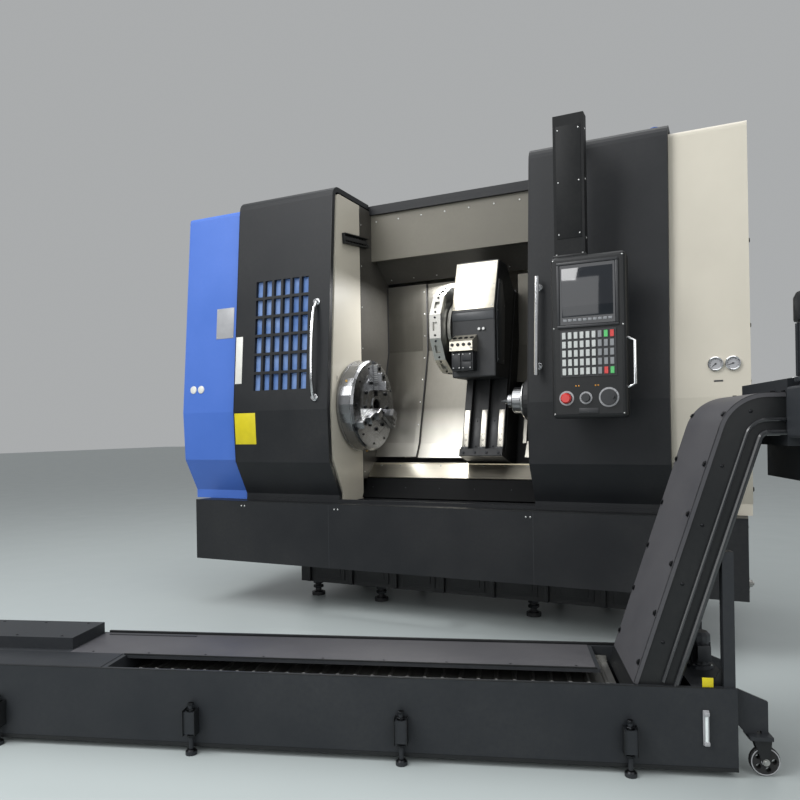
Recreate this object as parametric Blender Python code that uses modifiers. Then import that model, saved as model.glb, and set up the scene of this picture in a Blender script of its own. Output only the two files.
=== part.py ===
"""A CNC turning lathe with a slanted bed, and its chip conveyor drawn out in front of it.

Run with: blender --background --python part.py
Metres, +Z up. X runs along the spindle and Y into the machine, away from its front.
"""

from math import atan2, cos, hypot, pi, radians, sin

import bmesh
import bpy
from mathutils import Matrix, Vector

# Clearances
SEAT = 0.0003
OVERRUN = 0.02
RUNNING = 0.0012
SLIDING = 0.0006

# Front tray
TRAY_LENGTH = 3.257
TRAY_BOTTOM = 0.30
TRAY_TOP = 0.68
TRAY_DEPTH = 0.42
TRAY_WALL = 0.02
CHIP_DROP_LENGTH = 2.20
CHIP_DROP_FRONT = 0.16
CHIP_DROP_BACK = 0.36
RAIL_WIDTH = 0.024

# Outline of the doors' outer face, from the bottom up, as places along Y and Z
DOOR_FOOT_Y = 0.11
DOOR_FOOT_Z = 0.70
LOWER_KNEE_Z = 0.725
BELLY_Z = 0.93
UPPER_KNEE_Z = 1.25
UPPER_KNEE_Y = -0.015
DOOR_CREST_Y = 0.09
DOOR_CREST_Z = 2.612
CREST_RADIUS = 0.07
CAP_BACK_Y = 0.55
DOOR_THICKNESS = 0.03
DOOR_GAP = 0.012
DOOR_WIDTH = 0.695
OPENING_HALF = 0.605

# Fixed covers behind the doors
COVER_LEFT_X = -1.75
COVER_RIGHT_X = 1.65
COVER_SHEET = 0.02
COVER_BACK_Y = 0.90
WALL_FACE_X = -0.60
WORK_END_X = 1.38
CHEEK_BACK_Y = 0.41
ROOF_PANEL_FRONT_Y = 0.572
LINTEL_DROP = 0.372
LINTEL_BOTTOM_Z = DOOR_CREST_Z - LINTEL_DROP
TOP_RAIL_HEIGHT = 0.032
TOP_RAIL_DEPTH = 0.021
TOP_RAIL_LIP = 0.026
REAR_SHOULDER_Y = 1.10
REAR_BACK_Y = 1.33
REAR_SHOULDER_Z = 2.30

# Window and handles
WINDOW_LEFT_X = -1.149
WINDOW_RIGHT_X = -0.76
WINDOW_BOTTOM_Z = 1.377
WINDOW_TOP_Z = 2.067
WINDOW_CELLS = 6
WINDOW_BAR = 0.017
GLASS_THICKNESS = 0.008
GLASS_MARGIN = 0.012
HANDLE_RADIUS = 0.011
BOW_PAD_RADIUS = 0.014
BOW_BOTTOM_Z = 1.32
BOW_TOP_Z = 1.90
BOW_INSET = 0.091
BOW_STANDOFF = 0.055
BOW_FULLNESS = 0.6
BAR_BOTTOM_Z = 1.386
BAR_TOP_Z = 1.898
BAR_INSET = 0.06
BAR_RADIUS = 0.012
BAR_STANDOFF = 0.05
BAR_POST_RADIUS = 0.009
BAR_POST_INSET = 0.05

# Spindle line
SPINDLE_Y = 0.35
SPINDLE_Z = 1.275
SLANT = radians(75)
SPINDLE_REAR_X = -1.30
SPINDLE_NOSE_X = -0.60
SPINDLE_RADIUS = 0.11
SPINDLE_FLANGE_RADIUS = 0.145
SPINDLE_FLANGE_THICKNESS = 0.03
SPINDLE_BORE = 0.052
NOSE_HOLE_RADIUS = 0.16
HEADSTOCK_LEFT_X = -1.10
HEADSTOCK_RIGHT_X = -0.645
HEADSTOCK_FRONT = 0.215
HEADSTOCK_HALF = 0.27
HEADSTOCK_CHAMFER = 0.10

# Chuck and jaws
CHUCK_RADIUS = 0.285
CHUCK_THICKNESS = 0.13
CHUCK_FILLET = 0.012
CHUCK_RING_DEPTH = 0.012
CHUCK_RING_RADIUS = 0.205
JAW_COUNT = 3
JAW_SLOT_WIDTH = 0.052
JAW_SLOT_DEPTH = 0.034
JAW_INNER = 0.09
JAW_OUTER = 0.255
JAW_STEP_1 = 0.030
JAW_STEP_2 = 0.028
JAW_STEP_3 = 0.026
JAW_TRAVEL = 0.012
JAW_STEPS = 3
JAW_EDGE = 0.0026

# Bed casting
BED_LEFT_X = -1.12
BED_RIGHT_X = 1.30
BED_FACE = 0.47
BED_FACE_LOW = -0.35
BED_FACE_HIGH = 0.80
BED_BACK_Y = 1.28
BED_FRONT_Y = 0.46
BED_LEDGE_Z = 0.60
BED_BOTTOM_Z = 0.10
FOOT_RADIUS = 0.045
FOOT_STEM_RADIUS = 0.02
FOOT_PAD = 0.022
FOOT_X_SHARES = (0.04, 0.24, 0.66, 0.96)
FOOT_FRONT_Y = 0.52
FOOT_BACK_Y = 1.20
GUIDE_WIDTH = 0.05
GUIDE_HEIGHT = 0.035
GUIDE_SINK = 0.01
SADDLE_GUIDES = (0.25, 0.72)
TAILSTOCK_GUIDES = (-0.13, 0.075)
TAILSTOCK_GUIDE_LEFT_X = 0.42
BEARING_CHEEK = 0.022

# Saddle, turret housing and turret disc
SADDLE_LEFT_X = 0.06
SADDLE_WIDTH = 0.27
SADDLE_LOW = -0.25
SADDLE_HIGH = 0.80
SADDLE_FRONT = 0.21
SADDLE_BACK = 0.415
SADDLE_BEAM = 0.045
SADDLE_BEAM_FRONT = 0.14
WAY_COUNT = 3
WAY_WIDTH = 0.042
WAY_HEIGHT = 0.04
WAY_INSET = 0.004
HOUSING_BOTTOM_Z = 1.42
HOUSING_BROW_Z = 1.81
HOUSING_TOP_Z = 2.12
HOUSING_FRONT_Y = 0.32
HOUSING_TOP_FRONT_Y = 0.42
HOUSING_TOP_BACK_Y = 0.56
HOUSING_REAR_Z = 2.00
HOUSING_BEVEL = 0.008
DISC_ALONG = 0.46
DISC_RADIUS = 0.26
DISC_THICKNESS = 0.07
DISC_GAP = 0.025
DISC_STATIONS = 12
DISC_HUB_RADIUS = 0.085
DISC_FLANGE_RADIUS = 0.17
DISC_FLANGE_THICKNESS = 0.018
STATION_POCKET_WIDTH = 0.05
STATION_POCKET_DEPTH = 0.014
STATION_POCKET_LENGTH = 0.03
MANIFOLD_WIDTH = 0.14
MANIFOLD_DEPTH = 0.09
MANIFOLD_HEIGHT = 0.10
MANIFOLD_DROP = 0.14
MANIFOLD_INSET = 0.02
MANIFOLD_PORTS = 4
MANIFOLD_PORT_RADIUS = 0.009
MANIFOLD_PORT_DEPTH = 0.02
MANIFOLD_SLOPE = 0.045

# Way covers of the work area's back
COVER_PLANE_Y = 0.80
COVER_PLANE_TOP_Z = 2.103
COVER_BREAK_Z = 1.65
COVER_LIP_Y = 0.585
COVER_LIP_Z = 0.94
COVER_FOOT_Z = 1.03
COVER_FOOT_Y = 0.634
COVER_PLATE = 0.006
COVER_NEST = 0.012
FIXED_COVER_RIGHT_X = -0.30
SADDLE_COVER_REACH = 0.45
RIGHT_FIXED_COVER_X = 0.60
RIGHT_SADDLE_COVER_REACH = 0.52
RIGHT_COVER_LOW = 0.14

# Chip slides and ceiling
SLIDE_SHEET = 0.006
SLIDE_TOP_Y = 0.563
SLIDE_TOP_Z = 0.900
SLIDE_FOOT_Y = 0.468
SLIDE_FOOT_Z = 0.812
APRON_FOOT_Y = 0.392
APRON_FOOT_Z = 0.69
TAIL_SLIDE_TOP_Y = 0.642
TAIL_SLIDE_TOP_Z = 1.035
CEILING_FRONT_Y = 0.625
CEILING_ABOVE_LINTEL = 0.015
CEILING_FRONT_Z = LINTEL_BOTTOM_Z + CEILING_ABOVE_LINTEL
CEILING_BACK_Y = 0.80
CEILING_FALL = 0.115
CEILING_BACK_Z = LINTEL_BOTTOM_Z - CEILING_FALL

# Tailstock
TAIL_LEFT_X = 0.50
TAIL_LENGTH = 0.34
TAIL_RADIUS = 0.12
TAIL_ARM_HALF = 0.10
TAIL_ARM_RISE = -0.02
TAIL_FOOT_LENGTH = 0.26
QUILL_RADIUS = 0.075
QUILL_REACH = 0.07
QUILL_SUNK = 0.22
CENTRE_RADIUS = 0.042
CENTRE_LENGTH = 0.085
CENTRE_SHANK_RADIUS = 0.022
CENTRE_SHANK_LENGTH = 0.09
CENTRE_COLLAR = 0.03

# Spindle drive
MOTOR_Y = 0.62
MOTOR_Z = 0.86
MOTOR_LEFT_X = -1.64
MOTOR_RIGHT_X = -1.30
MOTOR_HALF = 0.13
MOTOR_CHAMFER = 0.03
MOTOR_FOOT_THICKNESS = 0.02
MOTOR_FOOT_DROP = 0.13
PULLEY_LEFT_X = -1.285
PULLEY_WIDTH = 0.07
MOTOR_PULLEY_RADIUS = 0.085
SPINDLE_PULLEY_RADIUS = 0.15
PULLEY_FLANGE = 0.008
PULLEY_FLANGE_WIDTH = 0.006
MOTOR_SHAFT_RADIUS = 0.024
BELT_THICKNESS = 0.008
BELT_WIDTH = 0.05

# Electrical cabinet
CABINET_LEFT_X = -1.15
CABINET_RIGHT_X = 0.85
CABINET_BOTTOM_Z = 0.34
CABINET_TOP_Z = 2.18
CABINET_DEPTH = 0.36
CABINET_WALL = 0.016
CABINET_DOOR = 0.022
CABINET_DOOR_SPLIT = 0.004
PANEL_INSET = 0.05
PANEL_SHEET = 0.008
DRIVE_COUNT = 5
DRIVE_WIDTH = 0.14
DRIVE_HEIGHT = 0.42
DRIVE_DEPTH = 0.18
CONTACTOR_HEIGHT = 0.12
CONTACTOR_DEPTH = 0.08
SWITCH_RADIUS = 0.032
SWITCH_DEPTH = 0.028
SWITCH_GRIP_WIDTH = 0.012
SWITCH_GRIP_PROUD = 0.014
SWITCH_INSET_X = 0.12
SWITCH_Z = 1.50

# Pendant
PENDANT_LEFT_X = 0.79
PENDANT_WIDTH = 0.347
PENDANT_BOTTOM_Z = 1.16
PENDANT_TOP_Z = 1.93
PENDANT_FRONT_Y = -0.25
PENDANT_DEPTH = 0.11
PENDANT_ROUNDING = 0.02
COLUMN_LEFT_X = 0.806
COLUMN_WIDTH = 0.146
COLUMN_FRONT_Y = -0.22
COLUMN_DEPTH = 0.065
ARM_CLEARANCE = 0.008
ARM_BOTTOM_Z = DOOR_CREST_Z + ARM_CLEARANCE
ARM_HEIGHT = 0.035
ARM_WIDTH = 0.05
ARM_ROOT_LOW = 0.08
ARM_ROOT_HIGH = 0.03
ARM_BACK_Y = 0.72
TROLLEY_RAIL_Y = 0.66
TROLLEY_RAIL_DEPTH = 0.06
TROLLEY_RAIL_HEIGHT = 0.03
TROLLEY_RAIL_LEFT_X = 0.16
TROLLEY_RAIL_RIGHT_X = 1.36
SCREEN_MARGIN = 0.045
SCREEN_BOTTOM_Z = 1.60
SCREEN_TOP_Z = 1.885
SCREEN_PROUD = 0.006
SCREEN_EDGE = 0.002
KEYS_BOTTOM_Z = 1.355
KEYS_TOP_Z = 1.575
KEY_ROWS = 5
KEY_COLUMNS = 9
KEY_GAP = 0.008
KEY_PLATE = 0.004
KEY_HEIGHT = 0.004
CONTROL_Z = 1.255
STOP_BUTTON_X = 0.07
STOP_BUTTON_RADIUS = 0.025
STOP_BUTTON_HEIGHT = 0.022
STOP_BUTTON_CREST = 0.0073
STOP_BUTTON_EDGE = 0.0055
STOP_BUTTON_TRAVEL = 0.006
STEM_RADIUS = 0.011
STEM_DEPTH = 0.018
KNOB_X = 0.16
KNOB_RADIUS = 0.02
KNOB_HEIGHT = 0.02
KNOB_FLUTES = 12
WHEEL_X = 0.265
WHEEL_RADIUS = 0.036
WHEEL_HEIGHT = 0.016
WHEEL_GRIP_RADIUS = 0.007
WHEEL_GRIP_LENGTH = 0.018

# Conveyor and coolant tank, in their own frame: X along the conveyor, Y towards the machine
CONVEYOR_CORNER_X = 1.58
CONVEYOR_CORNER_Y = -1.155
CONVEYOR_TURN = radians(17.39)
TANK_LENGTH = 3.12
TANK_WIDTH = 0.44
TANK_BOTTOM_Z = 0.02
TANK_TOP_Z = 0.282
TANK_SHEET = 0.012
TROUGH_FRONT_Y = 0.02
TROUGH_BACK_Y = TANK_WIDTH - TROUGH_FRONT_Y
TROUGH_FLOOR_Z = 0.13
SLOT_BACK_Y = 0.155
INCLINE_PIT_X = -0.40
TROUGH_LEFT_X = -2.15
TROUGH_RIGHT_X = -0.135
HOOD_HEIGHT = 0.045
HOOD_STEP_X = -2.40
HOOD_FRONT_Y = 0.20
JACK_PITCH = 0.742
JACK_FIRST_X = -0.333
JACK_COUNT = 4
JACK_WIDTH = 0.04
JACK_DEPTH = 0.035
JACK_HEIGHT = 0.075
JACK_Z = 0.075
JACK_SCREW_RADIUS = 0.008
JACK_PAD_RADIUS = 0.02
JACK_PAD = 0.012
BELT_LOW_Z = 0.215
BELT_SHEET = 0.012
BELT_PITCH = 0.0635
BELT_KNUCKLE = 0.009
BELT_SIDE_GAP = 0.004
BELT_LEFT_X = -2.13
BELT_RIGHT_X = -0.345
INCLINE_ANGLE = radians(71.5)
INCLINE_LOW_X = -0.333
INCLINE_THICKNESS = 0.125
INCLINE_TOP_Z = 1.218
INCLINE_KNEE_RADIUS = 0.15
INCLINE_FOOT_Z = 0.225
HEAD_LEFT_X = 0.165
HEAD_RIGHT_X = 0.56
HEAD_SHEET = 0.014
HEAD_TOP_Z = 1.262
HEAD_BOTTOM_Z = 0.93
HEAD_FRONT_Y = 0.008
HEAD_BACK_Y = TANK_WIDTH - HEAD_FRONT_Y
HEAD_NOSE = 0.12
MOUTH_LEFT_X = 0.25
DRIVE_MOTOR_RADIUS = 0.066
DRIVE_MOTOR_LENGTH = 0.28
GEARBOX_SIDE = 0.16
DRIVE_MOTOR_X = 0.24
GEARBOX_WIDTH = 0.15
POST_SIDE = 0.035
POST_RIGHT_X = -0.002
OUTRIGGER_LENGTH = 0.106
OUTRIGGER_TOP_Z = 0.272
OUTRIGGER_TIP_Z = 0.235
OUTRIGGER_LOW_Z = 0.121
OUTRIGGER_ROOT_Z = 0.175
OUTRIGGER_FOOT_X = 0.036
OUTRIGGER_PLATE = 0.012
CASTER_X = 0.072
CASTER_INSET_Y = 0.036
CASTER_RADIUS = 0.047
CASTER_WIDTH = 0.024
CASTER_EDGE = 0.006
CASTER_TRAIL = 0.016
CASTER_AXLE_RADIUS = 0.006
FORK_SHEET = 0.004
FORK_GAP = 0.003
FORK_HALF = 0.018
FORK_PLATE = 0.008
FORK_STEM_RADIUS = 0.009
CASTER_SPOKES = 5
SPOKE_WINDOW = 0.009
PUMP_X = -0.056
PUMP_Y = TANK_WIDTH / 2
PUMP_RADIUS = 0.036
PUMP_HEIGHT = 0.08
PUMP_FLANGE = 0.045
PUMP_FLANGE_HEIGHT = 0.012
PUMP_CAP = 0.03
PUMP_CAP_EDGE = 0.01
PUMP_CAP_PROUD = 0.004

ROUND = 32
SMALL_ROUND = 12
HALF = 0.5
KNEE_STEPS = 8
KNUCKLE_STEPS = 4
ARC_STEPS = 5

# Where the origin lies in the machine's own frame: under the middle of the whole, on the floor
REACH_RIGHT_X = CONVEYOR_CORNER_X + HEAD_RIGHT_X * cos(CONVEYOR_TURN) - HEAD_FRONT_Y * sin(CONVEYOR_TURN)
REACH_FRONT_Y = CONVEYOR_CORNER_Y - TANK_LENGTH * sin(CONVEYOR_TURN)
REACH_BACK_Y = REAR_BACK_Y + 3 * SEAT + CABINET_DEPTH + CABINET_DOOR + SWITCH_DEPTH + SWITCH_GRIP_PROUD
ORIGIN_X = (COVER_LEFT_X + REACH_RIGHT_X) / 2
ORIGIN_Y = (REACH_FRONT_Y + REACH_BACK_Y) / 2


def clear_scene():
    for obj in list(bpy.data.objects):
        bpy.data.objects.remove(obj)


clear_scene()
PARTS = bpy.data.collections.new("cnc_turning_lathe")
CUTTERS = bpy.data.collections.new("cutters")
CUTTERS.hide_render = True
for group in (PARTS, CUTTERS):
    bpy.context.scene.collection.children.link(group)


def frame_empty(name, x, y, turn=0.0):
    empty = bpy.data.objects.new(name, None)
    empty.location = (x, y, 0)
    empty.rotation_euler = (0, 0, turn)
    PARTS.objects.link(empty)
    return empty


MACHINE = frame_empty("machine_frame", -ORIGIN_X, -ORIGIN_Y)
CONVEYOR = frame_empty(
    "conveyor_frame", CONVEYOR_CORNER_X - ORIGIN_X, CONVEYOR_CORNER_Y - ORIGIN_Y, CONVEYOR_TURN
)


def linear(channel):
    """The linear value of one sRGB channel, given as 0 to 255."""
    share = channel / 255
    return share / 12.92 if share <= 0.04045 else ((share + 0.055) / 1.055) ** 2.4


def material(name, rgb, roughness, metallic=0.0):
    made = bpy.data.materials.get(name) or bpy.data.materials.new(name)
    made.use_nodes = True
    shader = made.node_tree.nodes["Principled BSDF"]
    shader.inputs["Base Color"].default_value = (*map(linear, rgb), 1)
    shader.inputs["Roughness"].default_value = roughness
    shader.inputs["Metallic"].default_value = metallic
    return made


BLACK_PAINT = material("black_paint", (52, 55, 58), 0.55)
BLUE_PAINT = material("blue_paint", (88, 128, 216), 0.4)
WHITE_PAINT = material("white_paint", (222, 217, 205), 0.4)
BEIGE_PAINT = material("beige_paint", (176, 170, 156), 0.5)
GREY_STEEL = material("grey_steel", (128, 126, 120), 0.4, 0.7)
BRIGHT_STEEL = material("bright_steel", (200, 198, 190), 0.28, 1.0)
CAST_IRON = material("cast_iron_paint", (46, 48, 50), 0.6)
TURNED_STEEL = material("turned_steel", (150, 150, 148), 0.3, 1.0)
CHROME = material("chrome", (215, 215, 215), 0.12, 1.0)
GLASS = material("window_glass", (150, 165, 170), 0.08)
RUBBER = material("rubber", (28, 28, 28), 0.8)
DARK_PLASTIC = material("dark_plastic", (38, 40, 43), 0.45)
PALE_PLASTIC = material("pale_plastic", (190, 192, 190), 0.45)
SCREEN_GLASS = material("screen_glass", (16, 20, 26), 0.1)
STOP_RED = material("stop_red", (196, 30, 26), 0.35)
MOTOR_GREY = material("motor_grey", (92, 96, 100), 0.5)


def attach(obj, name, finish, parent, collection):
    obj.name = name
    if finish is not None:
        obj.data.materials.clear()
        obj.data.materials.append(finish)
    obj.parent = parent
    collection.objects.link(obj)
    return obj


def helper(obj):
    """Marks an object as a cutter or a shape that is joined on."""
    for owner in list(obj.users_collection):
        owner.objects.unlink(obj)
    CUTTERS.objects.link(obj)
    obj.hide_render = True
    obj.display_type = "WIRE"
    return obj


def mesh_object(name, mesh, finish, parent, place=Matrix.Identity(4)):
    obj = bpy.data.objects.new(name, mesh)
    attach(obj, name, finish, parent, PARTS)
    obj.matrix_basis = place
    return obj


def block(name, low, high, finish=None, parent=MACHINE):
    """A box between two corners."""
    low, high = Vector(low), Vector(high)
    shape = bmesh.new()
    bmesh.ops.create_cube(shape, size=1)
    bmesh.ops.scale(shape, vec=high - low, verts=shape.verts)
    mesh = bpy.data.meshes.new(name)
    shape.to_mesh(mesh)
    shape.free()
    return mesh_object(name, mesh, finish, parent, Matrix.Translation((low + high) / 2))


AXIS_TURNS = {
    "X": Matrix.Rotation(pi / 2, 4, "Z") @ Matrix.Rotation(pi / 2, 4, "X"),
    "Y": Matrix.Rotation(pi / 2, 4, "X"),
    "Z": Matrix.Identity(4),
}
AXIS_UNITS = {"X": Vector((1, 0, 0)), "Y": Vector((0, 1, 0)), "Z": Vector((0, 0, 1))}


def curve_to_mesh(curve_object):
    """Replaces a curve object by the closed mesh that it draws."""
    graph = bpy.context.evaluated_depsgraph_get()
    mesh = bpy.data.meshes.new_from_object(curve_object.evaluated_get(graph))
    shape = bmesh.new()
    shape.from_mesh(mesh)
    bmesh.ops.remove_doubles(shape, verts=shape.verts, dist=1e-6)
    bmesh.ops.recalc_face_normals(shape, faces=shape.faces)
    shape.to_mesh(mesh)
    shape.free()
    bpy.data.objects.remove(curve_object)
    return mesh


def extrusion(name, outlines, axis, start, end, finish=None, parent=MACHINE):
    """A flat outline, drawn in the plane across an axis, drawn out from start to end along it.

    An outline across X is given as (Y, Z), across Y as (X, Z) and across Z as (X, Y).
    """
    curve = bpy.data.curves.new(name, "CURVE")
    curve.dimensions = "2D"
    curve.fill_mode = "BOTH"
    curve.extrude = abs(end - start) / 2
    for outline in outlines:
        spline = curve.splines.new("POLY")
        spline.points.add(len(outline) - 1)
        for point, (across, up) in zip(spline.points, outline):
            point.co = (across, up, 0, 1)
        spline.use_cyclic_u = True
    drawn = bpy.data.objects.new(name, curve)
    PARTS.objects.link(drawn)
    bpy.context.view_layer.update()
    mesh = curve_to_mesh(drawn)
    place = Matrix.Translation(AXIS_UNITS[axis] * (start + end) / 2) @ AXIS_TURNS[axis]
    return mesh_object(name, mesh, finish, parent, place)


SPIN_TURNS = {
    "X": Matrix.Rotation(pi / 2, 4, "Y"),
    "Y": Matrix.Rotation(-pi / 2, 4, "X"),
    "Z": Matrix.Identity(4),
}


def turned(name, profile, axis, centre, finish=None, parent=MACHINE, steps=ROUND, ring=False):
    """A revolved profile of (radius, place along the axis) that runs down its outer side.

    A ring's profile closes on itself. Any other one starts and ends on the axis.
    """
    shape = bmesh.new()
    corners = [shape.verts.new((radius, 0, along)) for radius, along in profile]
    for first, second in zip(corners, corners[1:] + corners[:1] if ring else corners[1:]):
        shape.edges.new((first, second))
    mesh = bpy.data.meshes.new(name)
    shape.to_mesh(mesh)
    shape.free()
    obj = mesh_object(name, mesh, finish, parent, Matrix.Translation(centre) @ SPIN_TURNS[axis])
    screw = obj.modifiers.new("turn", "SCREW")
    screw.axis = "Z"
    screw.angle = 2 * pi
    screw.steps = screw.render_steps = steps
    screw.use_merge_vertices = True
    screw.merge_threshold = 1e-5
    screw.use_smooth_shade = True
    return obj


def rod(name, radius, axis, centre, low, high, finish=None, parent=MACHINE, steps=ROUND):
    """A plain round bar from low to high along an axis through centre."""
    profile = [(0, high), (radius, high), (radius, low), (0, low)]
    return turned(name, profile, axis, centre, finish, parent, steps)


def bent_tube(name, points, radius, finish=None, parent=MACHINE, sides=3):
    curve = bpy.data.curves.new(name, "CURVE")
    curve.dimensions = "3D"
    curve.bevel_depth = radius
    curve.bevel_resolution = sides
    curve.use_fill_caps = True
    spline = curve.splines.new("POLY")
    spline.points.add(len(points) - 1)
    for point, place in zip(spline.points, points):
        point.co = (*place, 1)
    drawn = bpy.data.objects.new(name, curve)
    PARTS.objects.link(drawn)
    bpy.context.view_layer.update()
    return mesh_object(name, curve_to_mesh(drawn), finish, parent)


def combine(obj, other, operation):
    modifier = obj.modifiers.new(other.name, "BOOLEAN")
    modifier.operation = operation
    modifier.object = helper(other)
    return obj


def cut(obj, *others):
    for other in others:
        combine(obj, other, "DIFFERENCE")
    return obj


def join(obj, *others):
    for other in others:
        combine(obj, other, "UNION")
    return obj


def rounded_edges(obj, width, segments=2):
    bevel = obj.modifiers.new("edges", "BEVEL")
    bevel.width = width
    bevel.segments = segments
    bevel.limit_method = "ANGLE"
    return obj


def set_origin(obj, place):
    """Moves an object's origin onto a joint's axis, leaving its shape where it is."""
    shift = Vector(place) - obj.matrix_basis.translation
    turn = obj.matrix_basis.to_3x3()
    obj.data.transform(Matrix.Translation(turn.inverted() @ -shift))
    obj.matrix_basis = Matrix.Translation(place) @ turn.to_4x4()
    return obj


def slant(along, behind):
    """(Y, Z) of a point that lies so far up the slanted bed and so far behind the spindle's axis."""
    return (
        SPINDLE_Y + along * cos(SLANT) + behind * sin(SLANT),
        SPINDLE_Z + along * sin(SLANT) - behind * cos(SLANT),
    )


def slant_box(low_along, high_along, front, back):
    return [
        slant(low_along, front), slant(low_along, back), slant(high_along, back), slant(high_along, front)
    ]


def arc(centre, radius, start, end, steps=ARC_STEPS):
    """Points of an arc, by angles in radians."""
    return [
        (
            centre[0] + radius * cos(start + (end - start) * i / steps),
            centre[1] + radius * sin(start + (end - start) * i / steps),
        )
        for i in range(steps + 1)
    ]


def offset_line(points, distance):
    """An open line moved sideways, to the right of its direction, with mitred corners."""
    moved = []
    for i, point in enumerate(points):
        before = points[i - 1] if i else None
        after = points[i + 1] if i + 1 < len(points) else None
        normals = []
        for first, second in ((before, point), (point, after)):
            if first is not None and second is not None:
                run, rise = second[0] - first[0], second[1] - first[1]
                length = hypot(run, rise)
                normals.append((rise / length, -run / length))
        across = sum(n[0] for n in normals) / len(normals)
        up = sum(n[1] for n in normals) / len(normals)
        size = across * across + up * up
        moved.append((point[0] + distance * across / size, point[1] + distance * up / size))
    return moved


def door_line():
    """The doors' outer face in (Y, Z), from the foot up over the crest to the cap's back edge."""
    lean = atan2(DOOR_CREST_Z - UPPER_KNEE_Z, DOOR_CREST_Y - UPPER_KNEE_Y)
    run = CREST_RADIUS / abs(cos(lean / 2) / sin(lean / 2))
    centre = (DOOR_CREST_Y + CREST_RADIUS * sin(lean) - run * cos(lean), DOOR_CREST_Z - CREST_RADIUS)
    return [
        (DOOR_FOOT_Y, DOOR_FOOT_Z),
        (DOOR_FOOT_Y, LOWER_KNEE_Z),
        (0, BELLY_Z),
        (UPPER_KNEE_Y, UPPER_KNEE_Z),
        *arc(centre, CREST_RADIUS, lean + pi / 2, pi / 2),
        (CAP_BACK_Y, DOOR_CREST_Z),
    ]


COVER_OFFSET = DOOR_THICKNESS + DOOR_GAP
COVER_TOP_Z = DOOR_CREST_Z - COVER_OFFSET


def cover_line(offset, foot_z, back_y):
    """The fixed covers' outer face, behind the doors, from the foot to the given back edge."""
    line = offset_line(door_line(), offset)
    line[0] = (line[0][0], foot_z)
    line[-1] = (back_y, line[-1][1])
    return line


def strip(line_out, line_in):
    return line_out + line_in[::-1]


def cover_outline(back_y=COVER_BACK_Y, offset=COVER_OFFSET):
    foot = TRAY_TOP + SEAT
    return cover_line(offset, foot, back_y) + [(back_y, foot)]


def front_tray():
    half = TRAY_LENGTH / 2
    deck = TRAY_TOP - TRAY_WALL
    tray = block("front_tray", (-half, 0, TRAY_BOTTOM), (half, TRAY_DEPTH, TRAY_TOP), BLACK_PAINT)
    hollow = block(
        "tray_hollow",
        (TRAY_WALL - half, TRAY_WALL, TRAY_BOTTOM + TRAY_WALL),
        (half - TRAY_WALL, TRAY_DEPTH - TRAY_WALL, deck),
    )
    chip_inlet = block(
        "tray_inlet",
        (TRAY_WALL - OPENING_HALF, CHIP_DROP_FRONT, deck - OVERRUN),
        (OPENING_HALF - TRAY_WALL, TRAY_DEPTH - TRAY_WALL, TRAY_TOP + OVERRUN),
    )
    chip_outlet = block(
        "tray_outlet",
        (-CHIP_DROP_LENGTH / 2, CHIP_DROP_FRONT, TRAY_BOTTOM - OVERRUN),
        (CHIP_DROP_LENGTH / 2, CHIP_DROP_BACK, TRAY_BOTTOM + TRAY_WALL + OVERRUN),
    )
    cut(tray, hollow, chip_inlet, chip_outlet)
    rail = block(
        "door_rail",
        (-OPENING_HALF - DOOR_WIDTH, DOOR_FOOT_Y, deck + SEAT),
        (OPENING_HALF + DOOR_WIDTH, DOOR_FOOT_Y + RAIL_WIDTH, DOOR_FOOT_Z - SEAT),
    )
    return join(tray, rail)


def end_cover(name, outer_x, inner_x, finish, bulkhead_x=None):
    """A folded cover over one end of the machine: front, top and end wall, open at the back and the foot."""
    foot = TRAY_TOP + SEAT
    sheet = strip(
        cover_line(COVER_OFFSET, foot, COVER_BACK_Y),
        cover_line(COVER_OFFSET + COVER_SHEET, foot, COVER_BACK_Y),
    )
    low, high = min(outer_x, inner_x), max(outer_x, inner_x)
    cover = extrusion(name, [sheet], "X", low, high, finish)
    inward = COVER_SHEET if outer_x < inner_x else -COVER_SHEET
    walls = [(outer_x, outer_x + inward)]
    if bulkhead_x is not None:
        walls.append((bulkhead_x, bulkhead_x + COVER_SHEET))
    for number, (first, second) in enumerate(walls):
        outline = cover_outline(offset=COVER_OFFSET + (COVER_SHEET / 2 if number else 0))
        join(
            cover,
            extrusion(f"{name}_wall_{number}", [outline], "X", min(first, second), max(first, second)),
        )
    return cover


def nose_cutter(name, radius=NOSE_HOLE_RADIUS):
    return rod(
        name, radius, "X", (WALL_FACE_X, SPINDLE_Y, SPINDLE_Z), -COVER_SHEET - OVERRUN, OVERRUN
    )


def left_cheek():
    """The white plate beside the chuck, at the front of the work area's left wall."""
    cheek = extrusion(
        "left_cheek",
        [cover_outline(back_y=CHEEK_BACK_Y)],
        "X",
        WALL_FACE_X - COVER_SHEET,
        WALL_FACE_X,
        WHITE_PAINT,
    )
    return cut(cheek, nose_cutter("cheek_hole"))


def headstock_wall():
    """The grey wall behind the chuck, from the cheek to the way covers."""
    front = CHEEK_BACK_Y + SEAT
    foot = SLIDE_FOOT_Z - SLIDE_SHEET
    outline = [
        (front, foot),
        (SLIDE_FOOT_Y + COVER_NEST, foot),
        (SLIDE_TOP_Y + COVER_NEST, SLIDE_TOP_Z - COVER_NEST),
        *offset_line(way_cover_line(), 2 * COVER_NEST),
        (COVER_PLANE_Y + 2 * COVER_NEST, COVER_TOP_Z),
        (front, COVER_TOP_Z),
    ]
    wall = extrusion("headstock_wall", [outline], "X", WALL_FACE_X - COVER_SHEET, WALL_FACE_X, GREY_STEEL)
    return cut(wall, nose_cutter("wall_hole"))


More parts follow.
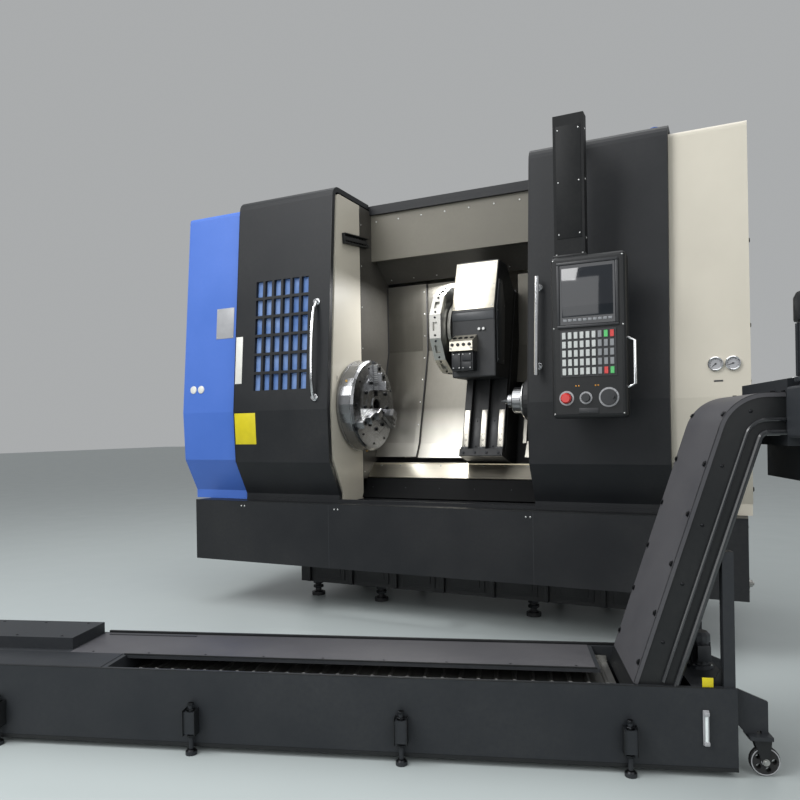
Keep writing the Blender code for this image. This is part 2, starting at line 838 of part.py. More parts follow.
def roof_lintel():
    """The panel over the work area, folded down at its front edge."""
    inner = ROOF_PANEL_FRONT_Y + COVER_SHEET
    outline = [
        (ROOF_PANEL_FRONT_Y, LINTEL_BOTTOM_Z),
        (inner, LINTEL_BOTTOM_Z),
        (inner, COVER_TOP_Z - COVER_SHEET),
        (COVER_BACK_Y, COVER_TOP_Z - COVER_SHEET),
        (COVER_BACK_Y, COVER_TOP_Z),
        (ROOF_PANEL_FRONT_Y, COVER_TOP_Z),
    ]
    return extrusion(
        "roof_lintel", [outline], "X", WALL_FACE_X + SEAT, RIGHT_COVER_INNER_X - SEAT, BEIGE_PAINT
    )


RIGHT_COVER_INNER_X = -WALL_FACE_X + COVER_SHEET


def top_rail():
    """The black rail that guides the door caps at the top, with its lip over the lintel."""
    front = CAP_BACK_Y + SLIDING
    back = front + TOP_RAIL_DEPTH
    low = COVER_TOP_Z + SEAT
    reach = OPENING_HALF + DOOR_WIDTH
    rail = block("top_rail", (-reach, front, low), (reach, back, low + TOP_RAIL_HEIGHT), BLACK_PAINT)
    lip = block(
        "rail_lip",
        (WALL_FACE_X + SEAT, front + SEAT, COVER_TOP_Z - TOP_RAIL_LIP),
        (RIGHT_COVER_INNER_X - SEAT, back - SEAT, low + SEAT),
    )
    return join(rail, lip)


def sheet_line(name, line, sheet, low, high, finish):
    """A folded sheet that follows a line in (Y, Z), its thickness on the line's right."""
    return extrusion(name, [strip(line, offset_line(line, sheet))], "X", low, high, finish)


def work_area_sheets():
    left, right = WALL_FACE_X + SEAT, WORK_END_X - SEAT
    ceiling = [(CEILING_BACK_Y, CEILING_BACK_Z), (CEILING_FRONT_Y, CEILING_FRONT_Z)]
    sheet_line("work_ceiling", ceiling, SLIDE_SHEET, left, right, BLACK_PAINT)
    slide = [(SLIDE_FOOT_Y, SLIDE_FOOT_Z), (SLIDE_TOP_Y, SLIDE_TOP_Z)]
    sheet_line("chip_slide", slide, SLIDE_SHEET, left, right, BRIGHT_STEEL)
    apron = [(APRON_FOOT_Y, APRON_FOOT_Z), (SLIDE_FOOT_Y - SLIDE_SHEET, SLIDE_FOOT_Z - SLIDE_SHEET)]
    sheet_line("chip_apron", apron, SLIDE_SHEET, left, right, BLACK_PAINT)
    tail = [(COVER_LIP_Y, COVER_LIP_Z), (TAIL_SLIDE_TOP_Y, TAIL_SLIDE_TOP_Z)]
    sheet_line("tailstock_chip_slide", tail, SLIDE_SHEET, TAILSTOCK_GUIDE_LEFT_X, right, GREY_STEEL)


def way_cover_line(low_along=None):
    """The way covers' face in (Y, Z) from the foot up, cut short where low_along is given."""
    top = [(COVER_PLANE_Y, COVER_BREAK_Z), (COVER_PLANE_Y, COVER_PLANE_TOP_Z)]
    if low_along is None:
        return [(COVER_LIP_Y, COVER_LIP_Z), (COVER_FOOT_Y, COVER_FOOT_Z)] + top
    rise = (COVER_PLANE_Y - COVER_FOOT_Y) / (COVER_BREAK_Z - COVER_FOOT_Z)
    low_z = SPINDLE_Z + low_along * sin(SLANT)
    return [(COVER_FOOT_Y + (low_z - COVER_FOOT_Z) * rise, low_z)] + top


def way_covers():
    """Fixed covers at both ends, and the saddle's own covers, which slide behind them."""
    full, short = way_cover_line(), way_cover_line(RIGHT_COVER_LOW)
    sheet_line("left_fixed_cover", full, COVER_PLATE, WALL_FACE_X + SEAT, FIXED_COVER_RIGHT_X, GREY_STEEL)
    sheet_line("right_fixed_cover", short, COVER_PLATE, RIGHT_FIXED_COVER_X, WORK_END_X - SEAT, GREY_STEEL)
    nested_full, nested_short = offset_line(full, COVER_NEST), offset_line(short, COVER_NEST)
    sheet_line(
        "left_saddle_cover",
        nested_full,
        COVER_PLATE,
        SADDLE_LEFT_X - SADDLE_COVER_REACH,
        SADDLE_LEFT_X - SEAT,
        GREY_STEEL,
    )
    right = SADDLE_LEFT_X + SADDLE_WIDTH
    sheet_line(
        "right_saddle_cover",
        nested_short,
        COVER_PLATE,
        right + SEAT,
        right + RIGHT_SADDLE_COVER_REACH,
        GREY_STEEL,
    )


def rear_cover():
    """The hood behind the bed, open to the front and at the foot."""
    foot = TRAY_TOP + SEAT
    front = COVER_BACK_Y + SEAT
    line = [
        (front, COVER_TOP_Z),
        (REAR_SHOULDER_Y, COVER_TOP_Z),
        (REAR_BACK_Y, REAR_SHOULDER_Z),
        (REAR_BACK_Y, foot),
    ]
    hood = sheet_line("rear_cover", line, COVER_SHEET, COVER_LEFT_X, COVER_RIGHT_X, WHITE_PAINT)
    side = line + [(front, foot)]
    for number, low in enumerate((COVER_LEFT_X, COVER_RIGHT_X - COVER_SHEET)):
        join(hood, extrusion(f"rear_side_{number}", [side], "X", low, low + COVER_SHEET))
    return hood


def guide_rail(name, along, low_x, high_x):
    outline = slant_box(
        along - GUIDE_WIDTH / 2, along + GUIDE_WIDTH / 2, BED_FACE - GUIDE_HEIGHT, BED_FACE + GUIDE_SINK
    )
    return extrusion(name, [outline], "X", low_x, high_x)


def levelling_foot(name, x, y):
    profile = [
        (0, BED_BOTTOM_Z + GUIDE_SINK),
        (FOOT_STEM_RADIUS, BED_BOTTOM_Z + GUIDE_SINK),
        (FOOT_STEM_RADIUS, FOOT_PAD),
        (FOOT_RADIUS, FOOT_PAD),
        (FOOT_RADIUS, 0),
        (0, 0),
    ]
    return turned(name, profile, "Z", (x, y, 0), steps=SMALL_ROUND)


def bed_casting():
    """The slanted bed with its guide rails, cast in one with the base, on its levelling pads."""
    outline = [
        (BED_FRONT_Y, BED_BOTTOM_Z),
        (BED_BACK_Y, BED_BOTTOM_Z),
        (BED_BACK_Y, slant(BED_FACE_HIGH, BED_FACE)[1]),
        slant(BED_FACE_HIGH, BED_FACE),
        slant(BED_FACE_LOW, BED_FACE),
        (TRAY_DEPTH + SEAT, BED_LEDGE_Z),
        (TRAY_DEPTH + SEAT, TRAY_BOTTOM + BED_FRONT_Y - TRAY_DEPTH),
        (BED_FRONT_Y, TRAY_BOTTOM),
    ]
    bed = extrusion("bed_casting", [outline], "X", BED_LEFT_X, BED_RIGHT_X, CAST_IRON)
    for number, along in enumerate(SADDLE_GUIDES):
        join(
            bed,
            guide_rail(
                f"saddle_guide_{number}", along, HEADSTOCK_RIGHT_X + GUIDE_SINK, BED_RIGHT_X - GUIDE_SINK
            ),
        )
    for number, along in enumerate(TAILSTOCK_GUIDES):
        join(bed, guide_rail(f"tail_guide_{number}", along, TAILSTOCK_GUIDE_LEFT_X, BED_RIGHT_X - GUIDE_SINK))
    length = BED_RIGHT_X - BED_LEFT_X
    for number, share in enumerate(FOOT_X_SHARES):
        for side, y in enumerate((FOOT_FRONT_Y, FOOT_BACK_Y)):
            join(bed, levelling_foot(f"foot_{number}_{side}", BED_LEFT_X + share * length, y))
    return bed


SPINDLE_AXIS = (0, SPINDLE_Y, SPINDLE_Z)


def headstock():
    back = BED_FACE - SEAT
    outline = [
        slant(-HEADSTOCK_HALF, back),
        slant(HEADSTOCK_HALF, back),
        slant(HEADSTOCK_HALF, HEADSTOCK_CHAMFER - HEADSTOCK_FRONT),
        slant(HEADSTOCK_HALF - HEADSTOCK_CHAMFER, -HEADSTOCK_FRONT),
        slant(HEADSTOCK_CHAMFER - HEADSTOCK_HALF, -HEADSTOCK_FRONT),
        slant(-HEADSTOCK_HALF, HEADSTOCK_CHAMFER - HEADSTOCK_FRONT),
    ]
    casting = extrusion("headstock", [outline], "X", HEADSTOCK_LEFT_X, HEADSTOCK_RIGHT_X, CAST_IRON)
    bore = rod(
        "headstock_bore",
        SPINDLE_RADIUS + RUNNING,
        "X",
        SPINDLE_AXIS,
        HEADSTOCK_LEFT_X - OVERRUN,
        HEADSTOCK_RIGHT_X + OVERRUN,
    )
    return cut(casting, bore)


def spindle():
    """The hollow spindle, with its chuck flange at the right and the belt pulley at the left."""
    flange = SPINDLE_NOSE_X - SPINDLE_FLANGE_THICKNESS
    pulley = PULLEY_LEFT_X + PULLEY_WIDTH
    profile = [
        (SPINDLE_FLANGE_RADIUS, SPINDLE_NOSE_X),
        (SPINDLE_FLANGE_RADIUS, flange),
        (SPINDLE_RADIUS, flange),
        (SPINDLE_RADIUS, pulley),
        *pulley_profile(SPINDLE_PULLEY_RADIUS),
        (SPINDLE_RADIUS, PULLEY_LEFT_X),
        (SPINDLE_RADIUS, SPINDLE_REAR_X),
        (SPINDLE_BORE, SPINDLE_REAR_X),
        (SPINDLE_BORE, SPINDLE_NOSE_X),
    ]
    return turned("spindle", profile, "X", SPINDLE_AXIS, TURNED_STEEL, ring=True)


def pulley_profile(radius):
    """Both flanges and the belt's seat between them, from right to left."""
    right, left = PULLEY_LEFT_X + PULLEY_WIDTH, PULLEY_LEFT_X
    rim = radius + PULLEY_FLANGE
    return [
        (rim, right),
        (rim, right - PULLEY_FLANGE_WIDTH),
        (radius, right - PULLEY_FLANGE_WIDTH),
        (radius, left + PULLEY_FLANGE_WIDTH),
        (rim, left + PULLEY_FLANGE_WIDTH),
        (rim, left),
    ]


CHUCK_BACK_X = SPINDLE_NOSE_X + SEAT
CHUCK_FACE_X = CHUCK_BACK_X + CHUCK_THICKNESS


def across_spindle(angle, radial, sideways):
    """(Y, Z) at a distance out from the spindle's axis and a distance to the side of that line."""
    return (
        SPINDLE_Y + radial * sin(angle) + sideways * cos(angle),
        SPINDLE_Z + radial * cos(angle) - sideways * sin(angle),
    )


def radial_box(name, angle, inner, outer, half_width, low_x, high_x, finish=None):
    outline = [
        across_spindle(angle, inner, -half_width),
        across_spindle(angle, inner, half_width),
        across_spindle(angle, outer, half_width),
        across_spindle(angle, outer, -half_width),
    ]
    return extrusion(name, [outline], "X", low_x, high_x, finish)


def jaw_angle(number):
    return 2 * pi * number / JAW_COUNT


def chuck():
    fillet = CHUCK_FILLET
    profile = [
        (CHUCK_RING_RADIUS, CHUCK_FACE_X),
        (CHUCK_RADIUS - fillet, CHUCK_FACE_X - CHUCK_RING_DEPTH),
        (CHUCK_RADIUS, CHUCK_FACE_X - CHUCK_RING_DEPTH - fillet),
        (CHUCK_RADIUS, CHUCK_BACK_X + fillet),
        (CHUCK_RADIUS - fillet, CHUCK_BACK_X),
        (SPINDLE_BORE, CHUCK_BACK_X),
        (SPINDLE_BORE, CHUCK_FACE_X),
    ]
    body = turned("chuck_body", profile, "X", SPINDLE_AXIS, TURNED_STEEL, ring=True)
    half = JAW_SLOT_WIDTH / 2
    for number in range(JAW_COUNT):
        slot = radial_box(
            f"jaw_slot_{number}",
            jaw_angle(number),
            0,
            CHUCK_RADIUS + OVERRUN,
            half,
            CHUCK_FACE_X - JAW_SLOT_DEPTH,
            CHUCK_FACE_X + OVERRUN,
        )
        cut(body, slot)
    for number in range(JAW_COUNT):
        jaw(number, half - SLIDING)
    return body


def jaw(number, half):
    """A hard jaw with three steps, from its key in the slot to its gripping end."""
    angle = jaw_angle(number)
    face = CHUCK_FACE_X
    third = (JAW_OUTER - JAW_INNER) / JAW_STEPS
    levels = [face + JAW_STEP_1, face + JAW_STEP_1 + JAW_STEP_2, face + JAW_STEP_1 + JAW_STEP_2 + JAW_STEP_3]
    outline = [
        (JAW_INNER, face + SLIDING - JAW_SLOT_DEPTH),
        (JAW_OUTER, face + SLIDING - JAW_SLOT_DEPTH),
        (JAW_OUTER, levels[0]),
        (JAW_OUTER - third, levels[0]),
        (JAW_OUTER - third, levels[1]),
        (JAW_INNER + third, levels[1]),
        (JAW_INNER + third, levels[2]),
        (JAW_INNER, levels[2]),
    ]
    name = f"chuck_jaw_{number + 1}"
    made = extrusion(name, [[(out, x) for out, x in outline]], "Z", -half, half, TURNED_STEEL)
    radial = Vector((0, sin(angle), cos(angle)))
    along = Vector((1, 0, 0))
    turn = Matrix((radial, along, radial.cross(along))).transposed().to_4x4()
    made.matrix_basis = Matrix.Translation((0, SPINDLE_Y, SPINDLE_Z)) @ turn @ made.matrix_basis
    return rounded_edges(made, JAW_EDGE, 1)


def spindle_motor():
    half, chamfer = MOTOR_HALF, MOTOR_CHAMFER
    octagon = []
    for side_y, side_z in ((1, 1), (-1, 1), (-1, -1), (1, -1)):
        corner = [(side_y * half, side_z * (half - chamfer)), (side_y * (half - chamfer), side_z * half)]
        octagon += corner if side_y * side_z > 0 else corner[::-1]
    outline = [(MOTOR_Y + y, MOTOR_Z + z) for y, z in octagon]
    motor = extrusion("spindle_motor", [outline], "X", MOTOR_LEFT_X, MOTOR_RIGHT_X, MOTOR_GREY)
    foot = block(
        "motor_foot",
        (
            MOTOR_LEFT_X + MOTOR_HALF,
            MOTOR_Y - MOTOR_HALF + MOTOR_CHAMFER,
            MOTOR_Z - MOTOR_HALF - MOTOR_FOOT_DROP,
        ),
        (
            BED_LEFT_X - SEAT,
            MOTOR_Y + MOTOR_HALF,
            MOTOR_Z - MOTOR_HALF - MOTOR_FOOT_DROP + MOTOR_FOOT_THICKNESS,
        ),
    )
    leg = block(
        "motor_leg",
        (
            MOTOR_LEFT_X + MOTOR_HALF,
            MOTOR_Y - MOTOR_CHAMFER,
            MOTOR_Z - MOTOR_HALF - MOTOR_FOOT_DROP + MOTOR_FOOT_THICKNESS / 2,
        ),
        (MOTOR_RIGHT_X - MOTOR_CHAMFER, MOTOR_Y + MOTOR_CHAMFER, MOTOR_Z - MOTOR_HALF + MOTOR_FOOT_THICKNESS),
    )
    join(motor, foot, leg)
    shaft = rod(
        "motor_bore",
        MOTOR_SHAFT_RADIUS + RUNNING,
        "X",
        (0, MOTOR_Y, MOTOR_Z),
        MOTOR_RIGHT_X - MOTOR_CHAMFER,
        MOTOR_RIGHT_X + OVERRUN,
    )
    return cut(motor, shaft)


def motor_pulley():
    profile = [
        (0, PULLEY_LEFT_X + PULLEY_WIDTH),
        *pulley_profile(MOTOR_PULLEY_RADIUS),
        (MOTOR_SHAFT_RADIUS, PULLEY_LEFT_X),
        (MOTOR_SHAFT_RADIUS, MOTOR_RIGHT_X - MOTOR_CHAMFER + SEAT),
        (0, MOTOR_RIGHT_X - MOTOR_CHAMFER + SEAT),
    ]
    return turned("motor_pulley", profile, "X", (0, MOTOR_Y, MOTOR_Z), TURNED_STEEL)


def tangent_loop(grow):
    """The belt's run round both pulleys, so far outside their seats, as (Y, Z)."""
    large, small = SPINDLE_PULLEY_RADIUS + grow, MOTOR_PULLEY_RADIUS + grow
    run, rise = MOTOR_Y - SPINDLE_Y, MOTOR_Z - SPINDLE_Z
    heading = atan2(rise, run)
    opening = atan2(hypot(run, rise), large - small)
    first = arc((SPINDLE_Y, SPINDLE_Z), large, heading + opening, heading + 2 * pi - opening, ROUND)
    second = arc((MOTOR_Y, MOTOR_Z), small, heading - opening, heading + opening, ROUND)
    return first + second


def drive_belt():
    middle = PULLEY_LEFT_X + PULLEY_WIDTH / 2
    inner = tangent_loop(SLIDING)
    outer = tangent_loop(SLIDING + BELT_THICKNESS)
    return extrusion(
        "drive_belt", [outer, inner], "X", middle - BELT_WIDTH / 2, middle + BELT_WIDTH / 2, RUBBER
    )


def bearing_edge(along):
    """The back edge of a casting round one guide rail, from below it to above it, with room to slide."""
    half, outer = GUIDE_WIDTH / 2 + SLIDING, GUIDE_WIDTH / 2 + BEARING_CHEEK
    depth = BED_FACE - GUIDE_HEIGHT - SLIDING
    face = BED_FACE - SLIDING
    return [
        slant(along - outer, SADDLE_BACK),
        slant(along - outer, face),
        slant(along - half, face),
        slant(along - half, depth),
        slant(along + half, depth),
        slant(along + half, face),
        slant(along + outer, face),
        slant(along + outer, SADDLE_BACK),
    ]


def saddle():
    """The carriage on the bed: a slanted plate with three ways and an end beam."""
    left, right = SADDLE_LEFT_X, SADDLE_LEFT_X + SADDLE_WIDTH
    foot = SADDLE_LOW - SADDLE_BEAM
    outline = [slant(foot, SADDLE_BEAM_FRONT), slant(foot, SADDLE_BACK)]
    for along in SADDLE_GUIDES:
        outline += bearing_edge(along)
    outline += [
        slant(SADDLE_HIGH, SADDLE_BACK),
        slant(SADDLE_HIGH, SADDLE_FRONT),
        slant(SADDLE_LOW, SADDLE_FRONT),
        slant(SADDLE_LOW, SADDLE_BEAM_FRONT),
    ]
    body = extrusion("saddle", [outline], "X", left, right, CAST_IRON)
    pitch = (SADDLE_WIDTH - WAY_WIDTH - 2 * WAY_INSET) / (WAY_COUNT - 1)
    for number in range(WAY_COUNT):
        low = left + WAY_INSET + number * pitch
        way = slant_box(
            SADDLE_LOW - GUIDE_SINK,
            SADDLE_HIGH - GUIDE_SINK,
            SADDLE_FRONT - WAY_HEIGHT,
            SADDLE_FRONT + GUIDE_SINK,
        )
        join(body, extrusion(f"way_{number}", [way], "X", low, low + WAY_WIDTH))
    return body


HOUSING_LEFT_X = SADDLE_LEFT_X
HOUSING_BACK = SADDLE_FRONT - WAY_HEIGHT - SLIDING
DISC_CENTRE = (0, *slant(DISC_ALONG, 0))


def on_housing_back(z):
    """Y of the housing's slanted back at a height."""
    base_y, base_z = slant(0, HOUSING_BACK)
    return base_y + (z - base_z) * cos(SLANT) / sin(SLANT)


def turret_housing():
    """The cross slide's housing, with its brow slanted back towards the top."""
    outline = [
        (on_housing_back(HOUSING_BOTTOM_Z), HOUSING_BOTTOM_Z),
        (on_housing_back(HOUSING_REAR_Z), HOUSING_REAR_Z),
        (HOUSING_TOP_BACK_Y, HOUSING_TOP_Z),
        (HOUSING_TOP_FRONT_Y, HOUSING_TOP_Z),
        (HOUSING_FRONT_Y, HOUSING_BROW_Z),
        (HOUSING_FRONT_Y, HOUSING_BOTTOM_Z),
    ]
    right = SADDLE_LEFT_X + SADDLE_WIDTH
    housing = extrusion("turret_housing", [outline], "X", HOUSING_LEFT_X, right, MOTOR_GREY)
    rounded_edges(housing, HOUSING_BEVEL)
    socket = rod(
        "turret_socket",
        DISC_HUB_RADIUS + RUNNING,
        "X",
        DISC_CENTRE,
        HOUSING_LEFT_X - OVERRUN,
        HOUSING_LEFT_X + DISC_GAP,
    )
    return cut(housing, socket)


def turret_disc():
    """The tool disc: a flat-sided plate with a clamping pocket in every station, on its round hub."""
    right = HOUSING_LEFT_X - DISC_GAP
    left = right - DISC_THICKNESS
    centre_y, centre_z = DISC_CENTRE[1:]
    half_step = pi / DISC_STATIONS
    corner = DISC_RADIUS / cos(half_step)
    outline = [
        (
            centre_y + corner * cos(2 * half_step * i + half_step),
            centre_z + corner * sin(2 * half_step * i + half_step),
        )
        for i in range(DISC_STATIONS)
    ]
    disc = extrusion("turret_disc", [outline], "X", left, right, TURNED_STEEL)
    seat = HOUSING_LEFT_X - SLIDING
    profile = [
        (0, HOUSING_LEFT_X + DISC_GAP - RUNNING),
        (DISC_HUB_RADIUS, HOUSING_LEFT_X + DISC_GAP - RUNNING),
        (DISC_HUB_RADIUS, seat),
        (DISC_FLANGE_RADIUS, seat),
        (DISC_FLANGE_RADIUS, seat - DISC_FLANGE_THICKNESS),
        (DISC_HUB_RADIUS, seat - DISC_FLANGE_THICKNESS),
        (DISC_HUB_RADIUS, right - STATION_POCKET_DEPTH),
        (0, right - STATION_POCKET_DEPTH),
    ]
    join(disc, turned("turret_hub", profile, "X", DISC_CENTRE))
    half = STATION_POCKET_WIDTH / 2
    middle = left + DISC_THICKNESS / 2
    for number in range(DISC_STATIONS):
        pocket = block(
            f"pocket_{number}",
            (middle - STATION_POCKET_LENGTH / 2, DISC_RADIUS - STATION_POCKET_DEPTH, -half),
            (middle + STATION_POCKET_LENGTH / 2, DISC_RADIUS + OVERRUN, half),
        )
        turn = Matrix.Rotation(2 * half_step * number, 4, "X")
        pocket.matrix_basis = Matrix.Translation((0, centre_y, centre_z)) @ turn @ pocket.matrix_basis
        cut(disc, pocket)
    return set_origin(disc, DISC_CENTRE)


def coolant_manifold():
    """The block under the turret that feeds coolant to the tools, with four ports in its sloped top."""
    left = HOUSING_LEFT_X + MANIFOLD_INSET
    top = HOUSING_BROW_Z - MANIFOLD_DROP
    back = HOUSING_FRONT_Y - SEAT
    front = back - MANIFOLD_DEPTH
    outline = [
        (back, top - MANIFOLD_HEIGHT),
        (back, top),
        (front, top - MANIFOLD_SLOPE),
        (front, top - MANIFOLD_HEIGHT),
    ]
    made = extrusion("coolant_manifold", [outline], "X", left, left + MANIFOLD_WIDTH, GREY_STEEL)
    pitch = MANIFOLD_WIDTH / MANIFOLD_PORTS
    middle = (front + back) / 2
    floor = top - MANIFOLD_SLOPE / 2 - MANIFOLD_PORT_DEPTH
    for number in range(MANIFOLD_PORTS):
        place = (left + pitch * (number + HALF), middle, 0)
        cut(
            made,
            rod(f"port_{number}", MANIFOLD_PORT_RADIUS, "Z", place, floor, top + OVERRUN, steps=SMALL_ROUND),
        )
    return made


def tailstock():
    """The tailstock body: a round barrel on an arm that reaches back to its guides."""
    right = TAIL_LEFT_X + TAIL_LENGTH
    profile = [
        (0, right),
        (TAIL_RADIUS - CHUCK_FILLET, right),
        (TAIL_RADIUS, right - CHUCK_FILLET),
        (TAIL_RADIUS, TAIL_LEFT_X + CHUCK_FILLET),
        (TAIL_RADIUS - CHUCK_FILLET, TAIL_LEFT_X),
        (0, TAIL_LEFT_X),
    ]
    body = turned("tailstock_body", profile, "X", SPINDLE_AXIS, CAST_IRON)
    low, high = TAIL_ARM_RISE - TAIL_ARM_HALF, TAIL_ARM_RISE + TAIL_ARM_HALF
    outline = [slant(low, 0), slant(low, SADDLE_BACK - BEARING_CHEEK)]
    for along in TAILSTOCK_GUIDES:
        outline += bearing_edge(along)
    outline += [slant(high, SADDLE_BACK - BEARING_CHEEK), slant(high, 0)]
    join(body, extrusion("tail_arm", [outline], "X", right - TAIL_FOOT_LENGTH, right - CHUCK_FILLET))
    bore = rod(
        "quill_bore",
        QUILL_RADIUS + SLIDING,
        "X",
        SPINDLE_AXIS,
        TAIL_LEFT_X - OVERRUN,
        TAIL_LEFT_X + QUILL_SUNK + QUILL_REACH,
    )
    return cut(body, bore)


def quill():
    left = TAIL_LEFT_X - QUILL_REACH
    right = TAIL_LEFT_X + QUILL_SUNK
    edge = CHUCK_FILLET / 2
    hole = CENTRE_SHANK_RADIUS + RUNNING
    floor = left + CENTRE_SHANK_LENGTH + RUNNING
    profile = [
        (0, right),
        (QUILL_RADIUS, right),
        (QUILL_RADIUS, left + edge),
        (QUILL_RADIUS - edge, left),
        (hole, left),
        (hole, floor),
        (0, floor),
    ]
    return turned("tailstock_quill", profile, "X", SPINDLE_AXIS, TURNED_STEEL)


def live_centre():
    quill_face = TAIL_LEFT_X - QUILL_REACH
    collar = quill_face - SEAT - CENTRE_COLLAR
    profile = [
        (0, quill_face + CENTRE_SHANK_LENGTH),
        (CENTRE_SHANK_RADIUS, quill_face + CENTRE_SHANK_LENGTH),
        (CENTRE_SHANK_RADIUS, quill_face - SEAT),
        (CENTRE_RADIUS, quill_face - SEAT),
        (CENTRE_RADIUS, collar),
        (CENTRE_SHANK_RADIUS, collar),
        (0, quill_face - CENTRE_LENGTH),
    ]
    return turned("live_centre", profile, "X", SPINDLE_AXIS, CHROME)


def door_outline():
    outer = door_line()
    return strip(outer, offset_line(outer, DOOR_THICKNESS))


def face_y(z, sunk=0.0):
    """Y of the door's leaning outer face at a height, or so far behind it."""
    lean = (DOOR_CREST_Y - UPPER_KNEE_Y) / (DOOR_CREST_Z - UPPER_KNEE_Z)
    return UPPER_KNEE_Y + (z - UPPER_KNEE_Z) * lean + sunk


def post_end_y(z, radius):
    """Where a level post of that radius stops, a seat's width in front of the leaning face."""
    return face_y(z - radius) - SEAT


LEFT_DOOR_X = -OPENING_HALF - DOOR_WIDTH
RIGHT_DOOR_X = OPENING_HALF


def leaning_box(name, low_x, high_x, low_z, high_z, front, back, finish=None):
    """A slab between two depths behind the door's leaning face."""
    outline = [
        (face_y(low_z, front), low_z),
        (face_y(low_z, back), low_z),
        (face_y(high_z, back), high_z),
        (face_y(high_z, front), high_z),
    ]
    return extrusion(name, [outline], "X", low_x, high_x, finish)


def window_cells():
    """One cutter for all the cells: a plate's worth of square holes, as separate closed boxes."""
    cells = []
    width = (WINDOW_RIGHT_X - WINDOW_LEFT_X + WINDOW_BAR) / WINDOW_CELLS
    height = (WINDOW_TOP_Z - WINDOW_BOTTOM_Z + WINDOW_BAR) / WINDOW_CELLS
    for column in range(WINDOW_CELLS):
        for row in range(WINDOW_CELLS):
            low_x = WINDOW_LEFT_X + column * width
            low_z = WINDOW_BOTTOM_Z + row * height
            cells.append((low_x, low_x + width - WINDOW_BAR, low_z, low_z + height - WINDOW_BAR))
    return cells


def left_door():
    door = extrusion("left_door", [door_outline()], "X", LEFT_DOOR_X, LEFT_DOOR_X + DOOR_WIDTH, BLACK_PAINT)
    pocket = leaning_box(
        "glass_pocket",
        WINDOW_LEFT_X - GLASS_MARGIN,
        WINDOW_RIGHT_X + GLASS_MARGIN,
        WINDOW_BOTTOM_Z - GLASS_MARGIN,
        WINDOW_TOP_Z + GLASS_MARGIN,
        DOOR_THICKNESS - GLASS_THICKNESS,
        DOOR_THICKNESS + OVERRUN,
    )
    cut(door, pocket)
    for number, (low_x, high_x, low_z, high_z) in enumerate(window_cells()):
        cut(door, leaning_box(f"cell_{number}", low_x, high_x, low_z, high_z, -OVERRUN, DOOR_THICKNESS))
    leaning_box(
        "left_door_glass",
        WINDOW_LEFT_X - GLASS_MARGIN + SEAT,
        WINDOW_RIGHT_X + GLASS_MARGIN - SEAT,
        WINDOW_BOTTOM_Z - GLASS_MARGIN + SEAT,
        WINDOW_TOP_Z + GLASS_MARGIN - SEAT,
        DOOR_THICKNESS - GLASS_THICKNESS + SEAT,
        DOOR_THICKNESS,
        GLASS,
    )
    return door


def right_door():
    return extrusion(
        "right_door", [door_outline()], "X", RIGHT_DOOR_X, RIGHT_DOOR_X + DOOR_WIDTH, BLACK_PAINT
    )


def bow_handle():
    """The left door's bow: a round bar bent out from the door at both ends."""
    x = LEFT_DOOR_X + DOOR_WIDTH - BOW_INSET
    height = BOW_TOP_Z - BOW_BOTTOM_Z
    points = []
    for i in range(ROUND // 2 + 1):
        share = i / (ROUND // 2)
        z = BOW_BOTTOM_Z + height * share
        bulge = (BOW_STANDOFF - HANDLE_RADIUS) * sin(pi * share) ** BOW_FULLNESS
        points.append((x, face_y(z) - HANDLE_RADIUS - RUNNING - bulge, z))
    bow = bent_tube("left_door_handle", points, HANDLE_RADIUS, CHROME)
    for number, z in enumerate((BOW_BOTTOM_Z, BOW_TOP_Z)):
        radius = BOW_PAD_RADIUS
        join(
            bow,
            rod(
                f"bow_pad_{number}",
                radius,
                "Y",
                (x, 0, z),
                face_y(z) - 2 * HANDLE_RADIUS,
                post_end_y(z, radius),
            ),
        )
    return bow


def bar_handle():
    """The right door's straight bar on two posts."""
    x = RIGHT_DOOR_X + BAR_INSET
    low, high = BAR_BOTTOM_Z, BAR_TOP_Z
    bar = bent_tube(
        "right_door_handle",
        [(x, face_y(low) - BAR_STANDOFF, low), (x, face_y(high) - BAR_STANDOFF, high)],
        BAR_RADIUS,
        CHROME,
        sides=4,
    )
    for number, z in enumerate((low + BAR_POST_INSET, high - BAR_POST_INSET)):
        front = face_y(z) - BAR_STANDOFF
        back = post_end_y(z, BAR_POST_RADIUS)
        join(bar, rod(f"bar_post_{number}", BAR_POST_RADIUS, "Y", (x, 0, z), front, back, steps=SMALL_ROUND))
    return bar


CABINET_FRONT_Y = REAR_BACK_Y + SEAT
CABINET_BACK_Y = CABINET_FRONT_Y + CABINET_DEPTH


def electrical_cabinet():
    """The cabinet on the machine's back, its panel of drives, and its hinged door."""
    low = (CABINET_LEFT_X, CABINET_FRONT_Y, CABINET_BOTTOM_Z)
    high = (CABINET_RIGHT_X, CABINET_BACK_Y, CABINET_TOP_Z)
    shell = block("cabinet_shell", low, high, WHITE_PAINT)
    hollow = block(
        "cabinet_hollow",
        (CABINET_LEFT_X + CABINET_WALL, CABINET_FRONT_Y + CABINET_WALL, CABINET_BOTTOM_Z + CABINET_WALL),
        (CABINET_RIGHT_X - CABINET_WALL, CABINET_BACK_Y + OVERRUN, CABINET_TOP_Z - CABINET_WALL),
    )
    cut(shell, hollow)
    cabinet_panel()
    door_low = CABINET_BACK_Y + SEAT
    door = block(
        "cabinet_door",
        (CABINET_LEFT_X, door_low, CABINET_BOTTOM_Z),
        (CABINET_RIGHT_X, door_low + CABINET_DOOR, CABINET_TOP_Z),
        WHITE_PAINT,
    )
    rounded_edges(door, CABINET_DOOR_SPLIT)
    set_origin(door, (CABINET_LEFT_X, door_low, CABINET_BOTTOM_Z))
    main_switch(door_low + CABINET_DOOR + SEAT)


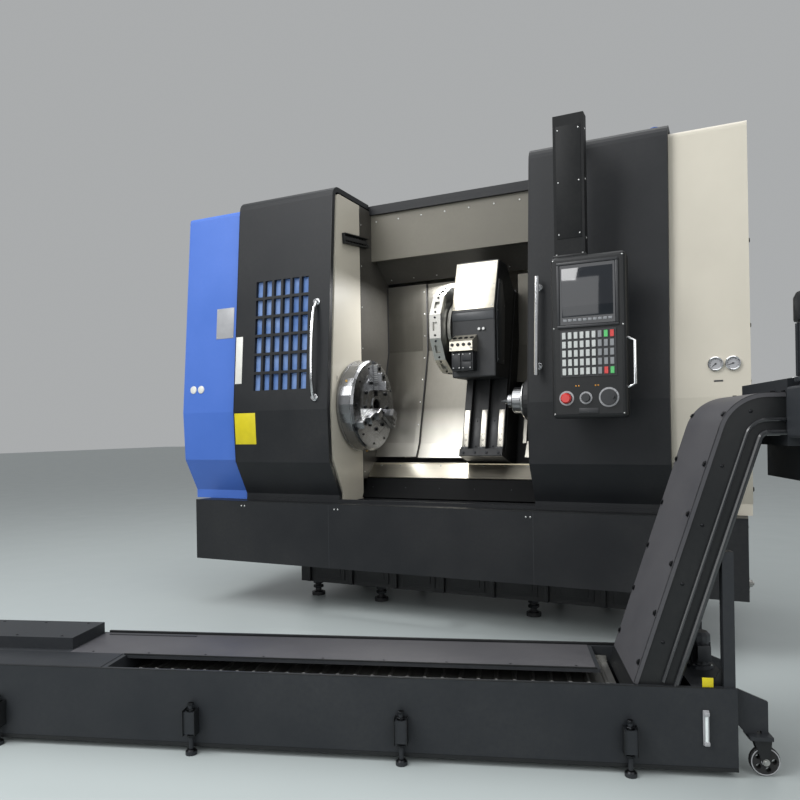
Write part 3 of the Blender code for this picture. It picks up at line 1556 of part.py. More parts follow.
def cabinet_panel():
    low_x, high_x = CABINET_LEFT_X + PANEL_INSET, CABINET_RIGHT_X - PANEL_INSET
    low_z, high_z = CABINET_BOTTOM_Z + PANEL_INSET, CABINET_TOP_Z - PANEL_INSET
    front = CABINET_FRONT_Y + CABINET_WALL + SEAT
    panel = block("cabinet_panel", (low_x, front, low_z), (high_x, front + PANEL_SHEET, high_z), GREY_STEEL)
    pitch = (high_x - low_x) / DRIVE_COUNT
    middle = (low_z + high_z) / 2
    for number in range(DRIVE_COUNT):
        left = low_x + pitch * (number + HALF) - DRIVE_WIDTH / 2
        drive = block(
            f"drive_{number}",
            (left, front + PANEL_SHEET / 2, middle),
            (left + DRIVE_WIDTH, front + PANEL_SHEET + DRIVE_DEPTH, middle + DRIVE_HEIGHT),
        )
        contactor = block(
            f"contactor_{number}",
            (left, front + PANEL_SHEET / 2, middle - DRIVE_HEIGHT),
            (
                left + DRIVE_WIDTH,
                front + PANEL_SHEET + CONTACTOR_DEPTH,
                middle - DRIVE_HEIGHT + CONTACTOR_HEIGHT,
            ),
        )
        join(panel, drive, contactor)
    return panel


def main_switch(base_y):
    """The rotary main switch on the cabinet's door."""
    x = CABINET_RIGHT_X - SWITCH_INSET_X
    knob = rod(
        "main_switch",
        SWITCH_RADIUS,
        "Y",
        (x, 0, SWITCH_Z),
        base_y,
        base_y + SWITCH_DEPTH,
        STOP_RED,
        steps=SMALL_ROUND,
    )
    grip = block(
        "switch_grip",
        (x - SWITCH_GRIP_WIDTH / 2, base_y + SWITCH_DEPTH / 2, SWITCH_Z - SWITCH_RADIUS),
        (x + SWITCH_GRIP_WIDTH / 2, base_y + SWITCH_DEPTH + SWITCH_GRIP_PROUD, SWITCH_Z + SWITCH_RADIUS),
    )
    return join(knob, grip)


COLUMN_BACK_Y = COLUMN_FRONT_Y + COLUMN_DEPTH
COLUMN_MIDDLE = (COLUMN_LEFT_X + COLUMN_WIDTH / 2, COLUMN_FRONT_Y + COLUMN_DEPTH / 2)


def trolley_rail():
    low = COVER_TOP_Z + SEAT
    front = TROLLEY_RAIL_Y - TROLLEY_RAIL_DEPTH / 2
    return block(
        "pendant_rail",
        (TROLLEY_RAIL_LEFT_X, front, low),
        (TROLLEY_RAIL_RIGHT_X, front + TROLLEY_RAIL_DEPTH, low + TROLLEY_RAIL_HEIGHT),
        BLACK_PAINT,
    )


def pendant_hanger():
    """The column in front, and behind it the bar that rises over the doors to the trolley on the roof."""
    left, right = COLUMN_LEFT_X, COLUMN_LEFT_X + COLUMN_WIDTH
    top = ARM_BOTTOM_Z + ARM_HEIGHT
    hanger = block(
        "pendant_hanger",
        (left, COLUMN_FRONT_Y, PENDANT_TOP_Z + SLIDING),
        (right, COLUMN_BACK_Y, DOOR_CREST_Z),
        BLACK_PAINT,
    )
    root = COLUMN_BACK_Y - OVERRUN
    bar = [
        (root, DOOR_CREST_Z - ARM_ROOT_LOW),
        (UPPER_KNEE_Y, ARM_BOTTOM_Z),
        (ARM_BACK_Y, ARM_BOTTOM_Z),
        (ARM_BACK_Y, top),
        (UPPER_KNEE_Y, top),
        (root, DOOR_CREST_Z - ARM_ROOT_HIGH),
    ]
    join(hanger, extrusion("hanger_bar", [bar], "X", left + SEAT, left + ARM_WIDTH))
    rail_top = COVER_TOP_Z + SEAT + TROLLEY_RAIL_HEIGHT
    front = TROLLEY_RAIL_Y - TROLLEY_RAIL_DEPTH / 2 - COVER_SHEET
    back = TROLLEY_RAIL_Y + TROLLEY_RAIL_DEPTH / 2 + COVER_SHEET
    trolley = block(
        "trolley", (left, front, COVER_TOP_Z + DOOR_GAP), (right, back, ARM_BOTTOM_Z + ARM_HEIGHT / 2)
    )
    groove = block(
        "trolley_groove",
        (left - OVERRUN, front + COVER_SHEET - SLIDING, COVER_TOP_Z),
        (right + OVERRUN, back - COVER_SHEET + SLIDING, rail_top + SLIDING),
    )
    join(hanger, trolley)
    return cut(hanger, groove)


def pendant_housing():
    """The control pendant: a rounded box under a small brow, hung on the column."""
    low = (PENDANT_LEFT_X, PENDANT_FRONT_Y, PENDANT_BOTTOM_Z)
    high = (PENDANT_LEFT_X + PENDANT_WIDTH, PENDANT_FRONT_Y + PENDANT_DEPTH, PENDANT_TOP_Z)
    housing = rounded_edges(block("pendant_housing", low, high, BLACK_PAINT), PENDANT_ROUNDING, 3)
    for number, (x, radius) in enumerate(
        ((STOP_BUTTON_X, STEM_RADIUS), (KNOB_X, STEM_RADIUS), (WHEEL_X, STEM_RADIUS))
    ):
        hole = rod(
            f"control_hole_{number}",
            radius + RUNNING / 2,
            "Y",
            (PENDANT_LEFT_X + x, 0, CONTROL_Z),
            PENDANT_FRONT_Y - OVERRUN,
            PENDANT_FRONT_Y + STEM_DEPTH + STOP_BUTTON_TRAVEL + RUNNING,
            steps=SMALL_ROUND,
        )
        cut(housing, hole)
    return set_origin(housing, (*COLUMN_MIDDLE, PENDANT_TOP_Z))


def pendant_screen():
    left, right = PENDANT_LEFT_X + SCREEN_MARGIN, PENDANT_LEFT_X + PENDANT_WIDTH - SCREEN_MARGIN
    back = PENDANT_FRONT_Y - SEAT
    screen = block(
        "pendant_screen",
        (left, back - SCREEN_PROUD, SCREEN_BOTTOM_Z),
        (right, back, SCREEN_TOP_Z),
        SCREEN_GLASS,
    )
    return rounded_edges(screen, SCREEN_EDGE, 1)


def pendant_keypad():
    """The key plate with its rows of keys."""
    left, right = PENDANT_LEFT_X + SCREEN_MARGIN, PENDANT_LEFT_X + PENDANT_WIDTH - SCREEN_MARGIN
    back = PENDANT_FRONT_Y - SEAT
    front = back - KEY_PLATE
    keypad = block("pendant_keypad", (left, front, KEYS_BOTTOM_Z), (right, back, KEYS_TOP_Z), PALE_PLASTIC)
    width = (right - left - KEY_GAP) / KEY_COLUMNS
    height = (KEYS_TOP_Z - KEYS_BOTTOM_Z - KEY_GAP) / KEY_ROWS
    for row in range(KEY_ROWS):
        for column in range(KEY_COLUMNS):
            low_x = left + KEY_GAP + column * width
            low_z = KEYS_BOTTOM_Z + KEY_GAP + row * height
            key = block(
                f"key_{row}_{column}",
                (low_x, front - KEY_HEIGHT, low_z),
                (low_x + width - KEY_GAP, front + KEY_PLATE / 2, low_z + height - KEY_GAP),
            )
            join(keypad, key)
    return keypad


def control_place(x):
    return (PENDANT_LEFT_X + x, PENDANT_FRONT_Y, CONTROL_Z)


def emergency_button():
    head, stem = STOP_BUTTON_HEIGHT + STOP_BUTTON_TRAVEL + SLIDING, STOP_BUTTON_TRAVEL + SLIDING
    profile = [
        (0, STEM_DEPTH),
        (STEM_RADIUS, STEM_DEPTH),
        (STEM_RADIUS, -stem),
        (STOP_BUTTON_RADIUS, -stem),
        (STOP_BUTTON_RADIUS, -head + STOP_BUTTON_CREST),
        (STOP_BUTTON_RADIUS - STOP_BUTTON_EDGE, -head),
        (0, -head),
    ]
    return turned("emergency_button", profile, "Y", control_place(STOP_BUTTON_X), STOP_RED, steps=SMALL_ROUND)


def override_knob():
    """A fluted knob: its outline has a shallow flute between each pair of ribs."""
    x, y, z = control_place(KNOB_X)
    outline = []
    for i in range(2 * KNOB_FLUTES):
        radius = KNOB_RADIUS - (KNOB_RADIUS / 10 if i % 2 else 0)
        outline.append((x + radius * cos(pi * i / KNOB_FLUTES), z + radius * sin(pi * i / KNOB_FLUTES)))
    knob = extrusion("override_knob", [outline], "Y", y - SEAT - KNOB_HEIGHT, y - SEAT, DARK_PLASTIC)
    join(knob, rod("knob_stem", STEM_RADIUS, "Y", (x, y, z), -KNOB_HEIGHT / 2, STEM_DEPTH, steps=SMALL_ROUND))
    return set_origin(knob, (x, y, z))


def handwheel():
    """The jog handwheel with its crank grip."""
    place = control_place(WHEEL_X)
    profile = [
        (0, STEM_DEPTH),
        (STEM_RADIUS, STEM_DEPTH),
        (STEM_RADIUS, -SEAT),
        (WHEEL_RADIUS, -SEAT),
        (WHEEL_RADIUS, -SEAT - WHEEL_HEIGHT),
        (0, -SEAT - WHEEL_HEIGHT),
    ]
    wheel = turned("handwheel", profile, "Y", place, DARK_PLASTIC, steps=2 * SMALL_ROUND)
    grip_place = (place[0] + WHEEL_RADIUS - 2 * WHEEL_GRIP_RADIUS, place[1], place[2])
    grip = rod(
        "handwheel_grip",
        WHEEL_GRIP_RADIUS,
        "Y",
        grip_place,
        -WHEEL_HEIGHT - WHEEL_GRIP_LENGTH,
        -WHEEL_HEIGHT / 2,
        steps=SMALL_ROUND,
    )
    return join(wheel, grip)


def jack(number, y, side):
    """A levelling jack: a bracket on the tank's wall, with its screw and floor pad."""
    x = JACK_FIRST_X - number * JACK_PITCH
    middle = y + side * JACK_DEPTH / 2
    low, high = sorted((y - side * TANK_SHEET / 2, y + side * JACK_DEPTH))
    bracket = block(
        f"jack_{number}_{y}",
        (x - JACK_WIDTH / 2, low, JACK_Z),
        (x + JACK_WIDTH / 2, high, JACK_Z + JACK_HEIGHT),
        parent=CONVEYOR,
    )
    profile = [
        (0, JACK_Z + JACK_HEIGHT + JACK_WIDTH / 2),
        (JACK_SCREW_RADIUS, JACK_Z + JACK_HEIGHT + JACK_WIDTH / 2),
        (JACK_SCREW_RADIUS, JACK_PAD),
        (JACK_PAD_RADIUS, JACK_PAD),
        (JACK_PAD_RADIUS, 0),
        (0, 0),
    ]
    screw = turned(
        f"jack_screw_{number}_{y}", profile, "Z", (x, middle, 0), parent=CONVEYOR, steps=SMALL_ROUND
    )
    return bracket, screw


def conveyor_tank():
    """The coolant tank under the conveyor, open over the belt, with jacks, posts and outriggers."""
    tank = block(
        "conveyor_tank",
        (-TANK_LENGTH, 0, TANK_BOTTOM_Z),
        (0, TANK_WIDTH, TANK_TOP_Z),
        BLACK_PAINT,
        CONVEYOR,
    )
    deck, clear = TANK_TOP_Z - TANK_SHEET, TANK_TOP_Z + OVERRUN
    for name, left, front, back, low, high in (
        ("trough", TROUGH_LEFT_X, TROUGH_FRONT_Y, TROUGH_BACK_Y, TROUGH_FLOOR_Z, deck),
        ("belt_slot", TROUGH_LEFT_X, TROUGH_FRONT_Y, SLOT_BACK_Y, TROUGH_FLOOR_Z + OVERRUN, clear),
        ("incline_pit", INCLINE_PIT_X, TROUGH_FRONT_Y, TROUGH_BACK_Y, TROUGH_FLOOR_Z + OVERRUN, clear),
    ):
        cut(tank, block(name, (left, front, low), (TROUGH_RIGHT_X, back, high), parent=CONVEYOR))
    hood = block(
        "tank_hood",
        (TANK_SHEET - TANK_LENGTH, HOOD_FRONT_Y, TANK_TOP_Z - TANK_SHEET),
        (HOOD_STEP_X, TANK_WIDTH - TANK_SHEET, TANK_TOP_Z + HOOD_HEIGHT),
        parent=CONVEYOR,
    )
    join(tank, hood)
    for number in range(JACK_COUNT):
        for y, side in ((0, -1), (TANK_WIDTH, 1)):
            join(tank, *jack(number, y, side))
    for number, y in enumerate((TANK_SHEET, TANK_WIDTH - POST_SIDE - TANK_SHEET)):
        join(tank, post(number, y))
    for number, y in enumerate((CASTER_INSET_Y, TANK_WIDTH - CASTER_INSET_Y)):
        join(tank, outrigger(number, y))
    return tank


def post(number, y):
    """A square post from the tank up to the incline's underside."""
    left = POST_RIGHT_X - POST_SIDE
    foot_x, foot_z = incline_line(INCLINE_THICKNESS)[0]
    top = foot_z + (left - foot_x) * sin(INCLINE_ANGLE) / cos(INCLINE_ANGLE) - SEAT
    return block(
        f"post_{number}",
        (left, y, TANK_TOP_Z - TANK_SHEET),
        (POST_RIGHT_X, y + POST_SIDE, top),
        parent=CONVEYOR,
    )


def outrigger(number, y):
    """A gusset plate, cut away below, with a flat foot that carries a caster beyond the tank's end."""
    low = OUTRIGGER_LOW_Z
    tip = OUTRIGGER_LENGTH - OUTRIGGER_PLATE / 2
    outline = [
        (-TANK_SHEET / 2, OUTRIGGER_ROOT_Z),
        (OUTRIGGER_FOOT_X, low + OUTRIGGER_PLATE / 2),
        (tip, low + OUTRIGGER_PLATE / 2),
        (tip, OUTRIGGER_TIP_Z),
        (OUTRIGGER_PLATE, OUTRIGGER_TOP_Z),
        (-TANK_SHEET / 2, OUTRIGGER_TOP_Z),
    ]
    half = OUTRIGGER_PLATE / 2
    gusset = extrusion(f"gusset_{number}", [outline], "Y", y - half, y + half, parent=CONVEYOR)
    foot = block(
        f"outrigger_foot_{number}",
        (OUTRIGGER_FOOT_X, y - CASTER_INSET_Y + SEAT, low),
        (OUTRIGGER_LENGTH, y + CASTER_INSET_Y - SEAT, low + OUTRIGGER_PLATE),
        parent=CONVEYOR,
    )
    join(gusset, foot)
    hole = rod(
        f"stem_hole_{number}",
        FORK_STEM_RADIUS + RUNNING / 2,
        "Z",
        (CASTER_X, y, 0),
        low - OVERRUN,
        low + OUTRIGGER_PLATE + FORK_PLATE + RUNNING,
        parent=CONVEYOR,
        steps=SMALL_ROUND,
    )
    return cut(gusset, hole)


def hinged_belt():
    """The conveyor belt's upper run: hinged plates with a knuckle at every pitch."""
    low, high = BELT_LOW_Z, BELT_LOW_Z + BELT_SHEET
    count = int((BELT_RIGHT_X - BELT_LEFT_X) / BELT_PITCH)
    outline = [(BELT_RIGHT_X, low), (BELT_RIGHT_X, high)]
    for number in range(count):
        x = BELT_RIGHT_X - BELT_PITCH * (number + HALF)
        outline += arc((x, high), BELT_KNUCKLE, 0, pi, KNUCKLE_STEPS)
    outline += [(BELT_LEFT_X, high), (BELT_LEFT_X, low)]
    front, back = TROUGH_FRONT_Y + BELT_SIDE_GAP, TROUGH_BACK_Y - BELT_SIDE_GAP
    belt = extrusion("hinged_belt", [outline], "Y", front, back, TURNED_STEEL, CONVEYOR)
    for side, y in enumerate((front, back - BELT_SHEET)):
        skirt = block(
            f"belt_skirt_{side}",
            (BELT_LEFT_X + BELT_SHEET, y, TROUGH_FLOOR_Z + SEAT),
            (BELT_RIGHT_X - BELT_SHEET, y + BELT_SHEET, high - SEAT),
            parent=CONVEYOR,
        )
        join(belt, skirt)
    return belt


def incline_line(offset):
    """The incline's upper face, moved inwards by an offset: straight up, round the knee, then level."""
    turn = INCLINE_KNEE_RADIUS - offset
    run = cos(INCLINE_ANGLE)
    rise = sin(INCLINE_ANGLE)
    foot = (INCLINE_LOW_X + offset * rise, INCLINE_FOOT_Z - offset * run)
    knee_z = INCLINE_TOP_Z - INCLINE_KNEE_RADIUS
    centre_z = knee_z
    reach = (centre_z + INCLINE_KNEE_RADIUS * run - INCLINE_FOOT_Z) / rise
    centre_x = INCLINE_LOW_X + reach * run + INCLINE_KNEE_RADIUS * rise
    curve = arc((centre_x, centre_z), turn, pi / 2 + INCLINE_ANGLE, pi / 2, KNEE_STEPS)
    return [foot, *curve, (HEAD_LEFT_X - SEAT, INCLINE_TOP_Z - offset)]


def conveyor_incline():
    """The closed casing that lifts the belt from the tank to the discharge head."""
    upper, lower = incline_line(0), incline_line(INCLINE_THICKNESS)
    floor = INCLINE_FOOT_Z
    lower[0] = (lower[0][0], floor - INCLINE_THICKNESS * cos(INCLINE_ANGLE))
    front, back = TROUGH_FRONT_Y + SEAT, TROUGH_BACK_Y - SEAT
    return extrusion("conveyor_incline", [upper + lower[::-1]], "Y", front, back, BLACK_PAINT, CONVEYOR)


def discharge_head():
    """The head that drops the chips: a box with a sloped nose and an open mouth underneath."""
    outline = [
        (HEAD_LEFT_X, HEAD_BOTTOM_Z + HEAD_NOSE),
        (HEAD_LEFT_X, HEAD_TOP_Z),
        (HEAD_RIGHT_X - HEAD_NOSE, HEAD_TOP_Z),
        (HEAD_RIGHT_X, HEAD_TOP_Z - HEAD_NOSE),
        (HEAD_RIGHT_X, HEAD_BOTTOM_Z),
        (MOUTH_LEFT_X, HEAD_BOTTOM_Z),
        (MOUTH_LEFT_X, HEAD_BOTTOM_Z + HEAD_NOSE),
    ]
    head = extrusion("discharge_head", [outline], "Y", HEAD_FRONT_Y, HEAD_BACK_Y, BLACK_PAINT, CONVEYOR)
    mouth = block(
        "head_mouth",
        (MOUTH_LEFT_X + HEAD_SHEET, HEAD_FRONT_Y + HEAD_SHEET, HEAD_BOTTOM_Z - OVERRUN),
        (HEAD_RIGHT_X - HEAD_SHEET, HEAD_BACK_Y - HEAD_SHEET, HEAD_TOP_Z - HEAD_NOSE - HEAD_SHEET),
        parent=CONVEYOR,
    )
    return cut(head, mouth)


def conveyor_parts():
    conveyor_tank()
    hinged_belt()
    conveyor_incline()
    discharge_head()


def conveyor_motor():
    """The gear motor on the head's front: a square gearbox with a finned motor lying along the head."""
    middle_z = (HEAD_TOP_Z + HEAD_BOTTOM_Z + HEAD_NOSE) / 2
    back = HEAD_FRONT_Y - SEAT
    half = GEARBOX_SIDE / 2
    gearbox = block(
        "conveyor_motor",
        (DRIVE_MOTOR_X - half, back - GEARBOX_WIDTH, middle_z - half),
        (DRIVE_MOTOR_X + half, back, middle_z + half),
        MOTOR_GREY,
        CONVEYOR,
    )
    rounded_edges(gearbox, HOUSING_BEVEL)
    motor = rod(
        "motor_can",
        DRIVE_MOTOR_RADIUS,
        "Z",
        (DRIVE_MOTOR_X, back - GEARBOX_WIDTH / 2, 0),
        middle_z + half - GUIDE_SINK,
        middle_z + half + DRIVE_MOTOR_LENGTH,
        parent=CONVEYOR,
        steps=SMALL_ROUND,
    )
    return join(gearbox, motor)


def caster_fork(name, y):
    """A swivel fork: two cheeks under a top plate, with the stem that turns in the outrigger."""
    plate_top = OUTRIGGER_LOW_Z - FORK_GAP
    plate_low = plate_top - FORK_PLATE
    axle_x = CASTER_X + CASTER_TRAIL
    half = CASTER_WIDTH / 2 + FORK_GAP
    fork = block(
        name,
        (CASTER_X - FORK_HALF, y - half - FORK_SHEET, plate_low),
        (axle_x + FORK_HALF, y + half + FORK_SHEET, plate_top),
        BLACK_PAINT,
        CONVEYOR,
    )
    outline = [
        (axle_x - FORK_HALF / 2, CASTER_RADIUS - FORK_HALF / 2),
        (axle_x + FORK_HALF / 2, CASTER_RADIUS - FORK_HALF / 2),
        (axle_x + FORK_HALF, plate_low + SEAT),
        (CASTER_X - FORK_HALF, plate_low + SEAT),
    ]
    for side, inner in ((-1, y - half), (1, y + half)):
        low, high = sorted((inner, inner + side * FORK_SHEET))
        join(fork, extrusion(f"{name}_cheek_{side}", [outline], "Y", low, high, parent=CONVEYOR))
    stem_top = OUTRIGGER_LOW_Z + OUTRIGGER_PLATE
    stem = rod(
        f"{name}_stem",
        FORK_STEM_RADIUS,
        "Z",
        (CASTER_X, y, 0),
        plate_low + SEAT,
        stem_top,
        parent=CONVEYOR,
        steps=SMALL_ROUND,
    )
    join(fork, stem)
    axle = rod(
        f"{name}_axle",
        CASTER_AXLE_RADIUS,
        "Y",
        (axle_x, 0, CASTER_RADIUS),
        y - half - SEAT,
        y + half + SEAT,
        parent=CONVEYOR,
        steps=SMALL_ROUND,
    )
    join(fork, axle)
    return set_origin(fork, (CASTER_X, y, CASTER_RADIUS))


def caster_wheel(name, y):
    """A wheel with a rounded tread and a ring of openings between its spokes."""
    axle_x = CASTER_X + CASTER_TRAIL
    half = CASTER_WIDTH / 2
    hole = CASTER_AXLE_RADIUS + RUNNING / 2
    profile = [
        (hole, half),
        (CASTER_RADIUS - CASTER_EDGE, half),
        (CASTER_RADIUS, half - CASTER_EDGE),
        (CASTER_RADIUS, CASTER_EDGE - half),
        (CASTER_RADIUS - CASTER_EDGE, -half),
        (hole, -half),
    ]
    wheel = turned(
        name, profile, "Y", (axle_x, y, CASTER_RADIUS), RUBBER, CONVEYOR, 2 * SMALL_ROUND, ring=True
    )
    ring = (CASTER_RADIUS + CASTER_AXLE_RADIUS) / 2
    for number in range(CASTER_SPOKES):
        angle = 2 * pi * number / CASTER_SPOKES
        place = (axle_x + ring * cos(angle), y, CASTER_RADIUS + ring * sin(angle))
        window = rod(
            f"{name}_window_{number}",
            SPOKE_WINDOW,
            "Y",
            place,
            -CASTER_WIDTH,
            CASTER_WIDTH,
            parent=CONVEYOR,
            steps=SMALL_ROUND,
        )
        cut(wheel, window)
    return wheel


def coolant_pump():
    """The upright coolant pump on the tank behind the incline."""
    low = TANK_TOP_Z + SEAT
    top = low + PUMP_FLANGE_HEIGHT + PUMP_HEIGHT
    profile = [
        (0, top + PUMP_CAP),
        (PUMP_RADIUS - PUMP_CAP_EDGE, top + PUMP_CAP),
        (PUMP_RADIUS, top + PUMP_CAP - PUMP_CAP_EDGE),
        (PUMP_RADIUS, top),
        (PUMP_RADIUS - PUMP_CAP_PROUD, top),
        (PUMP_RADIUS - PUMP_CAP_PROUD, low + PUMP_FLANGE_HEIGHT),
        (PUMP_FLANGE, low + PUMP_FLANGE_HEIGHT),
        (PUMP_FLANGE, low),
        (0, low),
    ]
    return turned("coolant_pump", profile, "Z", (PUMP_X, PUMP_Y, 0), MOTOR_GREY, CONVEYOR, SMALL_ROUND)


def smooth_round_pieces():
    for obj in PARTS.objects:
        if obj.type == "MESH":
            obj.data.shade_smooth()
            obj.data.set_sharp_from_angle(angle=radians(30))


def build():
    bed_casting()
    front_tray()
    end_cover("left_end_cover", COVER_LEFT_X, WALL_FACE_X - COVER_SHEET - SEAT, BLUE_PAINT)
    end_cover("right_end_cover", COVER_RIGHT_X, RIGHT_COVER_INNER_X, WHITE_PAINT, WORK_END_X)
    left_cheek()
    headstock_wall()
    roof_lintel()
    top_rail()
    trolley_rail()
    work_area_sheets()
    way_covers()
    rear_cover()
    headstock()
    spindle()
    chuck()
    spindle_motor()
    motor_pulley()
    drive_belt()
    saddle()
    turret_housing()
    turret_disc()
    coolant_manifold()
    tailstock()
    quill()
    live_centre()
    left_door()
    bow_handle()
    right_door()
    bar_handle()
    electrical_cabinet()
    pendant_hanger()
    pendant_housing()
    pendant_screen()
    pendant_keypad()
    emergency_button()
    override_knob()
    handwheel()
    conveyor_parts()
    conveyor_motor()
    for end, y in (("front", CASTER_INSET_Y), ("rear", TANK_WIDTH - CASTER_INSET_Y)):
        caster_fork(f"caster_fork_{end}", y)
        caster_wheel(f"caster_wheel_{end}", y)
    coolant_pump()
    smooth_round_pieces()


build()
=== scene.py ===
"""Looks of a CNC turning lathe and its chip conveyor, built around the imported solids."""

from math import cos, pi, radians, sin, tau

import bmesh
import bpy
from mathutils import Matrix, Vector


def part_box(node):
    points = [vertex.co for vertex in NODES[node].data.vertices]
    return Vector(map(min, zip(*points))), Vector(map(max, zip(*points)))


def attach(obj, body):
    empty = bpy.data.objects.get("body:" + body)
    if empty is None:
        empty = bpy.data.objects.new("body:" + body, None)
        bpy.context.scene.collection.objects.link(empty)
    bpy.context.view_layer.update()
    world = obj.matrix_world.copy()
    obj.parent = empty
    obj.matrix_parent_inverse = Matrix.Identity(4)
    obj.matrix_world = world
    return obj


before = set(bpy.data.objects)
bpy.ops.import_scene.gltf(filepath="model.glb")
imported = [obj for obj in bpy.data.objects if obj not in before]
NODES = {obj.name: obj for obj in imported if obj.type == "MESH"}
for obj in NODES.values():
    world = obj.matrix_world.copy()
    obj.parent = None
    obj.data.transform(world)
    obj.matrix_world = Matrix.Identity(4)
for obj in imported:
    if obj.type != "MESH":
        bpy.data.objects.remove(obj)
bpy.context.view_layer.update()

# The machine's own axes start at the middle of the tray's front face,
# and the conveyor's at its right front corner
TRAY_LOW, TRAY_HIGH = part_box("front_tray")
MACHINE = Matrix.Translation(((TRAY_LOW.x + TRAY_HIGH.x) / 2, TRAY_LOW.y, 0))
CONVEYOR = MACHINE @ Matrix.Translation((1.58, -1.155, 0)) @ Matrix.Rotation(radians(17.39), 4, "Z")
FLAT = Matrix.Identity(4)

# Pieces stand this far off the surface that carries them
LIFT, CLEAR = 0.0002, 0.0003
SPINDLE_Y, SPINDLE_Z = 0.35, 1.275
END_X, TRAY_END_X = 1.65, 1.6285
DECK_Z, DECK_TOP_Z = 0.2822, 0.2838
HOOD_BACK_Y = 1.33
HEAD_SHAFT_Z = 1.156


class Value:
    """One output socket, which can be used in sums with numbers and other values."""

    def __init__(self, finish, socket):
        self.finish = finish
        self.socket = socket

    def _math(self, operation, *terms):
        node = self.finish.node("ShaderNodeMath", operation=operation)
        for slot, term in zip(node.inputs, terms):
            self.finish.feed(slot, term)
        return Value(self.finish, node.outputs[0])

    def __add__(self, other):
        return self._math("ADD", self, other)

    def __sub__(self, other):
        return self._math("SUBTRACT", self, other)

    def __rsub__(self, other):
        return self._math("SUBTRACT", other, self)

    def __mul__(self, other):
        return self._math("MULTIPLY", self, other)

    def __truediv__(self, other):
        return self._math("DIVIDE", self, other)

    def __pow__(self, other):
        return self._math("POWER", self, other)

    def __gt__(self, other):
        return self._math("GREATER_THAN", self, other)

    def __lt__(self, other):
        return self._math("LESS_THAN", self, other)

    __radd__ = __add__
    __rmul__ = __mul__

    def at_most(self, other):
        return self._math("MINIMUM", self, other)

    def at_least(self, other):
        return self._math("MAXIMUM", self, other)

    def repeat(self, length):
        return self._math("WRAP", self, length, 0)

    def sine(self):
        return self._math("SINE", self)

    def size(self):
        return self._math("ABSOLUTE", self)

    def clipped(self):
        return self.at_least(0).at_most(1)


class Finish:
    """A paint, metal, plastic or rubber, made from procedural nodes."""

    def __init__(self, name, colour, roughness, metallic=0.0, **fixed):
        self.material = bpy.data.materials.new(name)
        self.material.use_nodes = True
        self.tree = self.material.node_tree
        self.shader = self.tree.nodes["Principled BSDF"]
        self.colour = (*colour, 1.0)
        self.set("Base Color", self.colour)
        self.set("Roughness", roughness)
        self.set("Metallic", metallic)
        for key, value in fixed.items():
            self.set(key.replace("_", " "), value)
        self.place = Value(self, self.node("ShaderNodeTexCoord").outputs["Object"])

    def node(self, kind, inputs=None, **settings):
        made = self.tree.nodes.new(kind)
        for key, value in settings.items():
            setattr(made, key, value)
        for key, value in (inputs or {}).items():
            self.feed(made.inputs[key], value)
        return made

    def feed(self, slot, term):
        if isinstance(term, Value):
            self.tree.links.new(term.socket, slot)
        else:
            slot.default_value = term

    def set(self, name, term):
        self.feed(self.shader.inputs[name], term)

    def axes(self):
        split = self.node("ShaderNodeSeparateXYZ", {"Vector": self.place})
        return [Value(self, out) for out in split.outputs]

    def stretched(self, scale):
        mapping = self.node("ShaderNodeMapping", {"Vector": self.place, "Scale": scale})
        return Value(self, mapping.outputs[0])

    def noise(self, scale, detail=3.0, roughness=0.55, stretch=None):
        where = self.stretched(stretch) if stretch else self.place
        inputs = {"Vector": where, "Scale": scale, "Detail": detail, "Roughness": roughness}
        return Value(self, self.node("ShaderNodeTexNoise", inputs).outputs["Fac"])

    def ramp(self, value, *stops):
        made = self.node("ShaderNodeValToRGB", {"Fac": value})
        points = made.color_ramp.elements
        while len(points) < len(stops):
            points.new(0.5)
        for point, (place, shade) in zip(points, stops):
            point.position = place
            point.color = (shade, shade, shade, 1)
        return Value(self, made.outputs["Color"])

    def blend(self, factor, first, second):
        made = self.node("ShaderNodeMix", data_type="RGBA")
        for index, term in ((0, factor), (6, first), (7, second)):
            self.feed(
                made.inputs[index], (*term, 1.0) if isinstance(term, tuple) and len(term) == 3 else term
            )
        return Value(self, made.outputs[2])

    def bump(self, height, strength, depth):
        inputs = {"Height": height, "Strength": strength, "Distance": depth}
        if self.shader.inputs["Normal"].is_linked:
            inputs["Normal"] = Value(self, self.shader.inputs["Normal"].links[0].from_socket)
        self.set("Normal", Value(self, self.node("ShaderNodeBump", inputs).outputs["Normal"]))


def shade(colour, amount):
    return tuple(min(1.0, channel * amount) for channel in colour)


def hex_colour(code):
    """Linear colour of a six-figure sRGB code."""
    values = [int(code[i : i + 2], 16) / 255 for i in (0, 2, 4)]
    return tuple(v / 12.92 if v <= 0.04045 else ((v + 0.055) / 1.055) ** 2.4 for v in values)


def painted(name, code, roughness, grain=0.25, dust=0.12, coat=0.0, shine=0.5, marks=None):
    """Sprayed paint: fine orange peel, slow changes of gloss, a little dust, and marks such as dark seams and
    the painted shade of air slots.
    """
    colour = hex_colour(code)
    made = Finish(name, colour, roughness, Coat_Weight=coat, Coat_Roughness=0.15, Specular_IOR_Level=shine)
    clouds = made.noise(1.7, 5.0, 0.6)
    patches = made.ramp(clouds, (0.35, 0.0), (0.75, 1.0))
    fine = made.noise(60.0, 2.0)
    tint = made.blend(patches, colour, shade(colour, 1.12))
    dusty = (patches * fine * dust).clipped()
    look = made.blend(dusty, tint, hex_colour("b9b6ae"))
    # Marks darken the paint: seams are dark joints, slot stripes are painted shade
    if marks:
        look = made.blend(marks(made), look, shade(colour, 0.25))
    made.set("Base Color", look)
    made.set("Roughness", (roughness - 0.05 + patches * 0.08 + fine * 0.06).clipped())
    made.bump(made.noise(420.0, 2.0), grain, 0.0004)
    made.bump(made.noise(2.3, 2.0), 0.08, 0.004)
    return made.material


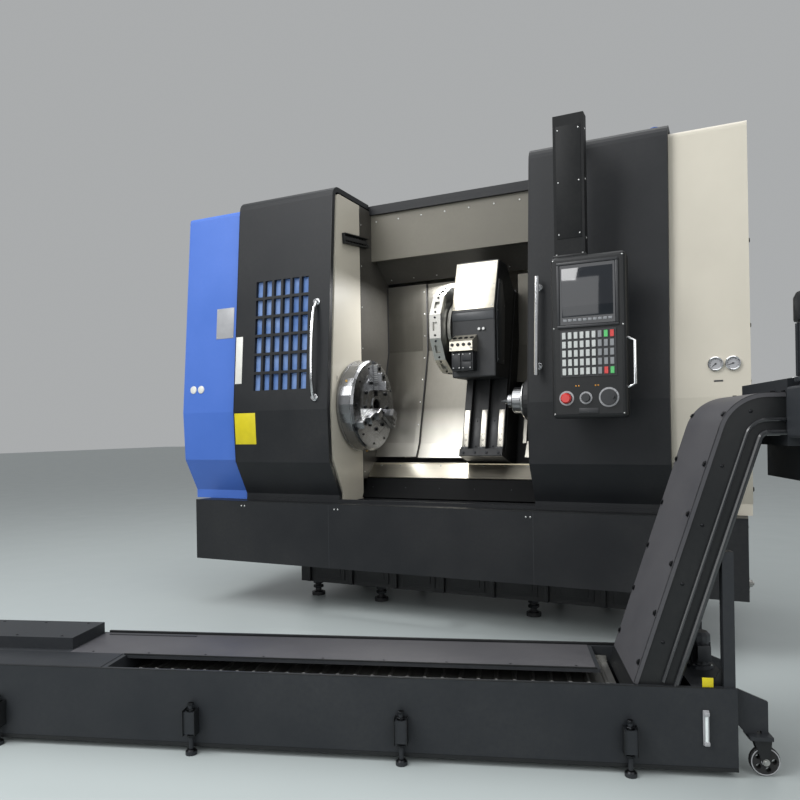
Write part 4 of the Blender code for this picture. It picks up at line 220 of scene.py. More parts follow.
def left_wall_seams_and_slot_shade(made):
    """Dark seams of the two panels in the left end wall, and their air slots drawn as dark stripes of painted
    shade, as far as its flat outside reaches.
    """
    x, y, z = made.axes()
    marks = 0
    for middle_y, middle_z, half_y, half_z, slot_z in (
        (0.62, 1.55, 0.26, 0.575, 0.22), (0.52, 0.83, 0.30, 0.11, 0.0)
    ):
        middle = MACHINE @ Vector((0, middle_y, middle_z))
        across, up = (y - middle.y).size(), z - middle.z
        height = up.size()
        edge = (across < half_y) * (height < half_z) - (across < half_y - 0.004) * (height < half_z - 0.004)
        # The air slots are dark stripes in the colour: painted shade of the openings
        rows = up.repeat(0.036) < 0.007
        slots = rows * (across < half_y - 0.09) * (up > half_z - slot_z) * (up < half_z - 0.05)
        marks = edge + slots + marks
    return (marks * (x < (MACHINE @ Vector((-1.745, 0, 0))).x)).clipped()


def brushed(name, code, roughness, along, smear=0.3, smear_code="d8d5cc", foot_highlight_code=None):
    """Sheet steel with fine brush lines and dried smears of coolant, and a lighter foot that is a painted
    highlight for the bright reflection there.
    """
    colour = hex_colour(code)
    made = Finish(name, colour, roughness, 1.0)
    lines = made.noise(26.0, 4.0, 0.7, stretch=along)
    smears = made.ramp(made.noise(2.2, 5.0, 0.62), (0.42, 0.0), (0.72, 1.0))
    streaks = made.noise(9.0, 3.0, 0.6, stretch=(1.0, 1.0, 0.12))
    stain = (smears * streaks * smear * 2.0).clipped()
    look = made.blend(
        stain, made.blend(lines, shade(colour, 0.82), shade(colour, 1.15)), hex_colour(smear_code)
    )
    if foot_highlight_code:
        # Lighter below 1.26 m high: a painted highlight for the bright reflection along the foot of the sheet
        foot = ((1.26 - made.axes()[2]) * 4.0).clipped()
        look = made.blend(foot, look, hex_colour(foot_highlight_code))
    made.set("Base Color", look)
    made.set("Roughness", (roughness - 0.06 + lines * 0.12 + stain * 0.35).clipped())
    made.set("Metallic", (1.0 - stain * 0.6).clipped())
    made.bump(lines, 0.12, 0.0003)
    return made.material


def turned_metal(name, code, roughness, centre):
    """Turned steel: fine rings round an axis that runs along X."""
    colour = hex_colour(code)
    made = Finish(name, colour, roughness, 1.0)
    middle = made.node("ShaderNodeVectorMath", {0: made.place, 1: centre}, operation="SUBTRACT")
    flat = made.node(
        "ShaderNodeVectorMath", {0: Value(made, middle.outputs[0]), 1: (0, 1, 1)}, operation="MULTIPLY"
    )
    reach = made.node("ShaderNodeVectorMath", {0: Value(made, flat.outputs[0])}, operation="LENGTH")
    rings = (Value(made, reach.outputs["Value"]) * 700.0).sine() * 0.5 + 0.5
    cloud = made.noise(5.0, 4.0)
    made.set("Base Color", made.blend(cloud, shade(colour, 0.8), shade(colour, 1.15)))
    made.set("Roughness", (roughness - 0.05 + cloud * 0.14 + rings * 0.03).clipped())
    made.bump(rings, 0.15, 0.0003)
    return made.material


def cast_paint(name, code, roughness=0.55):
    """Thick paint over a sand casting."""
    colour = hex_colour(code)
    made = Finish(name, colour, roughness)
    lumps = made.noise(38.0, 5.0, 0.6)
    soot = made.noise(3.0, 4.0)
    made.set("Base Color", made.blend(soot, shade(colour, 0.75), shade(colour, 1.35)))
    made.set("Roughness", (roughness - 0.1 + lumps * 0.25).clipped())
    made.bump(lumps, 0.35, 0.0015)
    return made.material


def plastic(name, code, roughness, grain=0.2, coat=0.0):
    colour = hex_colour(code)
    made = Finish(name, colour, roughness, Coat_Weight=coat)
    spots = made.noise(24.0, 3.0)
    made.set("Base Color", made.blend(spots, shade(colour, 0.88), shade(colour, 1.12)))
    made.set("Roughness", (roughness - 0.05 + spots * 0.1).clipped())
    made.bump(made.noise(900.0, 1.0), grain, 0.0002)
    return made.material


def polished(name, code, roughness):
    colour = hex_colour(code)
    made = Finish(name, colour, roughness, 1.0)
    wear = made.noise(30.0, 4.0)
    made.set("Base Color", made.blend(wear, shade(colour, 0.92), shade(colour, 1.06)))
    made.set("Roughness", (roughness + wear * 0.1).clipped())
    made.bump(made.noise(300.0, 2.0), 0.04, 0.0002)
    return made.material


def window_glass():
    """Laminated glass, tinted blue, with the soft smears that coolant leaves."""
    colour = hex_colour("5f86c8")
    made = Finish("window_glass", colour, 0.12, 0.0, Specular_IOR_Level=0.6)
    smears = made.ramp(made.noise(6.0, 4.0), (0.3, 0.0), (0.8, 1.0))
    made.set("Base Color", made.blend(smears, colour, hex_colour("8fa9d6")))
    made.set("Roughness", (smears * 0.25 + 0.08).clipped())
    made.set("Alpha", (smears * 0.25 + 0.6).clipped())
    made.bump(smears, 0.05, 0.001)
    return made.material


BLACK = painted("black_paint", "1b1d20", 0.5, grain=0.3, dust=0.04, shine=0.25)
BLACK_SATIN = painted("black_satin_paint", "16181a", 0.4, grain=0.15, dust=0.03, shine=0.3)
GLOSS_BLACK = painted("gloss_black_paint", "1d1f22", 0.16, grain=0.05, dust=0.03, coat=0.6)
BLUE = painted("blue_paint", "4268b8", 0.42, grain=0.2, dust=0.05, shine=0.35, marks=left_wall_seams_and_slot_shade)
WHITE = painted("white_paint", "bab5a8", 0.42, grain=0.2, dust=0.05, shine=0.4)
BEIGE = painted("beige_paint", "67645b", 0.5, grain=0.2, dust=0.08, shine=0.3)
# A dark copy of the headstock wall's pale paint: painted shade for the deep wall that lies in shadow
SHADED_WALL_PAINT = painted("wall_paint_in_shade", "383632", 0.45, grain=0.2, dust=0.15, shine=0.35)
CEILING_PAINT = painted("ceiling_paint", "3d3b37", 0.5, grain=0.2, dust=0.1, shine=0.3)
TANK_PAINT = painted("tank_paint", "23262a", 0.5, grain=0.3, dust=0.05, shine=0.25)
# A darker copy of the black paint for the hanger, whose front faces the key light: painted shade
SHADED_HANGER_PAINT = painted("hanger_paint_in_shade", "101214", 0.5, grain=0.2, dust=0.03, shine=0.15)
# A darker copy of the black paint for the apron under the chip slide: painted shade against the light that
# falls on it
SHADED_APRON_PAINT = painted("apron_paint_in_shade", "0c0d0e", 0.6, grain=0.2, dust=0.0, shine=0.08)
GREY_TOP = painted("grey_paint", "434347", 0.5, grain=0.2, dust=0.1, shine=0.3)
SHEET = brushed(
    "grey_sheet", "5e5c56", 0.42, (1.0, 1.0, 0.03), smear=0.2, smear_code="8f8c84", foot_highlight_code="c6c3ba"
)
BRIGHT = brushed("bright_sheet", "e6e0cf", 0.3, (0.03, 1.0, 1.0), smear=0.1)
GALVANISED = brushed("zinc_plated", "a9a9a6", 0.35, (1.0, 0.1, 1.0), smear=0.1)
CASTING = cast_paint("casting_paint", "1b1c1e")
HOUSING = cast_paint("housing_paint", "1b1d20", 0.45)
HOUSING_PALE = painted("housing_cover_paint", "34373b", 0.35, grain=0.2, dust=0.1)
BROW = brushed("brow_steel", "d2ccbd", 0.3, (0.03, 1.0, 1.0), smear=0.2)
WAY_STEEL = brushed("way_steel", "b8b4aa", 0.3, (1.0, 0.03, 0.03), smear=0.3)
MOTOR = cast_paint("motor_paint", "2d3034", 0.45)
CHROME = polished("chrome", "dfe0e2", 0.1)
RUBBER = plastic("black_rubber", "1b1b1c", 0.75, grain=0.5)
DARK_PLASTIC = plastic("dark_plastic", "222427", 0.45)
PALE_PLASTIC = plastic("pale_plastic", "b6bab8", 0.45)
RED_PLASTIC = plastic("red_plastic", "c0201c", 0.3, coat=0.4)
YELLOW_PLATE = plastic("yellow_plate", "c9ba12", 0.4)
WHITE_PLATE = plastic("white_plate", "d2d2cc", 0.4)
GREY_PLATE = plastic("grey_plate", "9b9c9f", 0.35)
SCREEN = plastic("screen_glass", "10151c", 0.08, grain=0.02, coat=0.6)
KEY_GREY = plastic("grey_keys", "7c7f82", 0.45)
GREEN_LAMP = plastic("green_lamp", "3fae5a", 0.3, coat=0.4)
AMBER_LAMP = plastic("amber_lamp", "d8931f", 0.3, coat=0.4)
SIGHT_GLASS = plastic("sight_glass", "dfe6e6", 0.15, coat=0.5)
STEEL = polished("bright_steel", "b9bab9", 0.24)
BLACK_STEEL = polished("black_oxide", "2c2d2f", 0.3)
BRASS = polished("brass", "b08d4a", 0.25)
GLASS = window_glass()

LAMP = Finish(
    "lamp_tube", (0.9, 0.95, 1.0), 0.3, Emission_Color=(0.9, 0.95, 1.0, 1.0), Emission_Strength=1.5
).material


def middle_of(node):
    low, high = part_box(node)
    return tuple((low + high) / 2)


CHUCK_STEEL = turned_metal("chuck_steel", "8f9092", 0.24, middle_of("chuck_body"))
DISC_STEEL = turned_metal("disc_steel", "b4b3ae", 0.3, middle_of("turret_disc"))

NODE_FINISHES = {
    BLACK: "front_tray left_door right_door top_rail pendant_rail",
    BLACK_SATIN: "conveyor_incline pendant_housing caster_fork_front caster_fork_rear",
    SHADED_APRON_PAINT: "chip_apron",
    SHADED_HANGER_PAINT: "pendant_hanger",
    TANK_PAINT: "conveyor_tank discharge_head",
    CEILING_PAINT: "work_ceiling",
    BLUE: "left_end_cover",
    WHITE: "right_end_cover left_cheek rear_cover cabinet_shell cabinet_door",
    BEIGE: "roof_lintel",
    SHADED_WALL_PAINT: "headstock_wall",
    SHEET: "left_fixed_cover right_fixed_cover left_saddle_cover right_saddle_cover tailstock_chip_slide",
    BRIGHT: "chip_slide coolant_manifold",
    GALVANISED: "cabinet_panel hinged_belt",
    CASTING: "bed_casting headstock saddle tailstock_body",
    HOUSING: "turret_housing",
    MOTOR: "spindle_motor conveyor_motor coolant_pump",
    CHUCK_STEEL: (
        "spindle chuck_body chuck_jaw_1 chuck_jaw_2 chuck_jaw_3 "
        "motor_pulley tailstock_quill live_centre"
    ),
    DISC_STEEL: "turret_disc",
    CHROME: "left_door_handle right_door_handle",
    GLASS: "left_door_glass",
    RUBBER: "drive_belt caster_wheel_front caster_wheel_rear",
    DARK_PLASTIC: "override_knob handwheel pendant_keypad",
    SCREEN: "pendant_screen",
    RED_PLASTIC: "emergency_button main_switch",
}


# The slot name that goes with each finish
SLOT_OF = {
    BLACK_SATIN: "black_paint",
    BLACK: "black_paint",
    SHADED_HANGER_PAINT: "black_paint",
    GREY_TOP: "black_paint",
    GLOSS_BLACK: "black_paint",
    TANK_PAINT: "black_paint",
    BLACK_STEEL: "turned_steel",
    STEEL: "turned_steel",
    CHUCK_STEEL: "turned_steel",
    BRASS: "turned_steel",
    DISC_STEEL: "turned_steel",
    WAY_STEEL: "turned_steel",
    RUBBER: "belt_rubber",
    CHROME: "chrome",
    BLUE: "blue_paint",
    GREY_PLATE: "key_plastic",
    WHITE_PLATE: "key_plastic",
    YELLOW_PLATE: "key_plastic",
    KEY_GREY: "key_plastic",
    PALE_PLASTIC: "key_plastic",
    GREEN_LAMP: "key_plastic",
    AMBER_LAMP: "key_plastic",
    DARK_PLASTIC: "dark_plastic",
    WHITE: "white_paint",
    BROW: "bright_sheet",
    BRIGHT: "bright_sheet",
    HOUSING_PALE: "housing_paint",
    HOUSING: "housing_paint",
    MOTOR: "housing_paint",
    SHEET: "grey_sheet",
    GALVANISED: "grey_sheet",
    LAMP: "window_glass",
    SIGHT_GLASS: "window_glass",
    CASTING: "casting",
    SCREEN: "screen_glass",
    RED_PLASTIC: "stop_red",
}


def dress_nodes():
    for finish, names in NODE_FINISHES.items():
        for name in names.split():
            slots = NODES[name].data.materials
            slots.clear()
            slots.append(finish)


# These turn Z towards the axis of a rod or a spun form
AXIS_TURN = {"X": Matrix.Rotation(pi / 2, 4, "Y"), "Y": Matrix.Rotation(-pi / 2, 4, "X"), "Z": FLAT}


def on_cap(edge):
    """Whether an edge borders a rod's end, the only face with more than four corners."""
    return any(len(face.verts) > 4 for face in edge.link_faces)


class Shape:
    """A mesh in the making, with forms placed by a matrix that every call starts from."""

    def __init__(self, place=FLAT):
        self.mesh = bmesh.new()
        self.place = place

    def _bevel(self, verts, width, segments, keep=None):
        edges = {edge for vert in verts for edge in vert.link_edges}
        if keep:
            edges = {edge for edge in edges if keep(edge)}
        bmesh.ops.bevel(
            self.mesh,
            geom=list(edges),
            offset=width,
            segments=segments,
            profile=0.5,
            affect="EDGES",
            material=-1,
            clamp_overlap=True,
        )

    def box(self, low, high, bevel=0.0, segments=2, place=FLAT):
        low, high = Vector(low), Vector(high)
        size = high - low
        scale = Matrix.Diagonal((*size, 1))
        matrix = self.place @ place @ Matrix.Translation((low + high) / 2) @ scale
        made = bmesh.ops.create_cube(self.mesh, size=1, matrix=matrix)["verts"]
        if bevel:
            self._bevel(made, bevel, segments)
        return self

    def rod(self, centre, axis, low, high, radius, sides=24, bevel=0.0, segments=2, place=FLAT):
        """A round bar from low to high along X, Y or Z."""
        lift = Matrix.Translation((0, 0, (low + high) / 2))
        made = bmesh.ops.create_cone(
            self.mesh,
            cap_ends=True,
            segments=sides,
            radius1=radius,
            radius2=radius,
            depth=high - low,
            matrix=self.place @ place @ Matrix.Translation(centre) @ AXIS_TURN[axis] @ lift,
        )["verts"]
        if bevel:
            self._bevel(made, bevel, segments, keep=on_cap)
        return self

    def spun(self, profile, centre, axis, steps=32, place=FLAT):
        """A profile of (radius, height) turned a full round about X, Y or Z."""
        matrix = self.place @ place @ Matrix.Translation(centre) @ AXIS_TURN[axis]
        verts = [self.mesh.verts.new((radius, 0, height)) for radius, height in profile]
        edges = [self.mesh.edges.new(pair) for pair in zip(verts, verts[1:])]
        bmesh.ops.spin(
            self.mesh, geom=verts + edges, cent=(0, 0, 0), axis=(0, 0, 1), angle=tau, steps=steps,
            use_merge=True
        )
        fresh = {vert for vert in self.mesh.verts if vert.is_valid and vert in verts}
        grown = set(fresh)
        stack = list(fresh)
        while stack:
            for edge in stack.pop().link_edges:
                for vert in edge.verts:
                    if vert not in grown:
                        grown.add(vert)
                        stack.append(vert)
        bmesh.ops.remove_doubles(self.mesh, verts=list(grown), dist=1e-6)
        left = [vert for vert in grown if vert.is_valid]
        bmesh.ops.transform(self.mesh, matrix=matrix, verts=left)
        return self

    def outline(self, points, low, high, bevel=0.0, place=FLAT):
        """A flat outline in X and Y, drawn up from low to high along Z."""
        verts = [self.mesh.verts.new((x, y, low)) for x, y in points]
        face = self.mesh.faces.new(verts)
        grown = bmesh.ops.extrude_face_region(self.mesh, geom=[face])["geom"]
        tops = [item for item in grown if isinstance(item, bmesh.types.BMVert)]
        bmesh.ops.translate(self.mesh, verts=tops, vec=(0, 0, high - low))
        bmesh.ops.transform(self.mesh, matrix=self.place @ place, verts=verts + tops)
        if bevel:
            self._bevel(verts + tops, bevel, 2)
        return self

    def cap_screw(self, centre, radius, height, place=FLAT, sides=12):
        """A socket cap screw's head, standing up along Z."""
        self.spun(
            [
                (0, height * 0.45),
                (radius * 0.5, height * 0.45),
                (radius * 0.5, height),
                (radius * 0.86, height),
                (radius, height * 0.86),
                (radius, 0),
            ],
            centre,
            "Z",
            steps=sides,
            place=place,
        )
        return self

    def button(self, centre, radius, height, place=FLAT, sides=16):
        """A domed head, standing up along Z."""
        steps = 4
        dome = [
            (radius * sin(pi / 2 * i / steps), height * cos(pi / 2 * i / steps)) for i in range(steps + 1)
        ]
        self.spun(dome, centre, "Z", steps=sides, place=place)
        return self

    def hexagon(self, centre, radius, height, place=FLAT):
        self.rod(centre, "Z", 0, height, radius, sides=6, bevel=radius * 0.08, segments=1, place=place)
        return self

    def tube(self, points, radius, sides=10, place=FLAT):
        """A round bar along a run of points."""
        steps = [Vector(point) for point in points]
        rings = []
        for i, here in enumerate(steps):
            ahead = (steps[min(i + 1, len(steps) - 1)] - steps[max(i - 1, 0)]).normalized()
            turn = ahead.to_track_quat("Z", "Y").to_matrix().to_4x4()
            matrix = self.place @ place @ Matrix.Translation(here) @ turn
            ends = i in (0, len(steps) - 1)
            made = bmesh.ops.create_circle(
                self.mesh, cap_ends=ends, segments=sides, radius=radius, matrix=matrix
            )
            rings.append([edge for edge in {edge for vert in made["verts"] for edge in vert.link_edges}])
        for first, second in zip(rings, rings[1:]):
            bmesh.ops.bridge_loops(self.mesh, edges=first + second)
        return self

    def done(self, name, finish, body="frame", slot_name=None):
        """Makes the object, which rides on a body."""
        bmesh.ops.recalc_face_normals(self.mesh, faces=self.mesh.faces)
        data = bpy.data.meshes.new(name)
        self.mesh.to_mesh(data)
        self.mesh.free()
        data.materials.append(finish)
        obj = bpy.data.objects.new(name, data)
        bpy.context.scene.collection.objects.link(obj)
        data.shade_smooth()
        data.set_sharp_from_angle(angle=radians(32))
        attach(obj, body)
        slot_name = slot_name or SLOT_OF[finish]
        return obj


ALONG_X = Matrix(((0, 0, 1, 0), (1, 0, 0, 0), (0, 1, 0, 0), (0, 0, 0, 1)))
ALONG_Y = Matrix(((1, 0, 0, 0), (0, 0, -1, 0), (0, 1, 0, 0), (0, 0, 0, 1)))
FRONT, BACK, LEFT, RIGHT, TOP = (0, -1, 0), (0, 1, 0), (-1, 0, 0), (1, 0, 0), (0, 0, 1)


def facing(point, normal, up=None, base=MACHINE):
    """A place on a surface: X to the right as seen from outside, Y up, Z out of the surface."""
    out = Vector(normal).normalized()
    right = Vector(up or ((0, 1, 0) if abs(out.z) > 0.9 else TOP)).cross(out).normalized()
    top = out.cross(right)
    turn = Matrix((right, top, out)).transposed().to_4x4()
    return base @ Matrix.Translation(point) @ turn


def shifted(line, distance):
    """A line of flat points moved to its right."""
    points = [Vector(point) for point in line]
    sides = [Vector((b.y - a.y, a.x - b.x)).normalized() for a, b in zip(points, points[1:])]
    sides = [sides[0], *sides, sides[-1]]
    return [tuple(p + (m + n) * distance / (1 + m.dot(n))) for p, m, n in zip(points, sides, sides[1:])]


def ribbon(shape, line, low, high, near, far, place=ALONG_X):
    """A strip that follows a line, between two distances from it, drawn across from near to far."""
    return shape.outline(shifted(line, low) + shifted(line, high)[::-1], near, far, place=place)


def spread(start, end, count):
    step = (end - start) / max(count - 1, 1)
    return [start + step * i for i in range(count)]


CREST_Z, CREST_Y, KNEE_Z, KNEE_Y = 2.612, 0.09, 1.25, -0.015
LEAN = (CREST_Y - KNEE_Y) / (CREST_Z - KNEE_Z)
COVER_SET = 0.042
COVER_TOP = CREST_Z - COVER_SET
LEFT_DOOR_X = (-1.30, -0.605)
RIGHT_DOOR_X = (0.605, 1.30)
SLANT = radians(75)
WAY_LINE = [(0.585, 0.94), (0.634, 1.03), (0.80, 1.65), (0.80, 2.103)]


def door_y(z, behind=0.0):
    """Y of the doors' outer face at a height, or of what lies so far behind it."""
    if z > KNEE_Z:
        return KNEE_Y + (z - KNEE_Z) * LEAN + behind
    if z > 0.93:
        return (z - 0.93) * KNEE_Y / (KNEE_Z - 0.93) + behind
    return 0.11 * (0.93 - z) / 0.205 + behind


def on_door(x, z, behind=0.0):
    return facing((x, door_y(z, behind), z), (0, -1, LEAN))


def on_slant(along, behind):
    """A place on the slanted bed, level with the spindle's axis at no distance along or behind."""
    y = SPINDLE_Y + along * cos(SLANT) + behind * sin(SLANT)
    z = SPINDLE_Z + along * sin(SLANT) - behind * cos(SLANT)
    return facing((0, y, z), (0, -sin(SLANT), cos(SLANT)))


def studio():
    """Pale floor, soft lights and the camera."""
    shape = bmesh.new()
    bmesh.ops.create_grid(shape, x_segments=1, y_segments=1, size=40)
    data = bpy.data.meshes.new("floor")
    shape.to_mesh(data)
    shape.free()
    floor = bpy.data.objects.new("floor", data)
    bpy.context.scene.collection.objects.link(floor)
    pale = Finish("pale_floor", hex_colour("aab2b2"), 0.4)
    pale.set("Roughness", pale.noise(3.0, 3.0) * 0.15 + 0.32)
    data.materials.append(pale.material)
    floor.location.z = -0.0005

    world = bpy.data.worlds.new("studio")
    world.use_nodes = True
    sky = world.node_tree.nodes["Background"]
    sky.inputs["Color"].default_value = (0.80, 0.82, 0.83, 1)
    sky.inputs["Strength"].default_value = 0.5
    bpy.context.scene.world = world

    for name, place, aim, size, power in (
        ("key", (-2.6, -4.6, 5.8), (0, 0.3, 1.2), 3.6, 330),
        ("fill", (5.0, -5.0, 3.6), (0.4, 0.0, 1.2), 4.0, 120),
        ("roof", (0.0, 0.4, 6.0), (0, 0.2, 0), 6.0, 220),
        ("low", (-0.5, -4.6, 2.2), (0.0, 0.5, 1.3), 3.0, 40),
        ("work_light", (-0.15, 0.63, 2.10), (-0.1, 0.55, 0.9), 0.3, 11),
    ):
        light = bpy.data.lights.new(name, "AREA")
        light.energy = power
        light.size = size
        lamp = bpy.data.objects.new(name, light)
        bpy.context.scene.collection.objects.link(lamp)
        start, end = MACHINE @ Vector(place), MACHINE @ Vector(aim)
        turn = (end - start).to_track_quat("-Z", "Y").to_matrix().to_4x4()
        lamp.matrix_world = Matrix.Translation(start) @ turn

    camera = bpy.data.cameras.new("camera")
    camera.lens = 32.04
    camera.sensor_width = 36
    camera.shift_y = 0.036
    camera.clip_start = 0.05
    view = bpy.data.objects.new("camera", camera)
    bpy.context.scene.collection.objects.link(view)
    heading, roll = Matrix.Rotation(radians(25.48), 4, "Z"), Matrix.Rotation(-0.0165, 4, "Z")
    turn = heading @ Matrix.Rotation(pi / 2, 4, "X") @ roll
    view.matrix_world = MACHINE @ Matrix.Translation((1.597, -3.640, 1.124)) @ turn
    bpy.context.scene.camera = view
    bpy.context.scene.view_settings.view_transform = "Standard"


def door_line():
    """The doors' outer face in (Y, Z) from the foot to just under the crest."""
    return [(door_y(z), z) for z in (0.705, 0.725, 0.93, KNEE_Z, 2.52)]


def door_details():
    """Folded edges, back stiffeners, crest screws and foot guides of both doors."""
    for side, (left, right) in (("left", LEFT_DOOR_X), ("right", RIGHT_DOOR_X)):
        edges = Shape(MACHINE)
        for near, far in ((left, left + 0.004), (right - 0.004, right)):
            ribbon(edges, door_line()[2:], -0.0015, 0.004, near, far)
        edges.done(f"{side}_door_edges", BLACK_SATIN, f"{side}_door")

        stiff = Shape(MACHINE)
        for near, far in ((left + 0.012, left + 0.052), (right - 0.052, right - 0.012)):
            ribbon(stiff, door_line()[2:], 0.0302, 0.0392, near, far)
        stiff.done(f"{side}_door_stiffeners", BLACK, f"{side}_door")

        screws = Shape(MACHINE)
        for x in spread(left + 0.06, right - 0.06, 5):
            screws.button((x, 0.50, CREST_Z), 0.008, 0.004)
            screws.button((x, 0.16, CREST_Z), 0.008, 0.004)
        screws.done(f"{side}_door_cap_screws", BLACK_STEEL, f"{side}_door")

        guides = Shape(MACHINE)
        foot_line = [(door_y(z), z) for z in (0.706, 0.725, 0.79)]
        for x in (left + 0.10, right - 0.10):
            ribbon(guides, foot_line, 0.0302, 0.036, x - 0.03, x + 0.03)
            for dx in (-0.018, 0.018):
                spot = facing((x + dx, door_y(0.765, 0.0412), 0.765), (0, 0.205, 0.11), base=FLAT)
                guides.button((0, 0, 0), 0.006, 0.0025, spot, 12)
        guides.done(f"{side}_door_guides", STEEL, f"{side}_door")


def window_details():
    """The seal and clamps round the glass on the left door's inner side."""
    left, right, low, high = -1.149, -0.76, 1.377, 2.067
    seal, clamps = Shape(), Shape()
    for x0, x1, z0, z1 in (
        (left - 0.03, left - 0.012, low - 0.03, high + 0.03),
        (right + 0.012, right + 0.03, low - 0.03, high + 0.03),
        (left - 0.012, right + 0.012, low - 0.03, low - 0.012),
        (left - 0.012, right + 0.012, high + 0.012, high + 0.03),
    ):
        place = on_door(0, (z0 + z1) / 2, 0.0302)
        half = (z1 - z0) / 2 * 1.003
        seal.box((x0, -half, -0.006), (x1, half, 0), bevel=0.0015, place=place)
    for x in (left - 0.021, right + 0.021):
        for z in spread(low + 0.06, high - 0.06, 6):
            clamps.button(
                (0, 0, 0.0058), 0.005, 0.003, place=on_door(x, z, 0.0302) @ Matrix.Rotation(pi, 4, "Y")
            )
    seal.done("window_seal", RUBBER, "left_door")
    clamps.done("window_clamps", STEEL, "left_door")


def door_handles():
    """Round seats and screws where both handles meet their doors."""
    seats, screws = Shape(), Shape()
    for z in (1.32, 1.90):
        place = on_door(-0.696, z)
        seats.spun(
            [(0.0105, 0.0045), (0.019, 0.0045), (0.021, 0.003), (0.021, CLEAR)], (0, 0, 0), "Z", 28, place
        )
    seats.done("bow_seats", CHROME, "left_door")
    for z in (1.436, 1.848):
        place = on_door(0.665, z)
        screws.spun(
            [(0.0095, 0.004), (0.0165, 0.004), (0.018, 0.0025), (0.018, CLEAR)], (0, 0, 0), "Z", 28, place
        )
    screws.done("bar_seats", CHROME, "right_door")


def crest_fitting():
    """The low blue fitting on the right door's crest, under the height at which the hanger's bar passes."""
    fitting = Shape(MACHINE)
    fitting.rod((1.233, 0.16, 0), "Z", CREST_Z, CREST_Z + 0.0035, 0.022, sides=28, bevel=0.001)
    fitting.hexagon((1.233, 0.16, CREST_Z + 0.0035), 0.013, 0.0032)
    fitting.done("crest_fitting", BLUE, "right_door")


def plates():
    """Blank plates on the blue cover and the left door."""
    plate, rivets = Shape(on_door(-1.422, 1.83, COVER_SET)), Shape(on_door(-1.422, 1.83, COVER_SET))
    plate.box((-0.070, -0.10, LIFT), (0.070, 0.10, 0.002), bevel=0.0008)
    plate.box((-0.045, -0.012, 0.0019), (0.066, -0.006, 0.0026))
    for x in (-0.062, 0.062):
        for y in (-0.09, 0.09):
            rivets.button((x, y, 0.002), 0.004, 0.002, sides=10)
    plate.done("grey_plate", GREY_PLATE, "frame", "grey_sheet")
    rivets.done("grey_plate_rivets", STEEL)
    strip = Shape(on_door(-1.268, 1.575))
    strip.box((-0.026, -0.15, LIFT), (0.026, 0.15, 0.0012), bevel=0.0005)
    strip.done("white_plate", WHITE_PLATE, "left_door")
    yellow = Shape(facing((-1.212, door_y(1.14), 1.14), (0, -1, KNEE_Y / (KNEE_Z - 0.93))))
    yellow.box((-0.080, -0.098, LIFT), (0.080, 0.098, 0.0012), bevel=0.0005)
    yellow.done("yellow_plate", YELLOW_PLATE, "left_door")


def round_caps():
    """The two white caps on the blue cover, and the two gauges on the right cover with a dark piece below
    them, painted shade in a slot.
    """
    caps = Shape()
    for x in (-1.668, -1.604):
        place = on_door(x, 1.403, COVER_SET)
        caps.spun(
            [(0, 0.006), (0.020, 0.006), (0.0245, 0.004), (0.026, LIFT)], (0, 0, 0), "Z", steps=28,
            place=place
        )
    caps.done("round_caps", WHITE_PLATE)
    rims, faces, needles = Shape(), Shape(), Shape()
    for x, angle in ((1.500, 2.3), (1.575, 1.9)):
        place = on_door(x, 1.405, COVER_SET)
        rims.spun(
            [(0.0275, 0.004), (0.0275, 0.013), (0.030, 0.015), (0.0335, 0.013), (0.0345, LIFT)],
            (0, 0, 0),
            "Z",
            steps=36,
            place=place,
        )
        faces.rod((0, 0, 0), "Z", LIFT, 0.005, 0.0278, sides=36, place=place)
        turn = place @ Matrix.Rotation(angle, 4, "Z")
        needles.box((-0.0014, -0.006, 0.0055), (0.0014, 0.020, 0.0065), place=turn)
        needles.rod((0, 0, 0), "Z", 0.005, 0.008, 0.004, sides=14, place=place)
        for i in range(11):
            tick = place @ Matrix.Rotation(radians(-135 + 27 * i), 4, "Z")
            needles.box((-0.0008, 0.020, 0.0048), (0.0008, 0.0252, 0.0056), place=tick)
    rims.done("gauge_rims", CHROME, "frame", "turned_steel")
    faces.done("gauge_faces", GREY_PLATE)
    needles.done("gauge_needles", DARK_PLASTIC)
    # A dark piece on the cover: painted shade for the opening of the slot
    slot = Shape(on_door(1.512, 1.325, COVER_SET))
    slot.box((-0.02, -0.004, -0.001), (0.02, 0.004, 0.0015), bevel=0.001)
    slot.done("cover_slot_shade", DARK_PLASTIC)


def border(shape, half_x, half_y, rim, low, high, bevel, place=FLAT):
    """Four bars round a rectangle."""
    in_x, in_y = half_x - rim, half_y - rim
    for x0, y0, x1, y1 in (
        (-half_x, in_y, half_x, half_y),
        (-half_x, -half_y, half_x, -in_y),
        (-half_x, -in_y, -in_x, in_y),
        (in_x, -in_y, half_x, in_y),
    ):
        shape.box((x0, y0, low), (x1, y1, high), bevel=bevel, place=place)


def louvres(shape, place, left, right, low, rows, pitch=0.032):
    """Rows of pressed air slots, each a wedge that opens downwards."""
    for row in range(rows):
        y = low + row * pitch
        shape.outline([(y, 0), (y + 0.020, 0), (y, 0.009)], left, right, place=place @ ALONG_X)


def service_panel(name, place, width, height, rows=0, latches=1):
    """A screwed or latched access panel with a folded rim, quarter-turn latches and air slots."""
    w, h = width / 2, height / 2
    panel = Shape(place)
    panel.box((-w, -h, LIFT), (w, h, 0.003), bevel=0.0012)
    if rows:
        for left, right in ((-w + 0.05, -0.015), (0.015, w - 0.05)):
            louvres(panel, FLAT, left, right, -h + 0.06, rows)
    panel.done(name, WHITE)
    latch = Shape(place)
    for y in spread(-h + 0.07, h - 0.07, latches + 1):
        for x in (-w + 0.022, w - 0.022):
            latch.spun([(0, 0.008), (0.010, 0.008), (0.012, 0.006), (0.012, 0.003)], (x, y, 0), "Z", 18)
            latch.box((x - 0.0012, y - 0.008, 0.0078), (x + 0.0012, y + 0.008, 0.0092))
    latch.done(f"{name}_latches", BLACK_STEEL)


